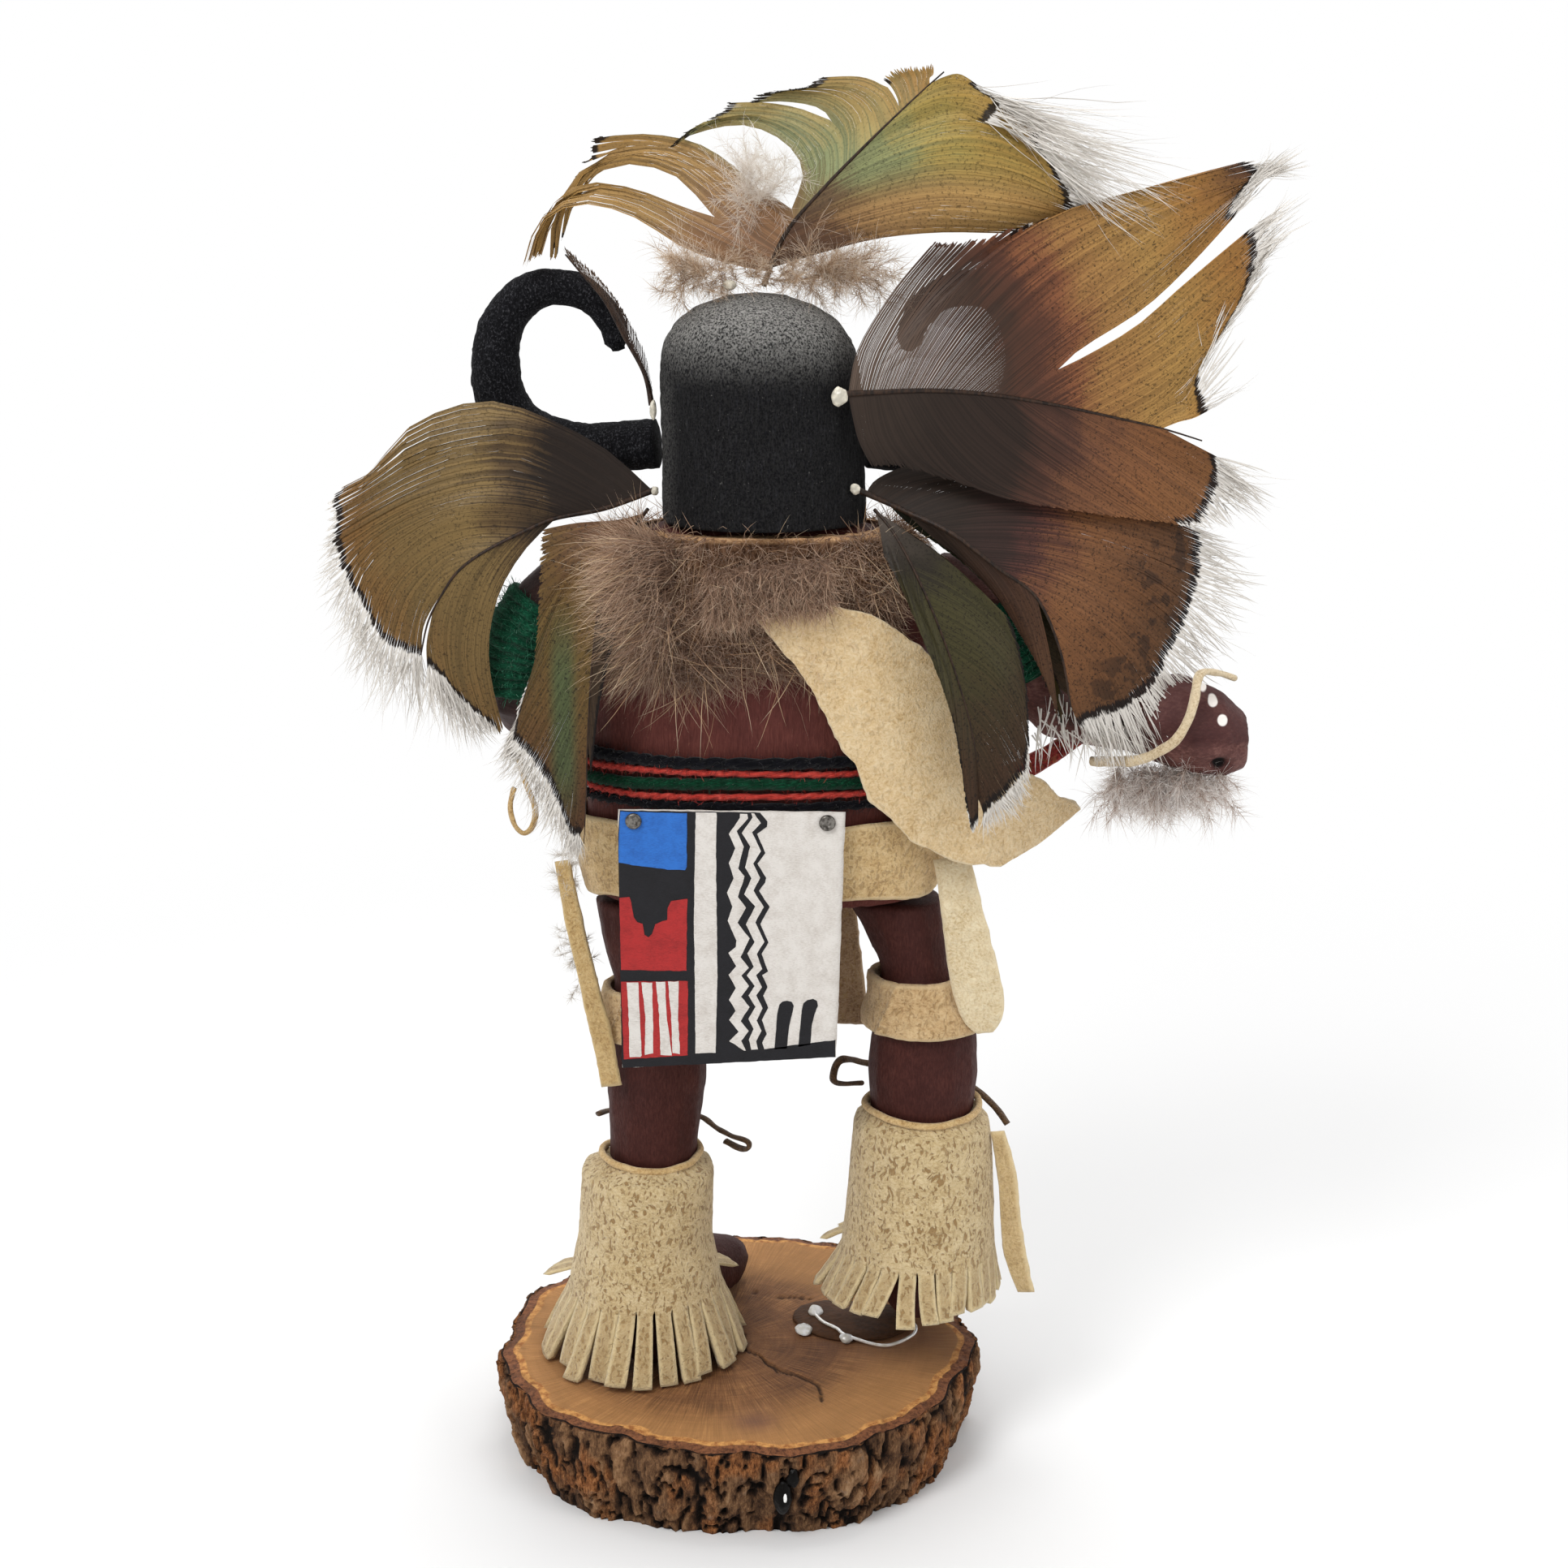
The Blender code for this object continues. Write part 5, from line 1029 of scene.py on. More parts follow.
def feather_material(name, stops, speck_zone, specks, cross, gloss=0.5, bars=0.0, far_stops=None,
                     far_zone=None, streak=None):
    """Turkey feather. traits: reach from the root over 80 mm, place from the dark edge, chance, share."""
    s = Shader(name, FEATHER_GLOW)
    reach, rim, chance, place = (s.trait(k) for k in range(4))
    wobble = s.around_middle(s.noise(5.0), 0.12)
    jitter = s.around_middle(chance, cross)
    where = s.math("ADD", s.math("ADD", reach, wobble), jitter, clamp=True)
    colour = s.ramp(where, stops)
    if far_stops:
        colour = s.mix(s.band(place, far_zone[1], far_zone[0], 1.0, 0.0), colour, s.ramp(where, far_stops))
    if streak:
        tint, across, height = streak
        here = s.times(window(s, s.part(s.place, 0), *across), window(s, s.part(s.place, 2), *height, 0.85))
        colour = s.mix(here, colour, tint)
    # Fine pale and dark lines, one a barb
    line = s.band(chance, 0.0, 1.0, 0.78, 1.16)
    colour = s.mix(1.0, colour, s.add("ShaderNodeCombineXYZ", {0: line, 1: line, 2: line}), "MULTIPLY")
    # Black pepper where the metal colours are
    grain = s.noise((0.42, 0.42, 0.42), 3.0, 0.75)
    zone = window(s, where, speck_zone[0] - 0.08, speck_zone[0], speck_zone[1], speck_zone[1] + 0.1)
    colour = s.mix(s.times(s.band(grain, 0.52, 0.66), s.times(zone, specks)), colour, (24, 17, 12))
    if bars:
        stripe = s.times(s.band(s.noise((3.0, 3.0, 3.0)), 0.52, 0.6), s.band(where, 0.5, 0.62))
        colour = s.mix(s.times(stripe, bars), colour, (26, 18, 15))
    # The dark edge, and beyond it the white ends
    uneven = s.math("MULTIPLY_ADD", s.math("SUBTRACT", s.noise(2.2), 0.5), 0.035, rim)
    colour = s.mix(s.times(s.band(uneven, 0.463, 0.478), FEATHER_EDGE_SHARE), colour, FEATHER_EDGE)
    colour = s.mix(s.band(uneven, 0.498, 0.512), colour, FEATHER_WHITE)
    s.join(colour, s.thin.inputs[0])
    rough = s.band(grain, 0.3, 0.7, gloss - 0.05, gloss + 0.1)
    return s.finish(colour, rough, Specular_IOR_Level=0.2)


def glue_material(name, colour, clear, rough=0.25, gloss=0.5):
    """Set glue or resin, clouded a little; clear is the share of light that passes."""
    s = Shader(name)
    cloud = s.band(s.noise(1.2, 3.0), 0.35, 0.65)
    tone = s.mix(cloud, colour, [min(255, c * 1.2) for c in colour])
    return s.finish(tone, rough, s.bump(s.noise(0.8), 0.3, 0.5), Transmission_Weight=clear,
                    Specular_IOR_Level=gloss)


def wood_material():
    """The cut face: saw marks that fan out, rings, cracks, a stain with a painted shadow under the right
    foot, and the ring under the bark.
    """
    s = Shader("cut_wood")
    crack, rim, stain_and_shadow, tone = (s.trait(k) for k in range(4))
    flat = s.vector("MULTIPLY", s.place, (1.0, 1.0, 0.0))
    centred = s.vector("SUBTRACT", flat, SAW_CENTRE)
    radius = s.add("ShaderNodeVectorMath", {0: centred}, output=1, operation="LENGTH")
    angle = s.math("ARCTAN2", s.part(centred, 1), s.part(centred, 0))
    polar = s.add("ShaderNodeCombineXYZ", {0: s.times(angle, 30.0), 1: radius, 2: 0.0})
    streak = s.noise((0.28, 7.0, 1.0), 3.0, 0.6, vector=polar)
    ring = s.noise((16.0, 0.7, 1.0), 3.0, 0.6, vector=polar)
    fine = s.noise(0.28, 3.0, 0.7)
    value = s.weigh(streak, 0.42, ring, 0.13)
    for layer, share in ((s.noise(11.0, 3.0, 0.6), 0.25), (fine, 0.14), (tone, 0.06)):
        value = s.math("MULTIPLY_ADD", layer, share, value)
    stops = ((0.36, (60, 37, 24)), (0.45, (98, 65, 41)), (0.54, (130, 89, 56)), (0.65, (172, 127, 80)))
    colour = s.ramp(value, stops)
    colour = s.mix(s.band(radius, 20.0, 33.0, 0.0, 0.42), colour, (206, 152, 92))
    # Darker where the stain is and where the painted shadow under the right foot falls
    colour = s.mix(s.times(stain_and_shadow, 0.62), colour, (92, 62, 60))
    ring_tone = s.ramp(s.noise((1.2, 1.2, 1.2), 3.0, 0.7), ((0.35, (150, 94, 50)), (0.6, (206, 152, 88))))
    colour = s.mix(s.band(rim, 0.30, 0.5), colour, ring_tone)
    inner = s.ramp(s.noise(0.7, 3.0, 0.7), ((0.35, (74, 42, 26)), (0.62, (132, 84, 54))))
    colour = s.mix(s.band(rim, 0.62, 0.72), colour, inner)
    colour = s.mix(s.times(crack, 0.92), colour, (36, 22, 13))
    return s.finish(colour, 0.72, s.bump(s.weigh(streak, 0.7, fine, 0.4), 0.28, 0.7),
                    Specular_IOR_Level=0.25)


def bark_material():
    """Rough plates with dark gaps. traits: height of the relief and chance."""
    s = Shader("bark")
    relief, chance = s.trait(0), s.trait(1)
    patch = s.noise((3.2, 3.2, 2.4), 4.0, 0.65)
    fine = s.noise((0.42, 0.42, 1.3), 4.0, 0.78, warp=0.6)
    height = s.math("MULTIPLY_ADD", s.math("SUBTRACT", fine, 0.5), 0.9, relief, clamp=True)
    stops = ((0.12, (16, 8, 4)), (0.3, (52, 34, 22)), (0.48, (94, 66, 44)), (0.68, (140, 104, 72)),
             (0.9, (172, 140, 106)))
    rust = s.ramp(fine, ((0.34, (48, 27, 15)), (0.5, (128, 78, 42)), (0.68, (178, 122, 76))))
    rusty = s.times(s.band(chance, 0.46, 0.68), s.band(relief, 0.25, 0.5))
    colour = s.mix(rusty, s.ramp(height, stops), rust)
    grey = s.times(s.band(patch, 0.56, 0.7), s.band(relief, 0.4, 0.7))
    colour = s.mix(s.times(grey, 0.4), colour, (112, 102, 92))
    return s.finish(colour, 0.9, s.bump(fine, 0.5, 0.9), Specular_IOR_Level=0.2)


def metal_pin():
    s = Shader("pin_steel")
    colour = s.ramp(s.noise(0.5, 3.0), ((0.35, (66, 62, 58)), (0.6, (128, 124, 118))))
    return s.finish(colour, 0.38, s.bump(s.noise(0.4), 0.08, 0.5), Metallic=0.85)


def plain_paint(name, colour, shade):
    """Acrylic paint on leather: slight brush streaks and a little unevenness."""
    s = Shader(name)
    streak = s.noise((0.5, 0.5, 0.16), 3.0, 0.6, warp=0.5)
    made = s.ramp(s.weigh(streak, 0.5, s.noise(2.8, 3.0, 0.6), 0.5), ((0.32, shade), (0.56, colour)))
    relief = s.math("MULTIPLY_ADD", s.noise((0.2, 0.2, 0.2), 3.0, 0.7), 0.5, streak)
    return s.finish(made, 0.6, s.bump(relief, 0.16, 0.7), Specular_IOR_Level=0.3)


# Feathers


# For each control barb: white fringe in millimetres, strength of the dark edge, looseness, and
# where it isn't 0, how see-through the barbs are near the quill
VANE_LOOKS = {
    "crown_feather": (
        ((1.5, 0.2, 0.1), (6, 0.9, 0.05), (12, 1, 0), (17, 1, 0), (22, 1, 0.05), (24, 1, 0.1),
         (24, 0.9, 0.2)),
        ((0.8, 0.3, 0.3), (0.8, 0.3, 0.25), (0.8, 0.6, 0.2), (0.8, 0.9, 0.2), (0.7, 0.9, 0.15),
         (0.7, 0.9, 0.15),
         (0.7, 1, 0.15), (0.7, 0.8, 0.2), (0.7, 0.3, 0.2), (0.7, 0.2, 0.15)),
    ),
    "feather_right_upper": (
        ((0.8, 0, 0.12, 0.25), (0.8, 0, 0.12, 0.25), (1.5, 0.4, 0.1, 0.22), (9, 1, 0.05, 0.2),
         (9, 1, 0.05, 0.18),
         (8, 1, 0.1, 0.1), (9, 0.9, 0.1), (9, 0.9, 0.1), (7, 0.8, 0.1), (7, 0.9, 0.1), (10, 1,
                                                                                        0.1), (10, 1, 0.1)),
        ((0.8, 0, 0.05, 0.1), (0.8, 0, 0.05), (0, 0, 0), (0, 0, 0), (0, 0, 0), (2, 0.6, 0), (9, 1, 0.05),
         (12, 1, 0.1), (12, 1, 0.1)),
    ),
    "feather_right_middle": (
        ((0, 0, 0), (6, 0.6, 0), (12, 0.9, 0), (13, 1, 0), (13, 1, 0), (13, 1, 0), (13, 1, 0.05),
         (12, 1, 0.05),
         (9, 1, 0.05)),
        ((0.3, 0.2, 0), (0.3, 0.2, 0), (0.3, 0.25, 0), (0.3, 0.5, 0)),
    ),
    "feather_right_under": (
        ((0, 0, 0), (1, 0.6, 0), (1, 0.7, 0), (5, 1, 0), (7, 1, 0.1), (6, 1, 0.1)),
        ((0.3, 0.3, 0), (0.3, 0.3, 0), (0.3, 0.4, 0), (0.3, 0.5, 0), (1, 0.6, 0), (2, 0.8, 0)),
    ),
    "feather_right_lower": (
        ((0.3, 0.4, 0), (0.3, 0.4, 0), (0.3, 0.5, 0), (1, 0.6, 0), (1, 0.6, 0), (1, 0.6, 0)),
        ((0.3, 0.3, 0), (0.3, 0.5, 0), (0.3, 0.6, 0), (0.5, 0.7, 0), (3, 0.7, 0.1), (5, 0.6, 0.2),
         (4, 0.6, 0.2)),
    ),
    "feather_left_middle": (
        ((0.8, 0.3, 0.1), (1.2, 0.5, 0.1), (1.8, 0.6, 0.12), (4, 1, 0.05), (8, 1, 0), (11, 1, 0),
         (12, 1, 0),
         (13, 1, 0), (13, 1, 0.05)),
        ((0.6, 0.2, 0), (3, 0.7, 0), (10, 1, 0), (12, 1, 0), (13, 1, 0.05)),
    ),
    "feather_left_lower": (
        ((0, 0, 0.1), (0.5, 0.2, 0), (1.5, 0.6, 0), (7, 1, 0), (8, 1, 0), (8, 1, 0), (6, 1, 0.1),
         (4, 1, 0.1)),
        ((0.2, 0.5, 0), (0.2, 0.6, 0), (0.2, 0.7, 0), (0.2, 0.8, 0)),
    ),
    "feather_left_upper": (
        ((0.8, 0, 0.2, 0.1), (0.8, 0, 0.2, 0.3), (0.8, 0, 0.2, 0.4), (0.8, 0, 0.3, 0.5),
         (0.8, 0, 0.3, 0.5)),
        ((0.8, 0, 0.2, 0.1), (0.8, 0, 0.2, 0.3), (0.8, 0, 0.2, 0.4), (0.8, 0, 0.3, 0.5),
         (0.8, 0, 0.3, 0.5)),
    ),
}
BARB_SPACING = 0.24
RIM_SPACING = 0.32
BARB_STATIONS = 13
# A feather seen edge on is narrower, and some quills hardly show
NARROWED = {"feather_left_upper": 0.4}
# Straight white barbs with little fluff between them
STRAIGHT = ("feather_right_middle", "feather_right_upper", "feather_right_under")
QUILL_SHARES = {"feather_left_lower": 0.55, "feather_right_lower": 0.6, "feather_right_under": 0.6}
# Hangs a little further out than its solid, in millimetres
NUDGED = {"feather_right_under": 3.2}
NUDGE_OVER = 14
# Barbs of the narrow vane that go down to the tip of the shaft
TIP_BARBS = {("feather_right_lower", 0): (
    ((36.2, -24.8, 130.5), (36.6, -25.2, 126.5), (36.9, -25.6, 121), (37.0, -25.8, 115.8)),
    ((37.5, -25, 117.2), (37.5, -25, 117.0), (37.5, -25.1, 116.8), (37.5, -25.1, 116.2)),
)}
FRINGE_STATIONS = 5


def feather_finishes():
    """Materials of the feathers: colours from the root outwards, over 80 mm, then the pepper."""
    crown_low = ((0.0, (78, 56, 42)), (0.16, (92, 66, 48)), (0.28, (150, 116, 74)), (0.5, (168, 134, 80)),
                 (0.68, (146, 108, 60)))
    crown_side = ((0.0, (118, 88, 66)), (0.14, (134, 100, 70)), (0.28, (150, 120, 76)),
                  (0.45, (152, 118, 66)),
                  (0.62, (134, 98, 54)), (0.8, (112, 78, 44)))
    return {
        "crown_feather": feather_material(
            "feather_crown",
            ((0.0, (62, 44, 34)), (0.13, (80, 58, 44)), (0.22, (98, 78, 52)), (0.29, (114, 118, 78)),
             (0.36, (124, 128, 84)), (0.44, (152, 134, 72)), (0.56, (156, 126, 64)), (0.68, (134, 98, 52))),
            (0.2, 0.9), 0.6, 0.05, far_stops=crown_low, far_zone=(0.45, 0.2),
        ),
        "crown_feather_left": feather_material(
            "feather_crown_left",
            ((0.0, (112, 84, 64)), (0.12, (124, 98, 70)), (0.2, (126, 116, 78)), (0.28, (126, 134, 96)),
             (0.38, (150, 134, 86)), (0.5, (146, 114, 64)), (0.62, (132, 96, 54)), (0.8, (110, 78, 48))),
            (0.22, 0.9), 0.35, 0.06, far_stops=crown_side, far_zone=(0.46, 0.34),
        ),
        "feather_right_upper": feather_material(
            "feather_upper",
            ((0.0, (86, 72, 62)), (0.14, (92, 76, 66)), (0.33, (62, 44, 35)), (0.40, (84, 52, 39)),
             (0.455, (122, 76, 50)), (0.53, (148, 108, 62)), (0.66, (160, 124, 68)), (0.8, (150, 106, 54)),
             (0.88, (88, 58, 36))),
            (0.44, 0.95), 0.75, 0.04,
        ),
        "feather_right_upper_low": feather_material(
            "feather_upper_low",
            ((0.0, (54, 43, 36)), (0.2, (40, 30, 24)), (0.36, (42, 30, 24)), (0.44, (72, 46, 36)),
             (0.5, (102, 66, 45)), (0.62, (122, 80, 48)), (0.78, (120, 80, 46)), (0.9, (84, 54, 34))),
            (0.48, 0.95), 0.7, 0.04,
        ),
        "feather_right_middle": feather_material(
            "feather_middle",
            ((0.0, (44, 34, 28)), (0.2, (40, 30, 24)), (0.31, (50, 34, 30)), (0.36, (74, 44, 38)),
             (0.41, (104, 66, 44)), (0.47, (118, 78, 48)), (0.58, (104, 68, 40)), (0.68, (84, 56, 34)),
             (0.8, (56, 38, 28))),
            (0.38, 0.95), 0.85, 0.04, bars=0.55,
        ),
        "feather_right_under": feather_material(
            "feather_under",
            ((0.0, (30, 26, 20)), (0.22, (34, 32, 18)), (0.4, (44, 44, 22)), (0.52, (66, 46, 28)),
             (0.7, (66, 42, 26)), (0.9, (44, 28, 20))),
            (0.3, 0.9), 0.7, 0.04,
        ),
        "feather_right_lower": feather_material(
            "feather_lower",
            ((0.0, (76, 66, 58)), (0.07, (62, 54, 47)), (0.15, (44, 38, 29)), (0.24, (58, 54, 30)),
             (0.36, (60, 55, 31)), (0.46, (58, 46, 28)), (0.58, (60, 41, 26)), (0.8, (48, 32, 22))),
            (0.12, 0.85), 0.8, 0.05,
        ),
        "feather_left_middle": feather_material(
            "feather_big",
            ((0.0, (48, 38, 32)), (0.12, (36, 27, 22)), (0.22, (36, 27, 21)), (0.29, (80, 62, 40)),
             (0.36, (118, 96, 58)), (0.5, (110, 88, 52)), (0.62, (112, 82, 45)), (0.78, (102, 68, 38))),
            (0.24, 0.95), 0.6, 0.05,
        ),
        "feather_left_lower": feather_material(
            "feather_side",
            ((0.0, (88, 62, 42)), (0.12, (104, 72, 47)), (0.22, (100, 74, 40)), (0.34, (96, 76, 40)),
             (0.46, (92, 68, 37)), (0.58, (82, 54, 32)), (0.7, (62, 40, 27))),
            (0.14, 0.85), 0.85, 0.05,
            streak=((70, 84, 54), (-29.4, -27.0, -25.8, -23.4), (112, 124, 136, 152)),
        ),
        "feather_left_lower_low": feather_material(
            "feather_side_inner",
            ((0.0, (70, 50, 36)), (0.3, (56, 42, 28)), (0.5, (52, 38, 26)), (0.7, (44, 30, 22))),
            (0.14, 0.85), 0.5, 0.05,
        ),
        "feather_right_middle_low": feather_material(
            "feather_middle_inner",
            ((0.0, (44, 34, 28)), (0.2, (44, 33, 26)), (0.36, (66, 44, 32)), (0.5, (82, 55, 36)),
             (0.62, (62, 42, 28))),
            (0.38, 0.95), 0.7, 0.04,
        ),
        "feather_right_under_low": feather_material(
            "feather_under_inner",
            ((0.0, (44, 42, 30)), (0.16, (44, 50, 32)), (0.3, (62, 68, 38)), (0.46, (76, 72, 38)),
             (0.6, (72, 54, 32)), (0.8, (48, 32, 22))),
            (0.2, 0.9), 0.7, 0.04,
        ),
        "feather_left_upper": feather_material(
            "feather_edge_on",
            ((0.0, (62, 47, 39)), (0.15, (54, 40, 33)), (0.3, (86, 68, 54)), (0.45, (112, 92, 74))),
            (0.2, 0.4), 0.3, 0.05, 0.55,
        ),
    }


def vane_barbs(shaft, barbs, looks, splits, rng):
    """Many barbs between the control ones: points (n, stations, 3), lengths, and three looks a barb."""
    shares = np.linspace(0, 1, len(shaft))
    starts = []
    rows = []
    grid = np.linspace(0, 1, BARB_STATIONS)
    for barb in barbs:
        nearest = np.linalg.norm(shaft - np.array(barb[0]), axis=1).argmin()
        starts.append(shares[nearest])
        smooth = curve(barb, 60)
        along = np.linspace(0, 1, 60)
        even = np.stack([np.interp(grid, along, smooth[:, k]) for k in range(3)], axis=1)
        rows.append(even - even[0])
    rows = np.array(rows)
    starts = np.maximum.accumulate(np.array(starts) + np.arange(len(starts)) * 1e-5)
    length = np.linalg.norm(np.diff(shaft, axis=0), axis=1).sum() * (starts[-1] - starts[0])
    tips = np.array([barb[-1] for barb in barbs])
    rim = np.linalg.norm(np.diff(tips, axis=0), axis=1)
    rim = np.delete(rim, [after for after, _ in splits]).sum()
    count = int(max(length / BARB_SPACING, rim / RIM_SPACING)) + 8
    places = np.linspace(0, 1, count) + rng.uniform(-0.25, 0.25, count) / count
    places = np.clip(places, 0, 1)
    # Part of the count follows the control barbs, so that short stretches of shaft get theirs too
    spread = np.interp(np.linspace(0, 1, len(starts)), np.linspace(0, 1, len(starts)), starts)
    by_shaft = starts[0] + (starts[-1] - starts[0]) * places
    by_index = np.interp(places * (len(starts) - 1), np.arange(len(starts)), spread)
    at = 0.55 * by_shaft + 0.45 * by_index
    index = np.interp(at, starts, np.arange(len(starts)))
    low = np.clip(np.floor(index).astype(int), 0, len(starts) - 2)
    mix = index - low
    t = grid[None, :]
    eased = np.repeat(mix[:, None], BARB_STATIONS, axis=1)
    for after, opens in dict(splits).items():
        inside = low == after
        side = np.where(mix < 0.5, mix * 0.12, 1 - (1 - mix) * 0.12)
        open_share = ease(opens - 0.08, opens + 0.22, t)
        blended = eased * (1 - open_share) + side[:, None] * open_share
        eased = np.where(inside[:, None], blended, eased)
    last = len(starts) - 1
    a = rows[np.clip(low - 1, 0, last)]
    b = rows[low]
    c = rows[low + 1]
    d = rows[np.clip(low + 2, 0, last)]
    for after in dict(splits):
        a = np.where((low - 1 == after)[:, None, None], b, a)
        d = np.where((low + 1 == after)[:, None, None], c, d)
    u = eased[..., None]
    straight = b + (c - b) * u
    cubic = 0.5 * (2 * b + (c - a) * u + (2 * a - 5 * b + 4 * c - d) * u**2
                   + (3 * b - a - 3 * c + d) * u**3)
    offsets = straight * 0.35 + cubic * 0.65
    root = np.stack([np.interp(at, shares, shaft[:, k]) for k in range(3)], axis=1)
    looks = np.array([(*row, 0)[:4] for row in looks], float)
    look = looks[low] * (1 - mix[:, None]) + looks[low + 1] * mix[:, None]
    return root[:, None] + offsets, np.concatenate((look, index[:, None] / last), axis=1)


def loosen(points, loose, rng):
    """Loose barbs wander a little, and their ends are not all equally long."""
    n = len(points)
    wander = np.stack([noise(points + rng.uniform(0, 90, (n, 1, 1)), 9.0, k) for k in range(3)], axis=-1)
    t = np.linspace(0, 1, BARB_STATIONS)[None, :, None]
    points = points + wander * loose[:, None, None] * 0.55 * t
    points = points + rng.normal(0, 0.03, (n, 1, 3)) * t
    end = 1 + rng.uniform(-0.012, 0.01, n) - 0.08 * loose * rng.uniform(0, 1, n)
    return points[:, :1] + (points - points[:, :1]) * end[:, None, None]


FRINGE_LIFT = np.array((0.0, 0.1, 0.0))


def grow_fringe(points, fringe, straight, rng):
    """The white end of each barb: the whole path and how far it grew."""
    n = len(points)
    steps = []
    here = points[:, -1]
    grown = np.where(fringe > 0.4, fringe * rng.uniform(0.45, 1.15, n), 0.35)
    heading = unit(unit(here - points[:, -3]) + rng.normal(0, 0.10, (n, 3)))
    sway = 0.07 if straight else 0.2
    for k in range(FRINGE_STATIONS):
        bend = sway * drift(here + 13 * k, 3.0, 40)
        heading = unit(heading + bend + rng.normal(0, 0.03, (n, 3)) + FRINGE_LIFT * 0.3)
        here = here + heading * (grown / FRINGE_STATIONS)[:, None]
        steps.append(here)
    return np.concatenate((points, np.stack(steps, axis=1)), axis=1), grown


def vane_face(paths):
    """The gap to the next barb, and directions out of the vane and along each barb."""
    ahead = np.roll(paths, -1, axis=0) - paths
    behind = paths - np.roll(paths, 1, axis=0)
    ahead[-1] = behind[-1]
    behind[0] = ahead[0]
    along = unit(np.gradient(paths, axis=1))
    ahead = ahead - along * (ahead * along).sum(-1, keepdims=True)
    behind = behind - along * (behind * along).sum(-1, keepdims=True)
    size_ahead = np.linalg.norm(ahead, axis=-1, keepdims=True)
    size_behind = np.linalg.norm(behind, axis=-1, keepdims=True)
    small = np.minimum(size_ahead, size_behind)
    large = np.maximum(size_ahead, size_behind)
    apart = (large > 3.2 * small) & (large > 0.7)
    gap = np.clip(np.where(apart, small, large), 0.0, 1.1)[..., 0]
    raw = ahead + behind
    raw = np.where(apart & (size_ahead < size_behind), ahead, raw)
    raw = np.where(apart & (size_ahead >= size_behind), behind, raw)
    # The flat side of the vane, evened over neighbours
    kernel = np.ones(9) / 9
    normal = np.cross(along, raw)
    flat = np.empty_like(normal)
    for k in range(paths.shape[1]):
        for axis in range(3):
            padded = np.pad(normal[:, k, axis], 4, mode="edge")
            flat[:, k, axis] = np.convolve(padded, kernel, mode="valid")
    flat = unit(flat)
    return gap, flat, along


def vane_widths(gap, loose, sheer, reach, straight, rng):
    """Half widths: barbs lie side by side, and their white ends are thin."""
    n, count = gap.shape
    share = np.linspace(0, 1, BARB_STATIONS)
    cover = 1.08 - 0.55 * loose[:, None] * ease(0.0, 0.35, share)[None]
    cover = cover - sheer[:, None] * (1 - ease(0.26, 0.38, reach[:, :BARB_STATIONS]))
    least = 0.16 - 0.12 * np.minimum(sheer * 2, 1)[:, None]
    half = np.zeros((n, count))
    half[:, :BARB_STATIONS] = 0.5 * np.clip(gap[:, :BARB_STATIONS], least, 1.1) * cover
    half[:, BARB_STATIONS - 1] *= 0.75
    white = np.linspace(0.13, 0.06 if straight else 0.035, FRINGE_STATIONS)
    half[:, BARB_STATIONS:] = white * rng.uniform(0.7, 1.2, (n, 1))
    return half


def vane_traits(reach, lengths, grown, fringe, edge, place, rng):
    """Reach from the root, place from the dark edge at 0.5, chance, and place along the vane."""
    n, count = reach.shape
    inside = np.linspace(-1, 0, BARB_STATIONS)[None] * lengths[:, None]
    beyond = np.linspace(1, FRINGE_STATIONS, FRINGE_STATIONS)[None] / FRINGE_STATIONS * grown[:, None]
    rim = 0.5 + np.concatenate((inside, beyond), axis=1) / 40
    rim = rim + rng.normal(0, 0.0035, (n, 1))
    plain = (edge < 0.5)[:, None]
    pale = (fringe > 0.9)[:, None]
    rim = np.where(plain & ~pale, np.minimum(rim, 0.45), rim)
    rim = np.where(~plain & ~pale, np.minimum(rim, 0.49), rim)
    chance = np.broadcast_to(rng.uniform(0, 1, (n, 1)), (n, count))
    run = np.broadcast_to(place[:, None], (n, count))
    return np.clip(np.stack((reach, rim, chance, run), axis=-1), 0, 1)


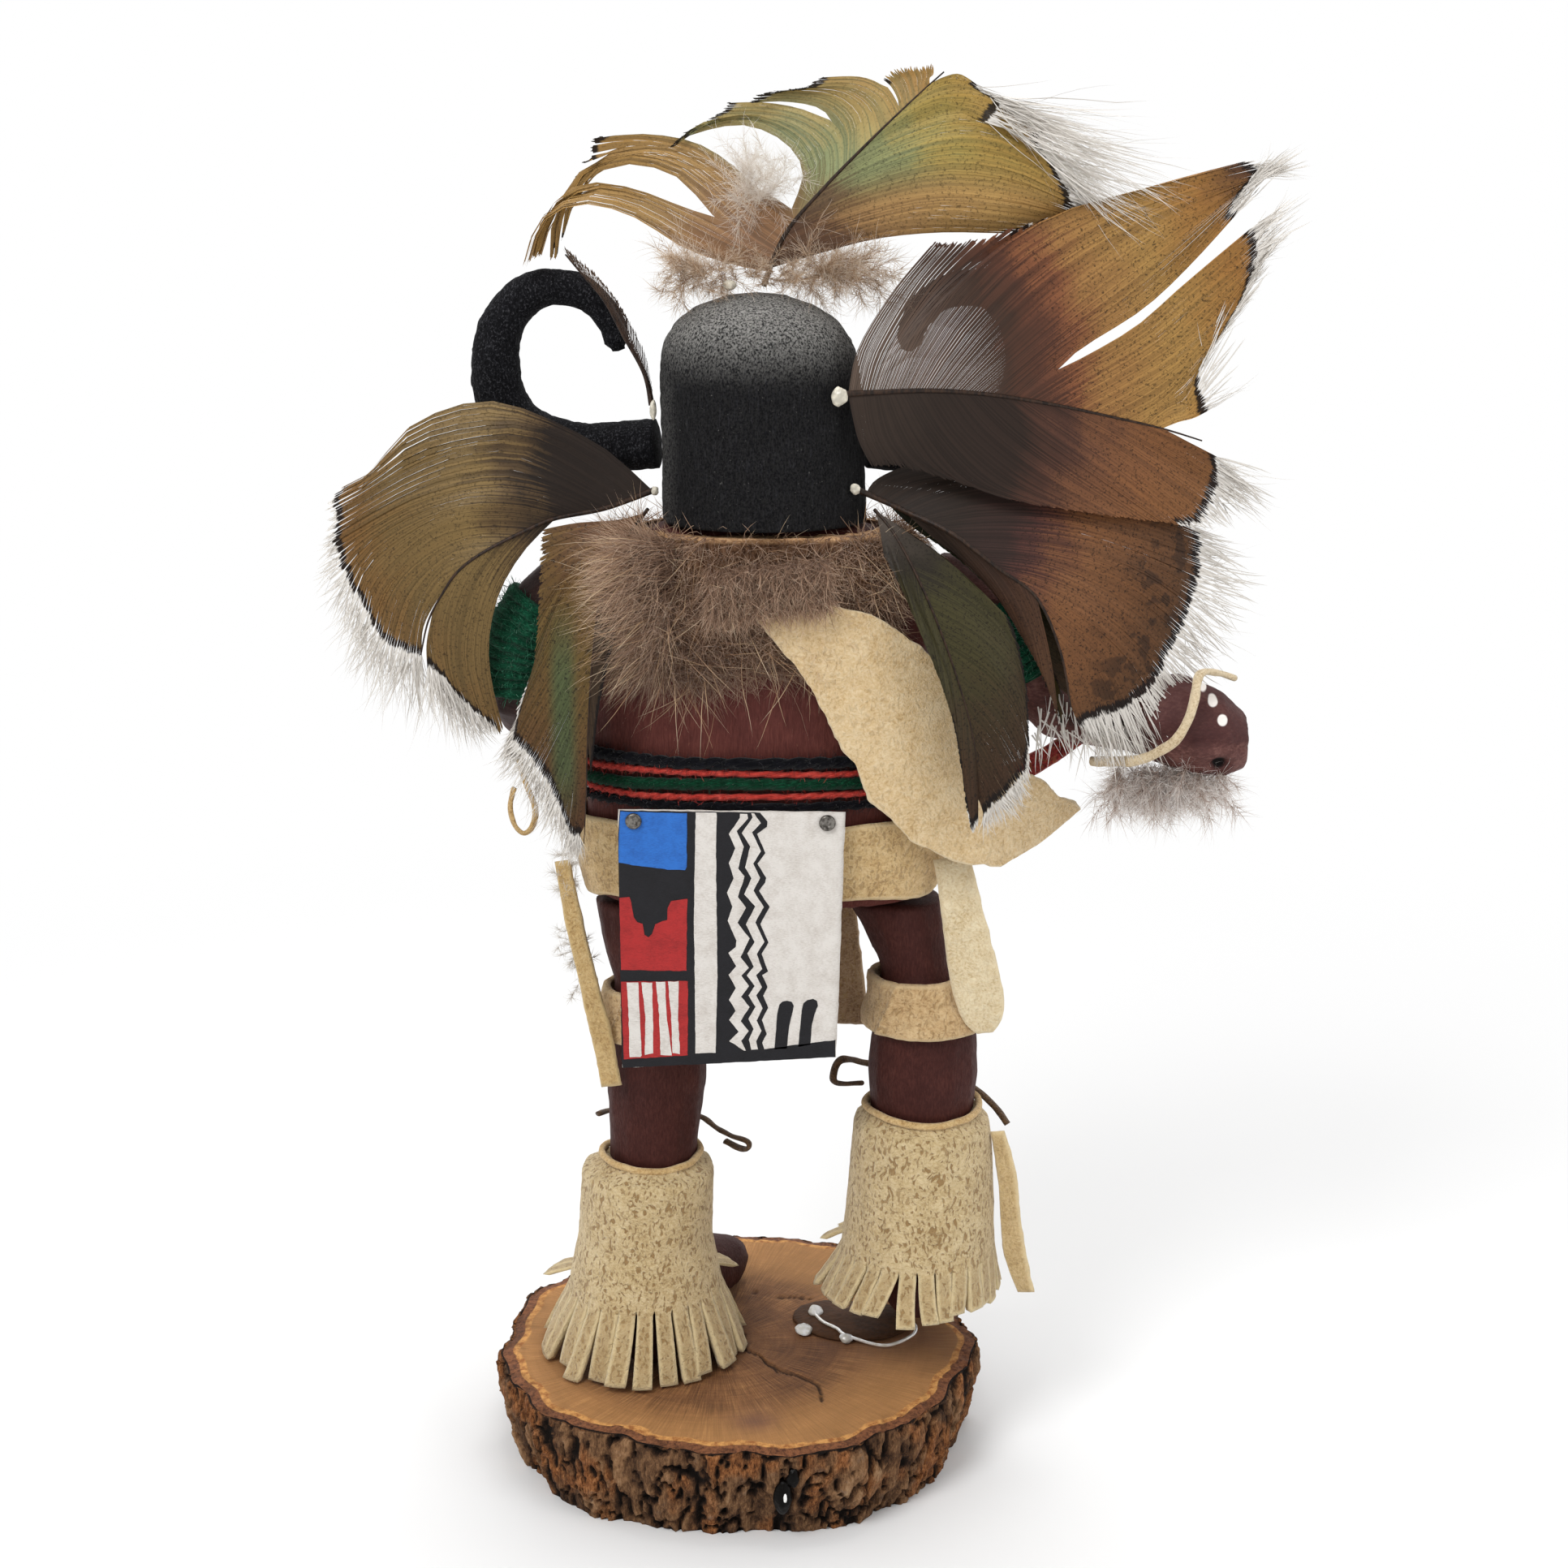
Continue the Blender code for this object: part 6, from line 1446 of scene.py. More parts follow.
def build_vane(points, look, hub, rng, straight):
    """Ribbons for the barbs of one vane, with their white ends: points, faces and traits."""
    fringe, edge, loose, sheer, place = look.T
    points = loosen(points, loose, rng)
    lengths = np.linalg.norm(np.diff(points, axis=1), axis=2).sum(axis=1)
    tip = unit(points[:, -1] - points[:, -3])
    paths, grown = grow_fringe(points, fringe, straight, rng)
    n, count = paths.shape[:2]
    gap, flat, along = vane_face(paths)
    twist = rng.normal(0, 0.05, (n, 1, 1)) + 0.07
    further = np.linspace(0, 1, count)[None, :, None]
    twist = twist + loose[:, None, None] * rng.normal(0, 0.35, (n, 1, 1)) * further
    sides = unit(unit(np.cross(flat, along)) + flat * twist)
    reach = np.linalg.norm(paths - hub, axis=-1) / 80
    half = vane_widths(gap, loose, sheer, reach, straight, rng)
    traits = on_ribbons(vane_traits(reach, lengths, grown, fringe, edge, place, rng))
    verts, faces = ribbons(paths, half, sides)
    # Softer, finer ends between the white barbs
    soft = np.repeat(np.flatnonzero(fringe > 3), 1 if straight else 3)
    if len(soft) == 0:
        return verts, faces, traits
    begin = paths[soft, BARB_STATIONS - 1] + tip[soft] * rng.uniform(0, 0.3,
                                                                     (len(soft), 1)) * fringe[soft, None]
    start = unit(tip[soft] + rng.normal(0, 0.2, (len(soft), 3)) + FRINGE_LIFT)
    reaching = fringe[soft] * rng.uniform(0.25, 1.0, len(soft))
    fine, thin, across = grow_hair(begin, start, reaching, 0.11, 7, rng, 0.0, 0.16, 3.0)
    more, strips = ribbons(fine, thin, across)
    pale = np.broadcast_to((0.5, 0.6, 0.5, 0.5), (*fine.shape[:2], 4))
    faces = faces + [group + len(verts) for group in strips]
    return np.concatenate((verts, more)), faces, np.concatenate((traits, on_ribbons(pale)))


def build_feather(name, feather, finishes, quill_material, rng):
    """One feather: the quill and every barb of both vanes."""
    shaft = curve(feather["shaft"], 160)
    hub = shaft[0].copy()
    nudge = NUDGED.get(name, 0.0)
    for side, (barbs, looks, splits) in enumerate(zip(feather["vanes"], VANE_LOOKS[name],
                                                      feather["splits"])):
        barbs = tuple(barbs) + TIP_BARBS.get((name, side), ())
        points, look = vane_barbs(shaft, barbs, looks, splits, rng)
        points = points[:, :1] + (points - points[:, :1]) * NARROWED.get(name, 1.0)
        points[..., 0] += nudge * ease(0, NUDGE_OVER, hub[2] - points[..., 2])
        verts, faces, traits = build_vane(points, look, hub, rng, name in STRAIGHT)
        vane = make_mesh(f"{name}_vane_{side + 1}", verts, faces, finishes[side], traits=traits)
        dress(vane, name, *((name,) if side == 0 else ()))
    thick = np.interp(np.linspace(0, 1, 160), (0, 0.1, 1), (0.5, 0.4, 0.12)) * QUILL_SHARES.get(name, 1.0)
    shaft[:, 0] += nudge * ease(0, NUDGE_OVER, hub[2] - shaft[:, 2])
    dress(tube(name + "_quill", shaft, thick, 8, quill_material), name)


def build_feathers():
    rng = np.random.default_rng(4)
    finishes = feather_finishes()
    dark = Shader("quill_dark")
    tone = dark.ramp(dark.noise((0.5, 0.5, 2.0), 3.0), ((0.35, (22, 14, 10)), (0.65, (58, 40, 28))))
    quill = dark.finish(tone, 0.5, Specular_IOR_Level=0.25)
    for name, feather in FEATHERS.items():
        second = finishes.get(name + "_left", finishes.get(name + "_low", finishes[name]))
        build_feather(name, feather, (finishes[name], second), quill, rng)


# Branch slice

SLICE_AROUND = 440
SLICE_TOP_ROWS = 50
SLICE_SIDE_ROWS = 34
SLICE_LOW_ROWS = 16
SAW_CENTRE = (-4.0, -2.0, 0.0)
CRACKS = (
    ((2.5, 17.4), (6.0, 15.0), (12.8, 14.1)),
    ((-3.0, 1.5), (1.0, -4.6), (4.0, -8.2), (7.0, -13.3)),
    ((4.5, -9.5), (8.6, -13.6), (12.4, -16.1), (13.9, -19.0), (13.7, -23.0)),
)
STAIN = (3.0, -29.7)
# Centre of the painted shadow on the wood under the right foot
FOOT_SHADOW = (30.0, 0.0)
BARK_LAYERS = 6


def slice_edge(angle, height):
    twist = height / SLICE_HEIGHT
    radius = SLICE_RADIUS + sum(size * np.sin(n * angle + shift + twist) for n, size, shift in BARK_RIDGES)
    levels = np.array(SLICE_LEVELS)
    return radius - np.interp(height, levels[:, 0], levels[:, 1])


def distance_to_path(points, path):
    """Distance in the plane from points (n, 2) to a path of corners."""
    best = np.full(points.shape[:-1], 1e9)
    for a, b in zip(np.array(path)[:-1], np.array(path)[1:]):
        run = b - a
        share = np.clip(((points - a) @ run) / (run @ run), 0, 1)
        best = np.minimum(best, np.linalg.norm(points - a - share[..., None] * run, axis=-1))
    return best


def cut_face(angles):
    """Rings of the cut face from the centre out, with its cracks, a stain, the painted shadow under the right
    foot, and the ring under the bark.
    """
    rim = slice_edge(angles, SLICE_HEIGHT) - 0.5
    for share in np.linspace(0.006, 1, SLICE_TOP_ROWS) ** 0.85:
        r = rim * share
        p = circle(angles, r, SLICE_HEIGHT)
        rough = noise(p * (1, 0.16, 1), 0.9, 5) * 0.05 + fractal(p, 5.0, 2, 6) * 0.06
        wander = np.stack((noise(p, 2.2, 20), noise(p, 2.2, 21)), axis=1) * 0.55
        crack = np.zeros(SLICE_AROUND)
        for path in CRACKS:
            near = distance_to_path(p[:, :2] + wander, path)
            crack = np.maximum(crack, 1 - ease(0.12, 0.42, near))
        split = 1 - ease(0.0, 0.16, np.abs(noise(p * (1, 1, 0) * 0.4, 3.0, 8)) + 0.8 * (1 - share))
        crack = np.maximum(crack, 0.45 * split * ease(0.8, 0.95, share))
        p[:, 2] += rough - 0.45 * crack
        inward = rim - r
        ring = 0.5 * (1 - ease(2.9, 3.6, inward + 0.6 * noise(p, 3.0, 9)))
        ring = np.maximum(ring, 0.85 * (1 - ease(1.6, 2.2, inward + 0.5 * noise(p, 2.0, 10))))
        p[:, 2] -= 0.35 * (1 - ease(0.2, 2.2, inward)) * (1 + noise(p, 1.8, 12))
        stain_and_shadow = np.exp(-((p[:, 0] - STAIN[0]) ** 2 + (p[:, 1] - STAIN[1]) ** 2) / 14)
        # Painted shadow on the wood under the right foot, joined to the real stain
        foot_shadow = 0.8 * np.exp(-((p[:, 0] - FOOT_SHADOW[0]) ** 2 / 160 + (p[:, 1] - FOOT_SHADOW[1]) ** 2 / 130))
        stain_and_shadow = np.clip(np.maximum(stain_and_shadow, foot_shadow) + 0.35 * fractal(p, 4.0, 3, 13) * (stain_and_shadow + foot_shadow), 0, 1)
        yield p, (crack, ring, stain_and_shadow, 0.5 + 0.5 * fractal(p, 3.0, 3, 14))


def bark(angles):
    """Rings of the bark from the rim down: leaning plates with gaps between, and flakes in layers."""
    for share in np.linspace(0, 1, SLICE_SIDE_ROWS):
        z = (SLICE_HEIGHT - 0.2) * (1 - share)
        r = slice_edge(angles, z)
        p = circle(angles, r, z)
        lean = p + (drift(p, 3.6, 30) + 0.4 * drift(p, 1.2, 26)) * (0.55, 0.55, 1.5)
        narrow = np.abs(noise(lean * (1, 1, 0.2), 1.5, 31))
        wide = np.abs(noise(lean * (1, 1, 0.34), 3.4, 32)) * 1.6
        gap = 1 - ease(0.0, 0.16, np.minimum(narrow, wide))
        body = 0.5 + 0.5 * fractal(lean * (1, 1, 0.36), 2.4, 4, 37)
        # Layers that broke off in flakes: steps with sharp edges
        layer = body * BARK_LAYERS
        step = (np.floor(layer) + ease(0.3, 0.62, layer - np.floor(layer))) / BARK_LAYERS
        fibres = fractal(lean * (1, 1, 0.16), 0.62, 3, 34)
        height = np.clip(0.12 + 0.8 * step + 0.14 * fibres - 0.55 * gap, 0, 1)
        ends = ease(0, 0.05, share) * (1 - 0.5 * ease(0.93, 1, share))
        r = r + (height - 0.5) * 2.6 * (0.35 + 0.65 * ends)
        fray = 0.5 * noise(p, 1.4, 35) * (1 - ease(0.0, 0.1, share)) - 0.3 * (1 - ease(0.0, 0.06, share))
        p = circle(angles, r, np.clip(z + fray, 0.0, SLICE_HEIGHT + 0.4))
        rust = 0.5 + 0.5 * fractal(p * (1, 1, 0.6), 4.2, 3, 36)
        yield p, (height, rust, 0 * r, body)


def underside(angles):
    for share in np.linspace(0.985, 0.01, SLICE_LOW_ROWS):
        r = slice_edge(angles, 0.0) * share
        zero = np.zeros_like(r)
        yield circle(angles, r, 0.0), (zero, zero + 0.8 * (share > 0.95), zero, zero + 0.5)


def build_slice():
    angles = round_angles(SLICE_AROUND)
    rings = [*cut_face(angles), *bark(angles), *underside(angles)]
    grid = np.array([points for points, _ in rings])
    traits = np.array([np.stack(looks, axis=1) for _, looks in rings]).reshape(-1, 4)
    count = len(grid)
    faces = grid_faces(count, SLICE_AROUND, wrap_columns=True)
    caps = end_fans(count, SLICE_AROUND)
    row_of_face = np.repeat(np.arange(count - 1), SLICE_AROUND)
    in_bark = (row_of_face >= SLICE_TOP_ROWS - 1) & (row_of_face < SLICE_TOP_ROWS + SLICE_SIDE_ROWS)
    slots = np.concatenate((in_bark.astype(int), np.zeros(len(caps), int)))
    verts = np.concatenate((grid.reshape(-1, 3), [grid[0].mean(axis=0), grid[-1].mean(axis=0)]))
    traits = np.clip(np.concatenate((traits, [(0, 0, 0, 0.5)] * 2)), 0, 1)
    piece = make_mesh("base_slice_wood", verts, [faces[:, ::-1], caps[:, ::-1]],
                      [wood_material(), bark_material()], traits=traits, slots=slots)
    dress(piece, "base_slice", "base_slice")


# Mask and horns

MASK_AROUND = 260
MASK_DOME_FROM = 186
MASK_PEAK = 194.75
HORN_SIDES = 30


def soft_box(x, z, half_width, half_height, blur):
    inside = np.minimum(half_width - np.abs(x), half_height - np.abs(z))
    return ease(-blur, blur, inside)


def build_mask():
    """The case mask: fibrous wood, a domed top, and an eye or mouth cut in each of three places."""
    table = np.array(MASK_STATIONS)
    heights = np.concatenate((np.linspace(table[0, 0], MASK_DOME_FROM, 60),
                              np.linspace(MASK_DOME_FROM + 0.3, table[-1, 0], 24)))
    angles = round_angles(MASK_AROUND)
    smooth = weave(table, np.interp(heights, table[:, 0], np.arange(len(table))))
    openings = (
        (MASK_PLANE - EYE_SPACING / 2, EYE_HEIGHT, EYE_SLIT),
        (MASK_PLANE + EYE_SPACING / 2, EYE_HEIGHT, EYE_SLIT),
        (MASK_PLANE, MOUTH_HEIGHT, MOUTH_SLIT),
    )
    rows = []
    cuts = []
    for height, radius, across in np.stack((heights, smooth[:, 1], smooth[:, 2]), axis=1):
        p = circle(angles, radius, height, across, MASK_DEPTH)
        cut = np.zeros(MASK_AROUND)
        for x, z, (wide, tall) in openings:
            box = soft_box(p[:, 0] - x, height - z, wide / 2, tall / 2, 0.22)
            cut = np.maximum(cut, (np.sin(angles) > 0) * box)
        fibre = 0.13 * noise(p * (1, 1, 0.22), 0.42, 50) + 0.10 * noise(p * (1, 1, 0.5), 1.3, 51)
        fibre = fibre + 0.12 * fractal(p, 5.0, 2, 52)
        p = circle(angles, radius + fibre - FACE_CUT_DEPTH * cut, height, across, MASK_DEPTH)
        p[:, 2] += 0.10 * noise(p, 1.4, 53) * (height > MASK_DOME_FROM + 1)
        rows.append(p)
        cuts.append(cut)
    # Under the rim the wall turns in, so that no thin edge shows
    lip = rows[0].copy()
    lip[:, :2] = lip[:, :2] * 0.86 + np.array((MASK_PLANE, MASK_DEPTH)) * 0.14
    grid = np.array([lip, *rows])
    ends = ((MASK_PLANE, MASK_DEPTH, table[0, 0]), (table[-1, 2], MASK_DEPTH, MASK_PEAK))
    cut = np.concatenate((cuts[0], *cuts, (0, 0)))
    traits = np.stack((cut, 0 * cut, 0 * cut, 0 * cut + 1), axis=1)
    faces = grid_faces(len(grid), MASK_AROUND, wrap_columns=True)
    caps = end_fans(len(grid), MASK_AROUND)[:, ::-1]
    verts = np.concatenate((grid.reshape(-1, 3), ends))
    dress(make_mesh("mask_case", verts, [faces, caps], black_paint("mask_paint", True),
                    traits=traits), "mask", "mask")


def black_paint(name, case):
    """Matte black over fibrous wood. The case is greyer on its dome, a painted highlight of the light from
    above broken into specks, and greyer towards the doll's left side. Its openings are pale.
    """
    s = Shader(name)
    stroke = s.noise((0.3, 0.3, 2.0) if case else (0.4, 0.4, 0.9), 4.0, 0.7, warp=0.7)
    colour = s.ramp(stroke, ((0.32, (4, 4, 6)), (0.54, (12, 12, 15)), (0.74, (36, 36, 40))))
    pit = s.noise((0.32, 0.32, 0.42), 3.0, 0.75)
    if case:
        # Grey specks: a few everywhere, dense on the dome as a painted highlight of the light from above, and
        # denser towards the doll's left side
        dome_highlight = s.band(s.part(s.place, 2), 180.0, 192.5, 0.04, 1.0)
        side = s.band(s.part(s.place, 0), -7.0, -12.5, 0.0, 0.3)
        grey = s.times(s.band(pit, 0.36, 0.62), s.math("MAXIMUM", dome_highlight, side))
        colour = s.mix(grey, colour, (150, 148, 144))
        dots = s.times(s.band(s.noise(0.5, 2.0, 0.8), 0.68, 0.76), 0.5)
        colour = s.mix(dots, colour, (120, 118, 114))
        paint = s.ramp(stroke, ((0.35, (176, 166, 146)), (0.65, (214, 206, 188))))
        colour = s.mix(s.band(s.trait(0), 0.45, 0.75), colour, paint)
    else:
        colour = s.mix(s.times(s.band(pit, 0.5, 0.7), 0.5), colour, (86, 86, 90))
    relief = s.math("MULTIPLY_ADD", pit, 0.6, stroke)
    return s.finish(colour, 0.9, s.bump(relief, 0.32, 0.9), Specular_IOR_Level=0.12)


def build_horns():
    paint = black_paint("horn_paint", False)
    path = curve([(*p, r) for p, r in zip(HORN_PATH, HORN_RADII)], 150)
    from_tip = np.linspace(1, 0, len(path))
    radius = (path[:, 3] * np.sqrt(np.clip(from_tip / 0.02, 0.25, 1)))[:, None, None]
    for name, mirrored in (("horn_left", False), ("horn_right", True)):
        line = path[:, :3].copy()
        if mirrored:
            line[:, 0] = 2 * MASK_PLANE - line[:, 0]
        ring = rings_along(line, HORN_SIDES)
        surface = line[:, None] + ring * radius
        rough = 0.16 * noise(surface, 0.9, 60 + mirrored) + 0.22 * fractal(surface, 3.4, 2, 62)
        grid = line[:, None] + ring * (radius + rough[..., None])
        tip = line[-1] + (line[-1] - line[-2]) * 0.4
        faces = [grid_faces(len(line), HORN_SIDES, wrap_columns=True)[:, ::-1],
                 end_fans(len(line), HORN_SIDES)]
        verts = np.concatenate((grid.reshape(-1, 3), [line[0], tip]))
        dress(make_mesh(name + "_carving", verts, faces, paint), name, name)


# Carved body

FIST = (73.7, -11.0, 127.6)
GRIP = (76.8, 122.1)
KNUCKLES = 125.0
FIST_DOTS = ((75.4, 132.0), (76.8, 129.2), (74.2, 134.0))
TOES_OUT = 4.8


def torso_relief(p):
    return 0.12 * noise(p * (1, 1, 0.3), 0.9, 70) + 0.16 * fractal(p, 6.0, 2, 71)


def limb_relief(p):
    return 0.10 * noise(p * (1, 1, 0.4), 0.9, 72) + 0.14 * fractal(p, 4.0, 2, 73)


def build_carving():
    maroon = brushed_paint("maroon_paint", (62, 28, 25), (84, 42, 37), (104, 56, 48), (142, 100, 80),
                           wear=0.35)
    dark = brushed_paint("leg_paint", (44, 19, 16), (60, 28, 24), (80, 42, 35), (120, 82, 64),
                         (0.3, 0.3, 1.2), 0.25)
    carve("torso", 1.15, maroon, torso_relief)
    carve("leg_left", 0.9, dark, limb_relief, reshape=shape_foot)
    carve("leg_right", 0.9, dark, limb_relief)
    carve("arm_left", 0.65, arm_paint("arm_left"), limb_relief, 5)
    carve("arm_right", 0.65, arm_paint("arm_right"), limb_relief, 5, shape_fist)


def shape_foot(points):
    """The toes of the left foot turn out past the anklet."""
    share = ease(3, 20, points[:, 1]) * (1 - ease(30, 36, points[:, 2]))
    moved = points.copy()
    moved[:, 0] += TOES_OUT * share
    moved[:, 2] += 0.35 * share * np.clip(points[:, 2] - 17.0, 0, 20)
    return moved


def shape_fist(points):
    """The fist leans: its upper side is set back towards the wrist and its lower side is flatter."""
    away = np.linalg.norm(points - FIST, axis=1)
    share = 1 - ease(8.5, 12.5, away)
    rise = points[:, 2] - FIST[2]
    moved = points.copy()
    moved[:, 0] -= share * 0.42 * rise
    moved[:, 2] -= share * 0.6 * ease(2, 7, -rise)
    # Groove between the fingers and the back of the hand, and the hollow of the grip
    line = KNUCKLES + 1.6 * np.sin((points[:, 0] - 62) / 16 * math.pi) - moved[:, 2]
    groove = np.exp(-((line / 0.5) ** 2)) * (points[:, 0] > 64) * share
    hollow = np.exp(-(((moved[:, 0] - GRIP[0]) / 1.7) ** 2 + ((moved[:, 2] - GRIP[1]) / 0.9) ** 2)) * share
    moved[:, 1] += (0.55 * groove + 2.2 * hollow) * (points[:, 1] < FIST[1])
    return moved


ARM_TONES = {
    "arm_left": ((36, 20, 18), (52, 30, 27), (84, 54, 48)),
    "arm_right": ((54, 27, 24), (84, 48, 44), (128, 88, 80)),
}


def arm_paint(node):
    """The same maroon, darker on the left arm and lighter on the raised right arm, with white dots on its
    fist and a painted shadow in the hollow of its grip.
    """
    s = Shader(node + "_paint")
    stroke = s.noise((0.9, 0.4, 0.4), 4.0, 0.65, warp=0.6)
    tone = s.weigh(stroke, 0.55, s.noise(5.0, 3.0, 0.55), 0.45)
    colour = s.ramp(tone, tuple(zip((0.3, 0.5, 0.72), ARM_TONES[node])))
    if node == "arm_right":
        fingers = s.times(s.band(s.part(s.place, 0), 64.0, 66.0),
                          s.band(s.part(s.place, 2), 126.0, 124.6, 1.0, 0.0))
        colour = s.mix(s.times(fingers, 0.6), colour, (62, 26, 26))
        flat = s.vector("MULTIPLY", s.place, (1.0, 0.0, 1.0))
        # The near-black disc at the grip is painted shade in the hollow of the fist; the dots are white paint
        for (x, z), inner, outer, tint in ((GRIP, 0.7, 1.4, (14, 6, 5)),
                                           *((dot, 0.7, 0.95, (236, 230, 224)) for dot in FIST_DOTS)):
            apart = s.vector("DISTANCE", flat, (x, 0.0, z), 1)
            colour = s.mix(s.band(apart, inner, outer, 1.0, 0.0), colour, tint)
    return s.finish(colour, 0.68, s.bump(stroke, 0.22, 0.7), Specular_IOR_Level=0.3)


# Fur collar


def outside_torso(points, offset):
    """Pushes points that sink into the chest back out to an offset from it."""
    z = np.clip(points[..., 2], 97, 158.8)
    half_width, half_depth, across, depth = (np.asarray(v) for v in between(TORSO_STATIONS, z))
    dx = (points[..., 0] - across) / (half_width + offset)
    dy = (points[..., 1] - depth) / (half_depth + offset)
    size = (np.abs(dx) ** TORSO_SQUARENESS + np.abs(dy) ** TORSO_SQUARENESS) ** (1 / TORSO_SQUARENESS)
    grow = np.where((size < 1) & (points[..., 2] < 157), 1 / np.maximum(size, 0.3), 1.0)
    moved = points.copy()
    moved[..., 0] = across + (points[..., 0] - across) * grow
    moved[..., 1] = depth + (points[..., 1] - depth) * grow
    return moved


def skin_relief(p):
    return -0.25 + 0.2 * noise(p, 2.0, 80)


def collar_skin():
    """Skin under the fur, with its cut edge showing at the neck."""
    s = Shader("collar_skin")
    tan = s.ramp(s.noise((0.4, 0.4, 0.4), 3.0), ((0.35, (150, 112, 80)), (0.65, (198, 160, 120))))
    fur = s.ramp(s.noise((0.6, 0.6, 1.4), 3.0), ((0.35, (70, 48, 34)), (0.65, (122, 92, 70))))
    colour = s.mix(s.band(s.part(s.place, 2), 157.2, 158.0), fur, tan)
    return s.finish(colour, 0.95, s.bump(s.noise(0.4, 3.0), 0.3), Specular_IOR_Level=0.1)


def outer_face(centres, normals):
    return (normals[:, 2] > -0.3) * (centres[:, 2] < 158.2) * 1.0 + 0.02


def clear_of_torso(made, rng):
    paths, half, sides = made
    return outside_torso(paths, rng.uniform(0.3, 3.2, (len(paths), 1))), half, sides


def locks(rng, count, length, width, lift, spread, fall, curl, steps):
    """Hair all round the collar, in locks: neighbouring hairs lean the same way."""
    roots, normals = scatter("fur_collar", count, rng, outer_face)
    low = 1 - ease(138, 150, roots[:, 2])
    lean = (drift(roots, 4.5, 200) + 0.5 * drift(roots, 2.0, 204)) * 0.85
    start = normals * (1, 1, 0.3) * lift + lean + rng.normal(0, spread,
                                                             (count, 3)) + np.array((0, 0, -0.45))
    lengths = rng.uniform(*length, count) * (1 + 0.2 * low + 0.35 * low * (roots[:, 0] < 2))
    made = grow_hair(roots - normals * 0.3, start, lengths, width, steps, rng, fall, curl, 3.0)
    return clear_of_torso(made, rng)


def sideways(rng, count, length, curl, steps):
    """Hair that spreads over the left feather and the shoulders."""
    height = rng.uniform(0, 1, count) ** 0.8
    x = -9.0 - 6.0 * rng.uniform(0, 1, count)
    roots = np.stack((x, -15.5 - 3.0 * rng.uniform(0, 1, count), 139 + 19 * height), axis=1)
    start = np.array((-1.0, -0.45, -0.35)) + drift(roots, 3.5, 230) * 0.7 + rng.normal(0, 0.35, (count, 3))
    lengths = rng.uniform(*length, count)
    return clear_of_torso(grow_hair(roots, start, lengths, 0.1, steps, rng, 0.05, curl, 3.0), rng)


def over_sash(rng, count):
    """Fur over the upper end of the sash."""
    across = rng.uniform(-4, 15, count)
    depth = rng.uniform(-22.4, -19.0, count)
    roots = np.stack((across, depth, rng.uniform(146.8, 154.5, count) + 0.1 * across), axis=1)
    start = np.array((0.05, -0.25, -0.8)) + rng.normal(0, 0.5, (count, 3))
    return grow_hair(roots, start, rng.uniform(2.0, 5.5, count), 0.1, 4, rng, 0.1, 0.7, 3.0)


def build_collar():
    rng = np.random.default_rng(11)
    carve("fur_collar", 1.1, collar_skin(), skin_relief, 3)
    under = hair_material(
        "fur_under",
        ((0.0, (108, 80, 62)), (0.3, (142, 112, 90)), (0.65, (172, 142, 118)), (1.0, (206, 180, 156))),
        0.55, 0.3, 0.3, shaded=((84, 56, 42), 134.0, 148.0, 0.6),
    )
    guard = hair_material(
        "fur_guard",
        ((0.0, (118, 88, 64)), (0.35, (160, 124, 92)), (0.7, (214, 184, 146)), (1.0, (234, 214, 184))),
        0.5, 0.25, 0.2, 0.45,
    )
    for name, grow, settings, finish in (
        ("collar_underfur", locks, (15500, (2.8, 6.0), 0.12, 0.6, 0.55, 0.06, 0.85, 4), under),
        ("collar_guard_hair", locks, (1300, (6.0, 12.0), 0.1, 0.8, 0.9, 0.02, 0.14, 7), guard),
        ("collar_side_hair", sideways, (5200, (4.0, 13.0), 0.6, 5), under),
        ("collar_side_guard", sideways, (420, (8.0, 16.0), 0.14, 8), guard),
        ("collar_front_hair", over_sash, (4200,), under),
    ):
        dress(hair_mesh(name, grow(rng, *settings), finish, rng), "fur_collar")


# Yarn

YARN_TONES = {
    "black": ((4, 4, 7), (9, 9, 13), (26, 26, 32)),
    "red": ((110, 28, 22), (176, 52, 44), (212, 98, 86)),
    "green": ((1, 22, 11), (4, 42, 25), (24, 78, 54)),
}
# Plies, turns round the waist, thickness as a share of the solid's, and loose fibres with their length
BELT_WOOL = {
    "black": (2, 30, 1.2, 2700, (0.6, 2.6)),
    "red": (2, 34, 0.92, 1200, (0.5, 1.7)),
    "green": (3, 26, 1.1, 1700, (0.5, 1.7)),
}
BELT_STATIONS = 360
BELT_STEP = 0.39
PLY_SIDES = 6
PLY_SHARE = 0.72
ARM_YARN = {"arm_yarn_left": (ARM_LEFT, 146.0, 132.6), "arm_yarn_right": (ARM_RIGHT, 145.0, 134.0)}
ARM_YARN_RADIUS = 0.85
ARM_YARN_REACH = 6.3
ARM_YARN_PITCH = 1.35
ARM_YARN_CORE = 5.7


def closed_ply(centres, outward, radius, phase, turns, sides, share):
    """A ply that winds round a closed path: points of its tube, ring by ring."""
    turn = np.linspace(0, 2 * math.pi * turns, len(centres), endpoint=False) + phase
    up = np.array((0.0, 0.0, 1.0))
    centre = centres + (outward * np.cos(turn)[:, None] + up * np.sin(turn)[:, None]) * radius * (1 - share)
    around = round_angles(sides)[:, None]
    return centre[:, None] + (outward[:, None] * np.cos(around) + up * np.sin(around)) * radius * share


def fuzz(centres, spread, count, length, width, rng, material, name, slot):
    """Loose fibres that stand off a yarn."""
    chosen = rng.integers(0, len(centres), count)
    direction = unit(rng.normal(size=(count, 3)))
    roots = centres[chosen] + direction * spread
    lengths = rng.uniform(*length, count)
    start = direction + rng.normal(0, 0.6, (count, 3))
    made = grow_hair(roots, start, lengths, width, 4, rng, 0.05, 0.6, 1.6)
    return dress(hair_mesh(name, made, material, rng), slot)


def fibre_material(name, dark, mid, light):
    return hair_material(name, ((0.0, dark), (0.5, mid), (1.0, light)), 0.5, 0.3, 0.15, 0.8)


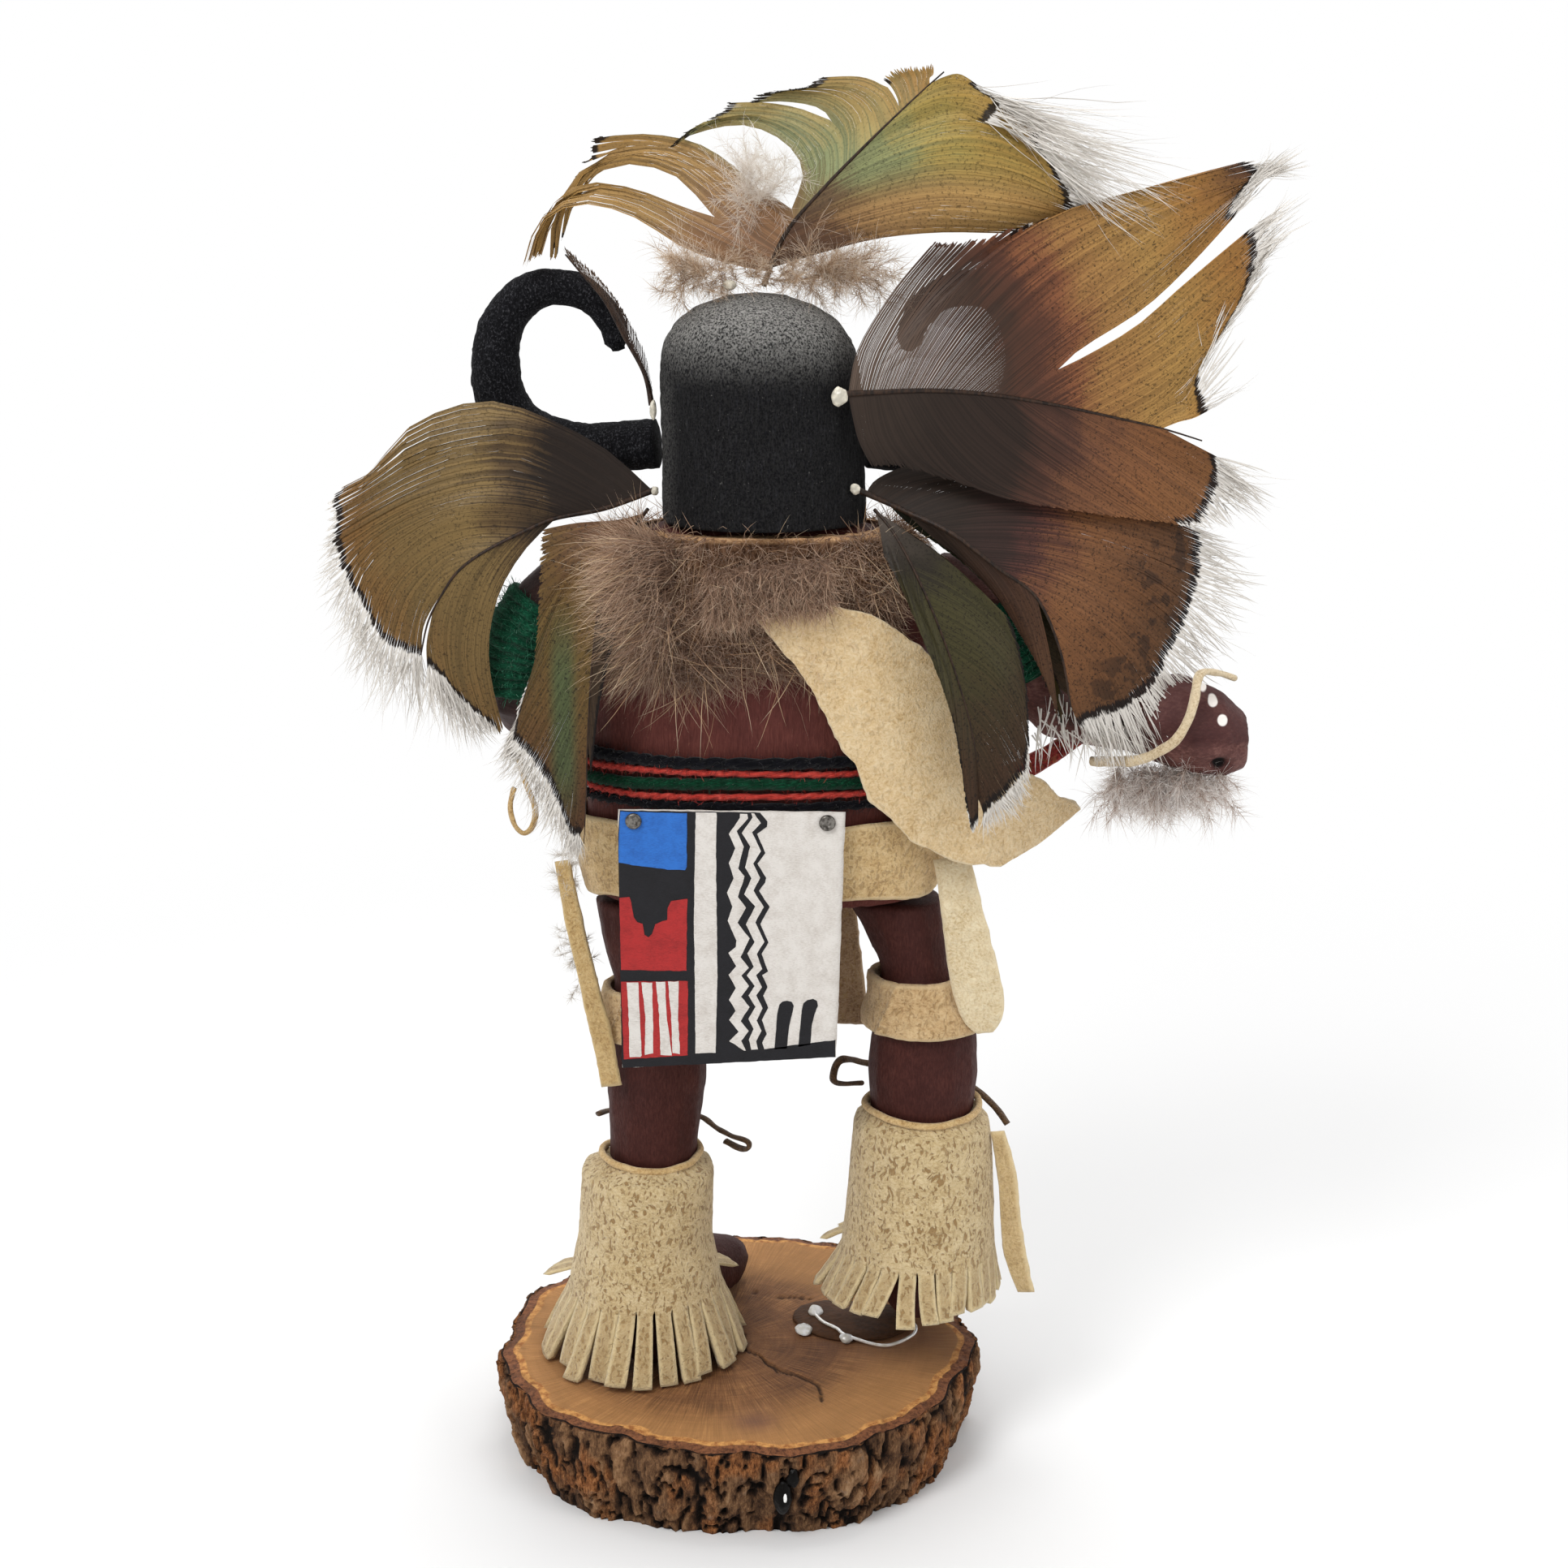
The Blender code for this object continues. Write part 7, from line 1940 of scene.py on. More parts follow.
def build_belt():
    rng = np.random.default_rng(21)
    angles = round_angles(BELT_STATIONS)
    wools = {kind: yarn_material(kind + "_wool", *tones) for kind, tones in YARN_TONES.items()}
    fibres = {kind: fibre_material(kind + "_fibre", *tones) for kind, tones in YARN_TONES.items()}
    for name, (height, radius) in BELT_TURNS.items():
        kind = name.split("_")[1]
        plies, turns, thickness, amount, length = BELT_WOOL[kind]
        centres = torso_point(angles, height, GAP + radius)
        centres[:, 2] += 0.22 * np.sin(angles * 3 + height) + 0.15 * noise(centres, 6.0, 91)
        ahead = np.roll(centres, -1, axis=0) - np.roll(centres, 1, axis=0)
        outward = unit(np.cross(ahead, (0, 0, 1)))
        rings = []
        for ply in range(plies):
            phase = 2 * math.pi * ply / plies
            swell = radius * (thickness + 0.10 * noise(centres, 2.6, 92 + ply))
            ring = closed_ply(centres, outward, 1.0, phase, turns, PLY_SIDES, PLY_SHARE) - centres[:, None]
            rings.append((centres[:, None] + ring * swell[:, None, None]).reshape(-1, 3))
        faces = [grid_faces(BELT_STATIONS, PLY_SIDES, True, True, start=k * BELT_STATIONS * PLY_SIDES)
                 for k in range(plies)]
        run = np.arange(BELT_STATIONS)[:, None] * BELT_STEP
        layout = np.stack(np.broadcast_arrays(np.arange(PLY_SIDES) * 0.5, run), -1).reshape(-1, 2)
        piece = make_mesh(name + "_yarn", np.concatenate(rings), faces, wools[kind],
                          layout=np.concatenate([layout] * plies))
        dress(piece, name, name)
        fuzz(centres, radius * 0.75, amount, length, 0.075, rng, fibres[kind], name + "_fuzz", name)


def build_arm_yarn():
    rng = np.random.default_rng(22)
    wool = yarn_material("arm_wool", (1, 24, 14), (10, 62, 42), (44, 108, 80))
    fibre = fibre_material("arm_fibre", (6, 50, 30), (24, 88, 62), (70, 140, 110))
    for name, (arm, high, low) in ARM_YARN.items():
        line = curve(arm, 300)
        line = line[(line[:, 2] <= high) & (line[:, 2] >= low)]
        side, other = path_frames(line)
        turns = np.linalg.norm(np.diff(line, axis=0), axis=1).sum() / ARM_YARN_PITCH
        count = int(turns * 26)
        at = np.linspace(0, len(line) - 1, count)
        centre = weave(line, at)
        turn = np.linspace(0, 2 * math.pi * turns, count)[:, None]
        out = weave(side, at) * np.cos(turn) + weave(other, at) * np.sin(turn)
        wander = 0.25 * noise(centre + out * 5, 2.4, 95)[:, None]
        strand = centre + out * (ARM_YARN_REACH - ARM_YARN_RADIUS + wander * 1.6)
        strand = strand + 0.3 * drift(strand, 1.5, 96)
        yarn = tube(name + "_coil", strand, ARM_YARN_RADIUS + 0.22 * noise(strand, 1.1, 99), 7, wool)
        dress(yarn, name, name)
        dress(tube(name + "_under", line, ARM_YARN_CORE, 28, wool), name)
        fuzz(strand, 0.7, 3600, (0.8, 2.6), 0.11, rng, fibre, name + "_fuzz", name)


# Painted sash panel. Outlines are read across and down from the upper left corner, in paint units.

PAINT_UNIT = (0.0287, 0.03)
PAINT_FROM = (62, 72)
PAINT_AREA = (35.7, 42.6)
COAT = 0.05
WHITE_COLUMN = ((486, 78), (600, 80), (598, 300), (606, 700), (612, 1000), (606, 1425), (490, 1425),
                (484, 1000),
                (478, 700), (482, 300))
BLUE_FIELD = ((75, 78), (438, 84), (437, 375), (428, 395), (330, 391), (150, 368), (62, 352), (64, 200))
RED_FIELD = ((62, 545), (118, 540), (128, 570), (140, 650), (160, 680), (190, 690), (200, 748), (222, 764),
             (245, 745), (262, 690), (300, 675), (327, 670), (332, 600), (350, 565), (440, 552), (437, 955),
             (66, 940))
RED_STRIPES = ((64, 1005), (445, 1012), (444, 1432), (74, 1440))
WHITE_STRIPES = (
    ((97, 1010), (163, 1012), (166, 1120), (178, 1420), (170, 1430), (108, 1428), (104, 1150)),
    ((180, 1013), (241, 1014), (244, 1200), (246, 1412), (196, 1418), (202, 1200)),
    ((262, 1010), (316, 1012), (322, 1200), (352, 1428), (287, 1424), (281, 1200)),
    ((332, 1012), (393, 1012), (388, 1200), (400, 1422), (356, 1416), (348, 1200)),
)
ZIGZAG_FIRST = ((728, 84), (728, 106), (668, 195), (705, 275), (670, 355), (697, 440), (663, 520),
                (692, 600),
                (668, 678), (717, 790), (715, 826), (672, 858), (718, 935), (676, 985), (718,
                                                                                         1060), (680, 1125),
                (718, 1190), (682, 1240), (738, 1310), (684, 1362), (770, 1420))
ZIGZAG_SECOND = ((768, 84), (772, 108), (712, 180), (750, 265), (722, 385), (758, 430), (722, 545),
                 (768, 605),
                 (722, 690), (792, 780), (742, 885), (790, 945), (748, 990), (792, 1050), (748,
                                                                                           1110), (797, 1170),
                 (748, 1250), (795, 1310), (752, 1365), (780, 1420))
ZIGZAG_THIRD = ((790, 80), (797, 104), (740, 190), (786, 265), (760, 380), (796, 440), (758, 530),
                (820, 600),
                (770, 700), (820, 800), (780, 865), (818, 940), (780, 990), (826, 1050), (790,
                                                                                          1105), (832,
                                                                                                  1170),
                (792, 1240), (824, 1300), (797, 1360), (812, 1418))
ZIGZAG_FOURTH = ((806, 82), (842, 135), (795, 185), (846, 290), (805, 360), (844, 440), (808, 510),
                 (868, 605),
                 (822, 690), (874, 800), (834, 870), (866, 955), (832, 990), (866, 1060), (836,
                                                                                           1105), (872, 1180),
                 (840, 1250), (868, 1310), (840, 1370), (850, 1418))
ZIGZAG_FIFTH = ((838, 78), (880, 125), (876, 155), (822, 195), (870, 300), (828, 360), (878, 440),
                (872, 466),
                (838, 510), (900, 605), (850, 700), (898, 805), (862, 870), (898, 970), (866,
                                                                                         990), (898, 1060),
                (875, 1110), (904, 1180), (870, 1250), (898, 1330), (874, 1380), (886, 1420))
BLACK_BARS = (
    ((945, 1422), (958, 1220), (968, 1165), (985, 1148), (1012, 1143), (1038, 1150), (1050, 1172),
     (1044, 1210),
     (1028, 1290), (1018, 1420)),
    ((1083, 1414), (1098, 1200), (1106, 1160), (1128, 1142), (1160, 1138), (1182, 1150), (1188, 1180),
     (1170, 1230),
     (1158, 1290), (1153, 1404)),
)

BLACK_GROUND_START = ((60, 350), (60, 200), (72, 74))
BLACK_GROUND_END = ((1000, 1408), (1298, 1384), (1300, 1486), (700, 1488), (68, 1488), (62, 1440))
# Radius, and distance behind the front, of the turned rings of a pin's head
PIN_PROFILE = ((1.28, 0.55), (1.30, 0.30), (1.22, 0.12), (1.0, 0.0), (0.72, 0.02), (0.55, 0.16), (0.3, 0.2))
PIN_SIDES = 28
PIN_STANDS_OUT = 0.72


def on_panel(points):
    """Across and down in paint units to x and z on the board."""
    across, down = ((points - PAINT_FROM) * PAINT_UNIT / PAINT_AREA).T
    top_left, top_right, low_right, low_left = np.array(PANEL_CORNERS)
    left = top_left + (low_left - top_left) * down[:, None]
    right = top_right + (low_right - top_right) * down[:, None]
    return left + (right - left) * across[:, None]


def paint_patch(name, outline, level, material, wobble=0.07):
    """A thin coat of paint inside an outline whose edge wavers as a brushed one does."""
    corners = on_panel(np.array(outline, float))
    edge = []
    for a, b in zip(corners, np.roll(corners, -1, axis=0)):
        steps = max(int(np.linalg.norm(b - a) / 0.35), 1)
        edge.extend(a + (b - a) * k / steps for k in range(steps))
    edge = np.array(edge)
    n = len(edge)
    solid = np.stack((edge[:, 0], np.zeros(n), edge[:, 1]), axis=1)
    edge = edge + wobble * np.stack((noise(solid, 0.8, 101), noise(solid, 0.8, 102)), axis=1)
    surface = PANEL_DEPTH - PANEL_THICKNESS / 2
    front = np.stack((edge[:, 0], np.full(n, surface - COAT * level), edge[:, 1]), axis=1)
    back = front + (0, COAT * level + 0.2, 0)
    caps = np.array(tessellate_polygon([[Vector((x, z, 0)) for x, z in edge]]))
    j = np.arange(n)
    walls = np.stack((j, (j + 1) % n, (j + 1) % n + n, j + n), axis=1)
    faces = [caps, caps[:, ::-1] + n, walls]
    return dress(make_mesh(name, np.concatenate((front, back)), faces, material, smooth=False),
                 "sash_panel")


def build_panel():
    black = plain_paint("panel_black", (20, 19, 24), (10, 9, 13))
    white = plain_paint("panel_white", (214, 209, 203), (188, 180, 172))
    blue = plain_paint("panel_blue", (40, 106, 190), (30, 84, 160))
    red = plain_paint("panel_red", (168, 38, 38), (134, 28, 29))
    top_left, top_right, low_right, low_left = np.array(PANEL_CORNERS)
    rows = []
    for share in np.linspace(0, 1, 5):
        left = top_left * (1 - share) + low_left * share
        right = top_right * (1 - share) + low_right * share
        places = [left + (right - left) * u for u in np.linspace(0, 1, 5)]
        rows.append([(x, PANEL_DEPTH, z) for x, z in places])
    board = thick_sheet("panel_board", rows, PANEL_THICKNESS, white, (56, 46), 0.1, 0.0, 6, 0.35)
    dress(board, "sash_panel", "sash_panel")
    paint_patch("panel_black_ground", BLACK_GROUND_START + ZIGZAG_FIFTH + BLACK_GROUND_END, 1, black, 0.06)
    paint_patch("panel_white_column", WHITE_COLUMN, 2, white)
    paint_patch("panel_blue_field", BLUE_FIELD, 2, blue)
    paint_patch("panel_red_field", RED_FIELD, 2, red)
    paint_patch("panel_red_stripes", RED_STRIPES, 2, red)
    for k, stripe in enumerate(WHITE_STRIPES):
        paint_patch(f"panel_white_stripe_{k + 1}", stripe, 3, white)
    paint_patch("panel_zigzag_left", ZIGZAG_FIRST + ZIGZAG_SECOND[::-1], 2, white, 0.05)
    paint_patch("panel_zigzag_right", ZIGZAG_THIRD + ZIGZAG_FOURTH[::-1], 2, white, 0.05)
    for k, bar in enumerate(BLACK_BARS):
        paint_patch(f"panel_bar_{k + 1}", bar, 1, black, 0.05)


def build_pins():
    steel = metal_pin()
    angles = round_angles(PIN_SIDES)
    front = PANEL_DEPTH - PANEL_THICKNESS / 2 - PIN_STANDS_OUT
    for name, (x, z) in PIN_PLACES.items():
        rings = [circle(angles, r, front + y, x, z)[:, [0, 2, 1]] for r, y in PIN_PROFILE]
        ends = ((x, front + 0.6, z), (x, front + 0.2, z))
        faces = grid_faces(len(rings), PIN_SIDES, wrap_columns=True)[:, ::-1]
        caps = end_fans(len(rings), PIN_SIDES)
        pin = make_mesh(name + "_head", np.concatenate((*rings, ends)), [faces, caps], steel)
        dress(pin, name, name)


# Leather

# Dark, middle and light tone, strength of the dark dashes, and the cut edge, lighter partly as a painted
# highlight
SUEDES = {
    "cream_suede": ((186, 154, 106), (208, 180, 136), (222, 200, 162), 0.28, (226, 206, 168)),
    "tan_suede": ((160, 132, 88), (192, 164, 116), (210, 186, 142), 0.25, (218, 196, 152)),
    "gold_suede": ((150, 118, 72), (184, 152, 100), (206, 178, 128), 0.3, (206, 180, 130)),
    "pale_suede": ((190, 166, 124), (214, 194, 156), (228, 214, 182), 0.15, (230, 212, 174)),
    "brown_suede": ((104, 80, 56), (140, 112, 84), (166, 140, 110), 0.5, (170, 144, 112)),
    "red_stain": ((70, 24, 22), (116, 34, 34), (160, 60, 54), 0.3),
    "wrap_suede": ((160, 128, 82), (196, 164, 114), (216, 190, 144), 0.55, (214, 190, 146)),
    "band_suede": ((150, 118, 78), (186, 154, 110), (206, 178, 136), 0.6, (206, 180, 138)),
    "boot_suede": ((158, 132, 90), (192, 168, 124), (212, 192, 152), 0.95, (220, 200, 156), (156, 128, 86)),
    "dark_thong": ((48, 34, 20), (78, 56, 36), (112, 84, 56)),
    "golden_thong": ((136, 102, 58), (180, 146, 94), (206, 176, 124)),
    "pale_thong": ((170, 146, 112), (204, 184, 150), (224, 206, 174)),
}
RIM_TONES = ((150, 116, 70), (190, 156, 104), (214, 186, 136), 0.15)

# Where the leather is broader than its solid
WIDER = {
    "hanging_strip_right": ((34.8, -11, 105.8, 6.0), (36.6, -11.6, 97, 6.8), (38.2, -11.8, 89, 8.0),
                            (39.6, -11.8, 82.5, 8.2), (40.4, -11.6, 78.4, 6.4), (40.8, -11.4, 76.0, 2.6)),
    "hanging_strip_left": ((-28.4, -6.5, 104, 2.6), (-26.6, -8.6, 95, 3.0), (-24.2, -10.0, 84.4, 3.2),
                           (-22.2, -11.2, 76, 3.6), (-20.6, -11.8, 67, 3.4)),
}
# Piece, finish, points along, roughness of the edge, relief, seed and rounding of each strip
STRIP_LOOKS = {
    "hanging_strip_right": ("suede", "pale_suede", 60, 0.14, 0.16, 30, 0.55),
    "hanging_strip_left": ("suede", "gold_suede", 60, 0.14, 0.16, 31, 0.55),
    "boot_tie": ("suede", "tan_suede", 60, 0.14, 0.16, 32, 0.55),
    "red_strip": ("leather", "red_stain", 70, 0.12, 0.12, 41, 0.5),
}
FLAP_HEIGHTS = (111.5, 66.8)
FLAP_TOP = (-10.0, 18.0)
FLAP_WIDENS = (-2.0, 4.9)
FLAP_DEPTHS = (15.4, 15.4, 16.2, 17.4, 18.0)
WRAP_AROUND = 180
WRAP_DIP = 4.6
BAND_AROUND = 150
BAND_LAP = 4.2


def suede_named(name):
    return suede(name, *SUEDES[name])


def build_sash():
    finish = suede_named("cream_suede")
    sash = thick_sheet("leather_sash_suede", SASH_ROWS, LEATHER, finish, (130, 50), 0.3, 0.26, 3, 0.6, 0.75)
    dress(sash, "leather_sash", "leather_sash")


def build_strips():
    for name, (kind, finish, count, roughen, relief, seed, edge) in STRIP_LOOKS.items():
        stations, along = STRIPS[name]
        line = curve(WIDER.get(name, stations), 40)
        direction = unit(np.array(along, float))
        rows = np.stack([line[:, :3] + direction * line[:, 3:4] * s for s in (-0.5, 0, 0.5)], axis=1)
        piece = thick_sheet(f"{name}_{kind}", rows, LEATHER, suede_named(finish), (count, 14),
                            roughen, relief,
                            seed, edge)
        dress(piece, name, name)


def build_flap():
    """Loincloth flap in front, which swings out and waves towards its lower edge."""
    rows = []
    depths = np.interp(np.linspace(0, 4, 9), range(5), FLAP_DEPTHS)
    for share, depth in zip(np.linspace(0, 1, 9), depths):
        z = FLAP_HEIGHTS[0] + (FLAP_HEIGHTS[1] - FLAP_HEIGHTS[0]) * share
        left, right = (place + more * share for place, more in zip(FLAP_TOP, FLAP_WIDENS))
        wave = [0.9 * math.sin(u * math.pi * 2.2 + share * 2.0) * share for u in np.linspace(0, 1, 7)]
        rows.append([(left + (right - left) * u, depth + out, z) for u,
                     out in zip(np.linspace(0, 1, 7), wave)])
    flap = thick_sheet("front_flap_suede", rows, LEATHER, suede_named("brown_suede"), (60, 50), 0.25,
                       0.2, 8, 0.6)
    dress(flap, "front_flap", "front_flap")


def build_wrap():
    angles = round_angles(WRAP_AROUND)
    wave = 0.5 * np.sin(5 * angles + 0.7)
    dip = 2.6 * np.exp(-(((angles - WRAP_DIP) / 0.42) ** 2)) - 0.9
    ragged = 0.25 * noise(np.stack((angles * 28, angles * 0, angles * 0), axis=1), 3.0, 110)
    rings = []
    for share in np.linspace(0, 1, 22):
        z = (WRAP_TOP + wave * 0.5 - dip) * (1 - share) + (WRAP_LOW + wave) * share
        z = z + ragged * (share > 0.96)
        flare = GAP + LEATHER + 0.15 + 0.35 * share
        rings.append([torso_point(a, h, flare) for a, h in zip(angles, z)])
    wrap = band_sheet("hip_wrap_suede", rings, LEATHER + 0.15, suede_named("wrap_suede"), 0.2, 111)
    dress(wrap, "hip_wrap", "hip_wrap")


def build_knee_bands():
    """Bands round the legs, whose ends overlap behind."""
    finish = suede_named("band_suede")
    angles = round_angles(BAND_AROUND)
    for k, (name, (low, high)) in enumerate(BANDS.items()):
        stations = sorted((z, x, y, r) for x, y, z, r in LEGS[name])
        rings = []
        for share in np.linspace(0, 1, 15):
            z = high - 1.0 + (low + 2.4 - high + 1.0) * share
            x, y, radius = between(stations, z)
            reach = radius + GAP + BAND_THICKNESS + 0.2 + 0.2 * math.sin(share * 9 + k)
            lap = 0.5 * np.exp(-(((angles - BAND_LAP + 0.4 * share) % (2 * math.pi)) / 0.1) ** 2)
            rings.append(circle(angles, reach + lap, z, x, y))
        band = band_sheet(name + "_suede", rings, BAND_THICKNESS, finish, 0.26, 120 + k)
        dress(band, name, name)


# Anklets: a speckled suede tube, a rolled rim and a fringe cut into strips

BOOT_CLOSED = {"boot_left": 8.1, "boot_right": 9.5}
FRINGE_RAISED = {"boot_left": 0.0, "boot_right": 2.8}
FRINGE_STRIPS = 27
STRIP_COLUMNS = 7
FRINGE_COLUMNS = FRINGE_STRIPS * STRIP_COLUMNS
BOOT_ROWS = 26
FRINGE_ROWS = 15
RIM_AROUND = 180


def fringe_walls(kept):
    """Faces between the outer and the inner grid wherever the kept cells end."""
    rows = len(kept) + 1
    columns = FRINGE_COLUMNS
    inner = rows * columns
    walls = []
    for i, j in np.argwhere(kept):
        nj = (j + 1) % columns
        a, b = i * columns + j, i * columns + nj
        c, d = (i + 1) * columns + nj, (i + 1) * columns + j
        for first, second, needed in (
            (c, d, i == rows - 2),
            (a, b, i == 0),
            (d, a, not kept[i, (j - 1) % columns]),
            (b, c, not kept[i, nj]),
        ):
            if needed:
                walls.append((first, second, second + inner, first + inner))
    return np.array(walls)


def boot_grid(name, stations, heights, cut, low, within, rng):
    """The outer face: the tube down to the cut, then strips that lean, flare and end unevenly."""
    top = heights[0]
    strip = np.arange(FRINGE_COLUMNS) // STRIP_COLUMNS
    lean = rng.normal(0, 0.9, FRINGE_STRIPS)[strip]
    kick = rng.uniform(-0.3, 1.7, FRINGE_STRIPS)[strip]
    short = rng.uniform(-0.6, 0.7, FRINGE_STRIPS)[strip]
    width = rng.uniform(0.86, 1.06, FRINGE_STRIPS)[strip]
    middle = (strip + 0.5) * 2 * math.pi / FRINGE_STRIPS
    # Over the instep the strips are short and stand out
    ahead = np.abs((np.degrees(middle) - 90 + 180) % 360 - 180) < INSTEP_HALF_ANGLE
    rows = []
    for z in heights:
        radius, x, y = between(stations, z)
        # The top closes in on the leg
        radius += (BOOT_CLOSED[name] - radius) * (1 - ease(0.0, 3.0, top - z)) ** 2
        past = max(0.0, (cut - z) / (cut - low))
        filled = (1 - (0.02 + 0.11 * past)) * np.where(past > 0, width, 1.0)
        angle = middle + (within - 0.5) * 2 * math.pi / FRINGE_STRIPS * filled + lean * past**1.3 / 16
        height = np.where(ahead, cut - 2.2 * past, z + short * past)
        reach = radius + kick * past**2 * np.where(ahead, 0.35, 1.0)
        reach = reach + 0.225 * np.sin(past * math.pi) + np.where(ahead, past * 1.2, 0.0)
        rows.append(circle(angle, reach, height, x, y))
    return np.array(rows)


def build_boot_rim(name, stations):
    """The rolled upper edge."""
    radius, x, y = between(stations, stations[0][0])
    angles = round_angles(RIM_AROUND)
    height = stations[0][0] + 0.35 * np.sin(angles * 2 + 1) + 0.3
    centres = circle(angles, BOOT_CLOSED[name] + 0.1, height, x, y)
    centres = centres + 0.2 * drift(centres, 3.0, 140)
    ring = closed_ply(centres, circle(angles, 1.0, 0.0), 0.6, 0.0, 0, 12, 1.0)
    roll = make_mesh(name + "_rim", ring.reshape(-1, 3), [grid_faces(RIM_AROUND, 12, True, True)],
                     suede(name + "_rim", *RIM_TONES), traits=np.tile((1.0, 0, 0, 1.0),
                                                                      (RIM_AROUND * 12, 1)))
    dress(roll, name)


def build_boots():
    rng = np.random.default_rng(31)
    finish = suede_named("boot_suede")
    within = (np.arange(FRINGE_COLUMNS) % STRIP_COLUMNS) / (STRIP_COLUMNS - 1)
    for name, stations in BOOTS.items():
        cut = stations[3][0] + 1.2
        low = stations[4][0] + FRINGE_RAISED[name]
        heights = np.concatenate((np.linspace(stations[0][0], cut, BOOT_ROWS),
                                  np.linspace(cut, low, FRINGE_ROWS + 1)[1:]))
        rows = len(heights)
        grid = boot_grid(name, stations, heights, cut, low, within, rng)
        swell = 0.34 * fractal(grid * (1, 1, 0.7), 6.0, 2, 130) + 0.09 * noise(grid, 1.2, 131)
        centre = np.array([(*between(stations, z)[1:], z) for z in heights])
        outward = unit((grid - centre[:, None]) * (1, 1, 0))
        grid = grid + outward * swell[..., None]
        inner = grid - outward * BOOT_LEATHER
        kept = np.ones((rows - 1, FRINGE_COLUMNS), bool)
        kept[BOOT_ROWS - 1:] &= np.arange(FRINGE_COLUMNS) % STRIP_COLUMNS != STRIP_COLUMNS - 1
        outer_faces = grid_faces(rows, FRINGE_COLUMNS, wrap_columns=True)[kept.ravel()]
        inner_faces = outer_faces[:, ::-1] + rows * FRINGE_COLUMNS
        side_edge = np.minimum(within, 1 - within) * 3.0
        near = np.where((heights < cut - 0.2)[:, None],
                        np.minimum(side_edge, (heights - low)[:, None]), 4.0)
        near = np.tile(np.clip(near / 4, 0, 1).ravel(), 2)
        fringe = np.tile(np.repeat(ease(0.0, 1.5, cut - heights), FRINGE_COLUMNS), 2)
        traits = np.stack((near, fringe, near * 0, near * 0 + 1), axis=1)
        verts = np.concatenate((grid.reshape(-1, 3), inner.reshape(-1, 3)))
        used = np.unique(np.concatenate((outer_faces.ravel(), inner_faces.ravel())))
        renumber = np.zeros(len(verts), int)
        renumber[used] = np.arange(len(used))
        faces = [renumber[group] for group in (outer_faces[:, ::-1], inner_faces[:, ::-1],
                                               fringe_walls(kept))]
        dress(make_mesh(name + "_suede", verts[used], faces, finish, traits=traits[used]), name, name)
        build_boot_rim(name, stations)


THONG_FINISHES = {
    "leg_thong_left": "dark_thong",
    "leg_thong_right": "dark_thong",
    "arm_thong_left": "golden_thong",
    "wrist_thong": "pale_thong",
}


def build_thongs():
    finishes = {name: suede_named(name) for name in dict.fromkeys(THONG_FINISHES.values())}
    for name, (points, radius) in THONGS.items():
        line = curve(points, 120)
        line = line + 0.12 * drift(line, 2.6, 150)
        thick = radius * (1 + 0.14 * noise(line, 1.6, 153))
        piece = tube(name + "_leather", line, thick, 10, finishes[THONG_FINISHES[name]], flat=0.62)
        dress(piece, name, name)


# Down and fluff

DOWN_TONES = {
    "down_tan": (((0.0, (150, 120, 92)), (0.35, (196, 172, 146)), (1.0, (232, 220, 204))), 0.7, 0.1, 0.45),
    "down_grey": (((0.0, (206, 194, 182)), (0.5, (234, 228, 220)), (1.0, (248, 246, 242))), 0.5, 0.1, 0.6),
    "hand_down": (((0.0, (152, 130, 116)), (0.3, (204, 192, 184)), (0.7, (236, 232, 228)),
                   (1.0, (240, 238, 236))),
                  0.5, 0.1, 0.5),
    "white_wisps": (((0.0, (200, 194, 186)), (0.5, (226, 222, 216)), (1.0, (240, 238, 234))), 0.3,
                    0.2, 0.4),
}
# Piece, node, place, spread, heading, barbs, length, width, material, and where they differ from the
# usual ones curl, fan and fall
TUFTS = (
    ("crown_down_left", "crown_down", (-4.5, -4.6, 197.6), (5.0, 1.6, 1.6), (-0.6, 0.1, 0.3), 2800,
     (3.5, 8.0),
     0.055, "down_tan"),
    ("crown_down_right", "crown_down", (14.5, -3.1, 197.6), (7.5, 1.6, 1.6), (0.75, 0.2, 0.2), 4000,
     (4.0, 9.5),
     0.055, "down_tan"),
    ("crown_down_middle", "crown_down", (4.0, -4.1, 197.4), (7.0, 1.6, 1.6), (0.0, 0.1, 0.2), 2000,
     (2.0, 4.5),
     0.055, "down_tan"),
    ("crown_down_upper", "crown_down", (3.5, -0.6, 210.4), (4.0, 2.0, 3.5), (-0.1, 0.2, 0.7), 2400,
     (4.0, 8.5),
     0.045, "down_grey"),
    ("hand_fluff_down", "hand_fluff", (69.2, -10.1, 120.6), (10.5, 3.4, 1.6), (0.0, -0.05, -1.0),
     6600, (5.0, 10.0),
     0.065, "hand_down", 0.4, 0.36, 0.03),
    ("hip_wisps_upper", "hanging_strip_left", (-26.5, -5.0, 101.5), (1.0, 1.0, 6.5), (-0.5, 0.0, -0.3), 900,
     (2.5, 5.0), 0.06, "white_wisps", 0.5, 0.5),
    ("hip_wisps_lower", "hanging_strip_left", (-26.0, -6.0, 87.5), (0.8, 1.0, 7.5), (-0.5, 0.0, -0.3), 900,
     (2.0, 4.5), 0.06, "white_wisps", 0.5, 0.5),
)
STANDS_FOR = {"crown_down_upper": "crown_down", "hand_fluff_down": "hand_fluff"}
BARBS_A_STEM = 60
STRAWS = 60


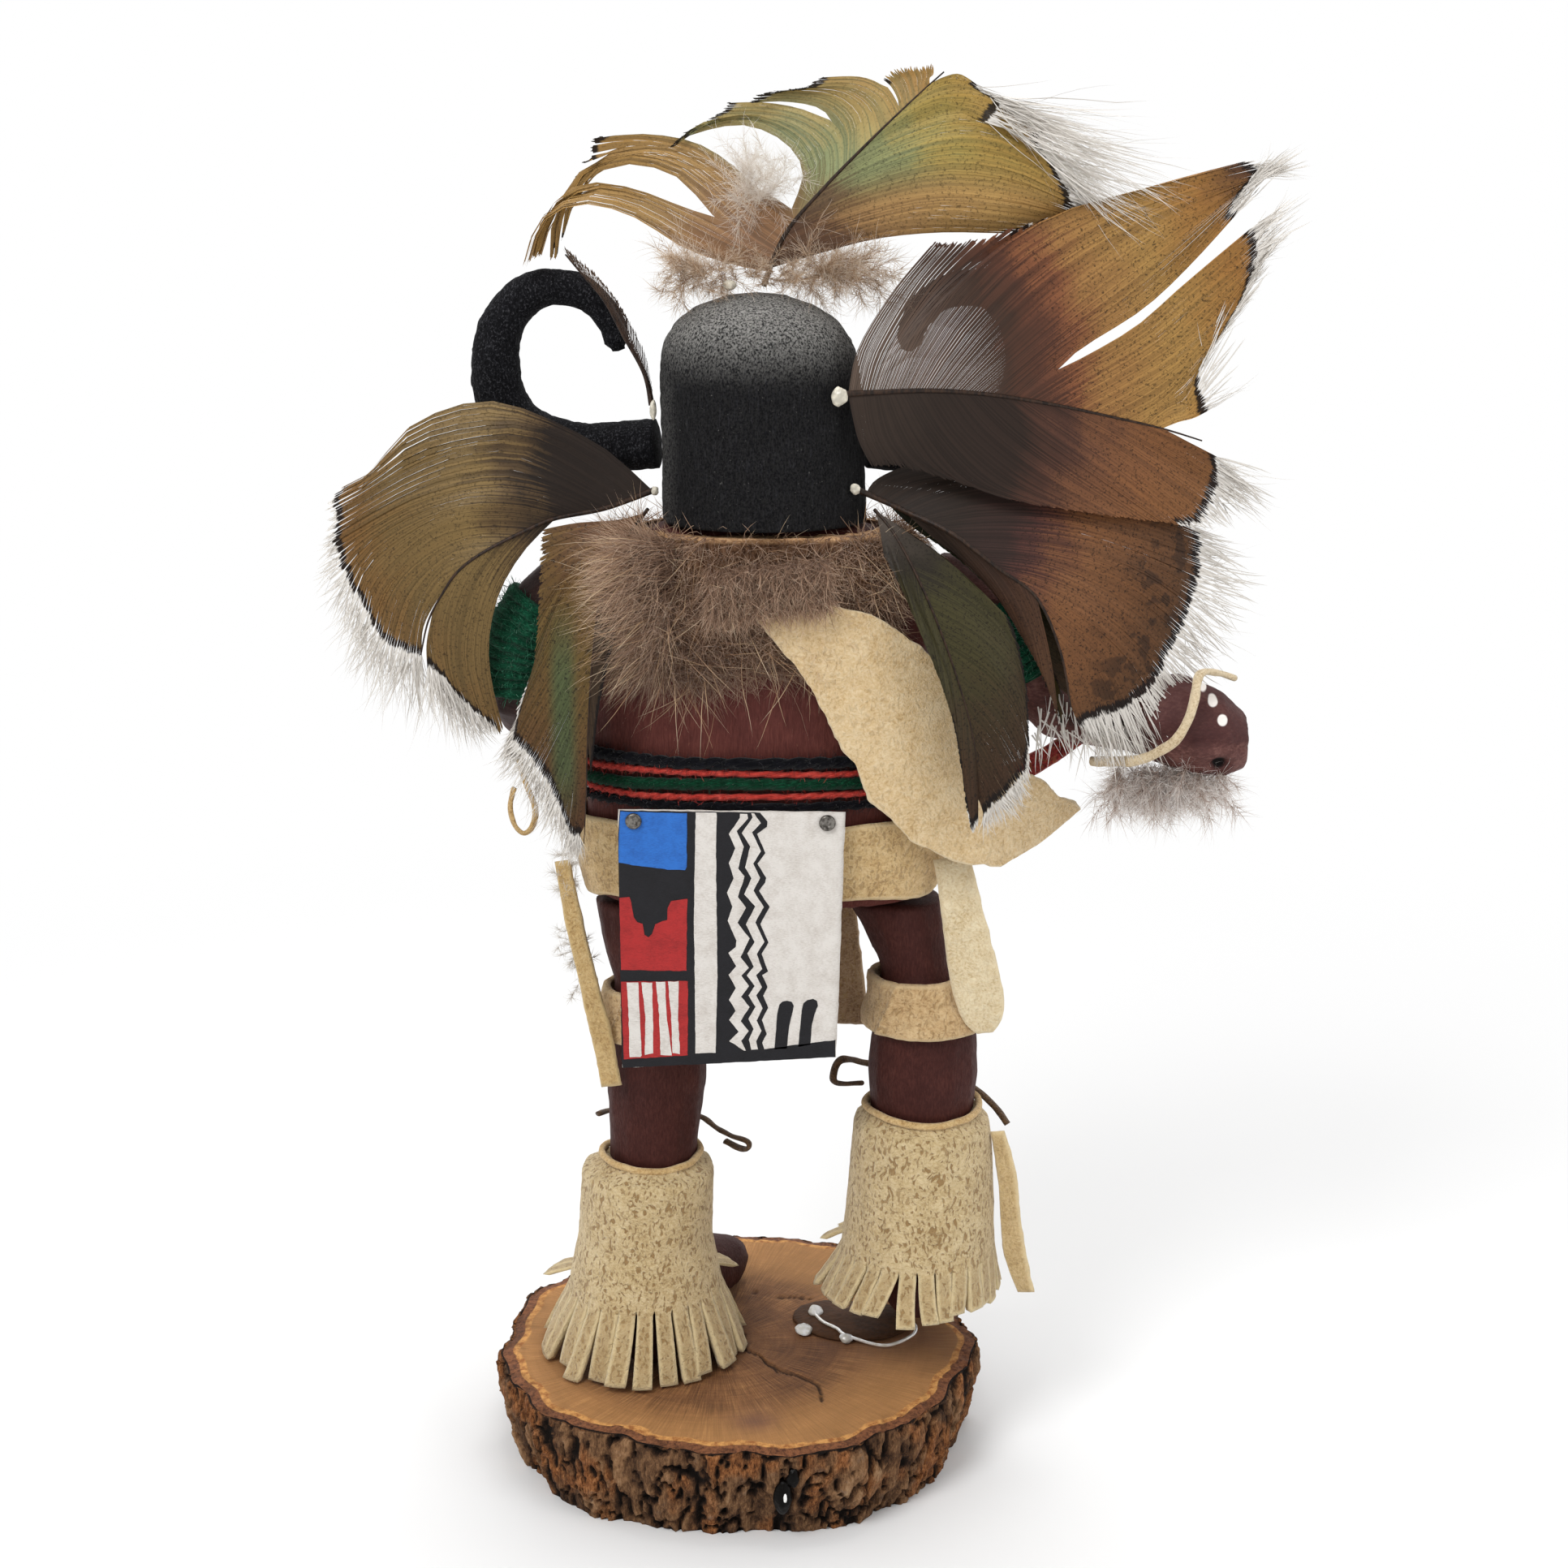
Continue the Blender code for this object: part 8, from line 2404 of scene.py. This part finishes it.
def down_tuft(rng, name, slot, centre, spread, heading, count, length, width, material, curl=0.5,
              fan=0.7, fall=0.0):
    """A puff of down: short stems with many fine curly barbs."""
    stems = max(count // BARBS_A_STEM, 1)
    roots = np.array(centre) + np.clip(rng.normal(0, 0.45, (stems, 3)), -0.75, 0.75) * np.array(spread)
    start = unit(np.array(heading) + rng.normal(0, fan, (stems, 3)))
    stem_paths, _, _ = grow_hair(roots, start, rng.uniform(*length, stems), 0.1, 9, rng, fall, 0.3, 4.0)
    which = np.repeat(np.arange(stems), BARBS_A_STEM)
    at = rng.uniform(0.0, 8.0, len(which))
    low = np.clip(at.astype(int), 0, 7)
    here, after = stem_paths[which, low], stem_paths[which, low + 1]
    mix = (at - low)[:, None]
    out = unit(unit(after - here) * 0.9 + rng.normal(0, 0.6, (len(which), 3)))
    reach = rng.uniform(0.3, 0.8, len(which)) * np.mean(length)
    made = grow_hair(here * (1 - mix) + after * mix, out, reach, width * 1.1, 4, rng, fall, curl * 1.1, 3.4)
    return dress(hair_mesh(name, made, material, rng), slot)


def build_down():
    rng = np.random.default_rng(41)
    finishes = {name: hair_material(name, *tones) for name, tones in DOWN_TONES.items()}
    for name, node, centre, spread, heading, count, length, width, finish, *more in TUFTS:
        piece = down_tuft(rng, name, node, centre, spread, heading, count, length, width,
                          finishes[finish], *more)
        if name in STANDS_FOR:
            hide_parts(STANDS_FOR[name])
    # White quill ends that stick out over the forearm
    roots = np.stack([rng.uniform(low, high, STRAWS) for low,
                      high in ((47, 60), (-13, -8), (126, 133))], axis=1)
    start = np.stack([rng.normal(aim, blur, STRAWS) for aim,
                      blur in ((0.15, 0.3), (-0.1, 0.2), (-0.9, 0.25))], axis=1)
    made = grow_hair(roots, start, rng.uniform(4, 9, STRAWS), 0.28, 7, rng, 0.02, 0.12, 5.0)
    dress(hair_mesh("forearm_straws", made, finishes["white_wisps"], rng), "feather_right_under")


# Glue

# Colour, share of light that passes, roughness and gloss
GLUES = {
    "milky_glue": ((206, 200, 184), 0.25),
    "clear_glue": ((232, 228, 216), 0.45, 0.15),
    "brown_glue": ((60, 38, 22), 0.0, 0.6, 0.12),
    "resin_drop": ((5, 3, 2), 0.0, 0.35, 0.1),
    "resin_glint": ((236, 234, 230), 0.0, 0.3),
}
BLOBS = (
    ("glue_right_upper", "feather_right_upper", (16.2, -15.0, 179.7), (1.25, 1.0, 1.45), "milky_glue"),
    ("glue_right_middle", "feather_right_middle", (18.9, -11.4, 165.2), (0.8, 0.8, 0.8), "milky_glue"),
    ("glue_left_middle", "feather_left_middle", (-12.4, -7.4, 164.4), (0.6, 0.7, 0.7), "milky_glue"),
    ("glue_left_upper", "feather_left_upper", (-12.7, -4.8, 176.8), (0.55, 0.7, 1.5), "milky_glue"),
    ("glue_crown", "crown_down", (-0.6, -5.0, 195.9), (1.1, 0.9, 0.8), "milky_glue"),
    ("glue_puddle_pool", "glue_puddle", (20.0, 5.0, 16.45), (10.5, 7.5, 0.9), "brown_glue"),
    ("glue_bit_far", "glue_puddle", (13.4, 7.0, 17.1), (1.3, 2.0, 0.7), "clear_glue"),
    ("glue_bit_near", "glue_puddle", (18.6, -3.0, 16.9), (1.2, 1.0, 0.8), "clear_glue"),
    ("glue_bit_edge", "glue_puddle", (11.2, 1.0, 16.7), (1.5, 2.2, 0.5), "clear_glue"),
    ("bark_resin", "base_slice", (7.6, -40.3, 8.6), (1.5, 1.2, 2.9), "resin_drop"),
    ("bark_resin_drip", "base_slice", (9.2, -40.4, 11.8), (1.1, 0.9, 1.7), "resin_drop"),
    ("bark_resin_glint", "base_slice", (8.0, -41.6, 8.9), (0.28, 0.22, 0.75), "resin_glint"),
)
GLUE_THREAD = ((13.0, 6.4, 17.2), (14.6, 2.6, 17.3), (17.0, 0.0, 17.3), (18.8, -2.6, 17.2),
               (25.1, -5.6, 16.9),
               (30.0, -2.0, 16.9), (30.8, 1.8, 17.0), (28.6, 3.4, 17.1))
BLOB_ROWS = 18
BLOB_AROUND = 28


def blob(name, slot, centre, size, material, seed):
    """A lump of set glue, uneven and closed."""
    polar = np.linspace(0, math.pi, BLOB_ROWS + 2)[1:-1, None]
    rings = circle(round_angles(BLOB_AROUND), np.sin(polar), np.cos(polar))
    points = np.concatenate((rings.reshape(-1, 3), [(0, 0, 1.0), (0, 0, -1.0)]))
    lump = 1 + 0.24 * fractal(points * 3, 2.0, 2, seed)
    verts = np.array(centre) + points * lump[:, None] * np.array(size)
    faces = [grid_faces(BLOB_ROWS, BLOB_AROUND, wrap_columns=True)[:, ::-1],
             end_fans(BLOB_ROWS, BLOB_AROUND)]
    return dress(make_mesh(name, verts, faces, material), slot)


def build_glue():
    finishes = {name: glue_material(name, *settings) for name, settings in GLUES.items()}
    for k, (name, slot, centre, size, finish) in enumerate(BLOBS):
        piece = blob(name, slot, centre, size, finishes[finish], k + 1)
        if name == "glue_puddle_pool":
            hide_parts("glue_puddle")
        elif name == "glue_bit_edge":
            thread = tube("glue_thread", curve(GLUE_THREAD, 90), 0.28, 8, finishes["clear_glue"])
            dress(thread, "glue_puddle")


# Stage

WORLD_NEAR = 0.6
FLOOR_RADIUS = 3000
FLOOR_SIDES = 96
LAMPS = (
    ("key", (-320, -480, 680), (0, 0, 120), 340, 3.4),
    ("fill", (520, -420, 380), (0, 0, 110), 420, 0.9),
    ("top", (60, 160, 760), (0, 0, 120), 360, 1.6),
)


def build_world(scene):
    """White beyond the figure, a little darker on the side that the photograph is taken from."""
    world = bpy.data.worlds.new("studio")
    scene.world = world
    world.use_nodes = True
    tree = world.node_tree
    backdrop = tree.nodes["Background"]
    where = tree.nodes.new("ShaderNodeTexCoord")
    split = tree.nodes.new("ShaderNodeSeparateXYZ")
    tree.links.new(where.outputs["Generated"], split.inputs[0])
    level = tree.nodes.new("ShaderNodeMapRange")
    level.interpolation_type = "SMOOTHSTEP"
    for socket, value in ((1, -0.5), (2, 0.4), (3, WORLD_NEAR), (4, 1.0)):
        level.inputs[socket].default_value = value
    tree.links.new(split.outputs[1], level.inputs[0])
    tree.links.new(level.outputs[0], backdrop.inputs[1])
    backdrop.inputs[0].default_value = (1.0, 1.0, 1.0, 1.0)


def build_floor():
    """A pale floor that takes shadows near the figure and glows white further out."""
    s = Shader("floor")
    distance = s.add("ShaderNodeVectorMath", {0: s.place}, output=1, operation="LENGTH")
    far = s.band(distance, 90.0, 420.0)
    s.finish(s.ramp(far, ((0.0, (232, 232, 232)), (1.0, (0, 0, 0)))), 1.0, Specular_IOR_Level=0.0)
    s.join(s.ramp(far, ((0.0, (0, 0, 0)), (1.0, (255, 255, 255)))), s.surface.inputs["Emission Color"])
    s.surface.inputs["Emission Strength"].default_value = 1.0
    ring = circle(round_angles(FLOOR_SIDES), FLOOR_RADIUS, 0.0)
    j = np.arange(FLOOR_SIDES)
    faces = np.stack((j, (j + 1) % FLOOR_SIDES, np.full(FLOOR_SIDES, FLOOR_SIDES)), axis=1)
    verts = np.concatenate((ring, [(0, 0, 0)])) - (0, 0, 0.02)
    make_mesh("floor", verts, [faces], s.material, smooth=False)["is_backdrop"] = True


def build_stage():
    """A pale floor, soft lights and the camera at the photograph's place."""
    scene = bpy.context.scene
    scene.view_settings.view_transform = "Standard"
    build_world(scene)
    build_floor()
    for name, place, aim, size, power in LAMPS:
        lamp = bpy.data.lights.new(name, "AREA")
        lamp.shape = "DISK"
        lamp.size = size * MM
        lamp.energy = power
        holder = bpy.data.objects.new(name, lamp)
        holder.location = [v * MM for v in place]
        holder.rotation_euler = (Vector(aim) - Vector(place)).to_track_quat("-Z", "Y").to_euler()
        scene.collection.objects.link(holder)

    camera = bpy.data.cameras.new("camera")
    camera.lens = CAMERA_LENS
    camera.sensor_width = 36.0
    camera.clip_start = 0.01
    camera.clip_end = 20.0
    seat = bpy.data.objects.new("camera", camera)
    seat.location = [v * MM for v in CAMERA_AT]
    seat.rotation_euler = (math.radians(90 - CAMERA_PITCH), 0, 0)
    scene.collection.objects.link(seat)
    scene.camera = seat


def main():
    build_stage()
    build_slice()
    build_mask()
    build_horns()
    build_carving()
    build_feathers()
    build_collar()
    build_belt()
    build_arm_yarn()
    build_panel()
    build_pins()
    build_sash()
    build_strips()
    build_flap()
    build_wrap()
    build_knee_bands()
    build_boots()
    build_thongs()
    build_down()
    build_glue()


main()
sizes = {"cad_box": CAD_BOX, "visual_box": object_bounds()}
{key: [list(map(float, corner)) for corner in box] for key, box in sizes.items()}
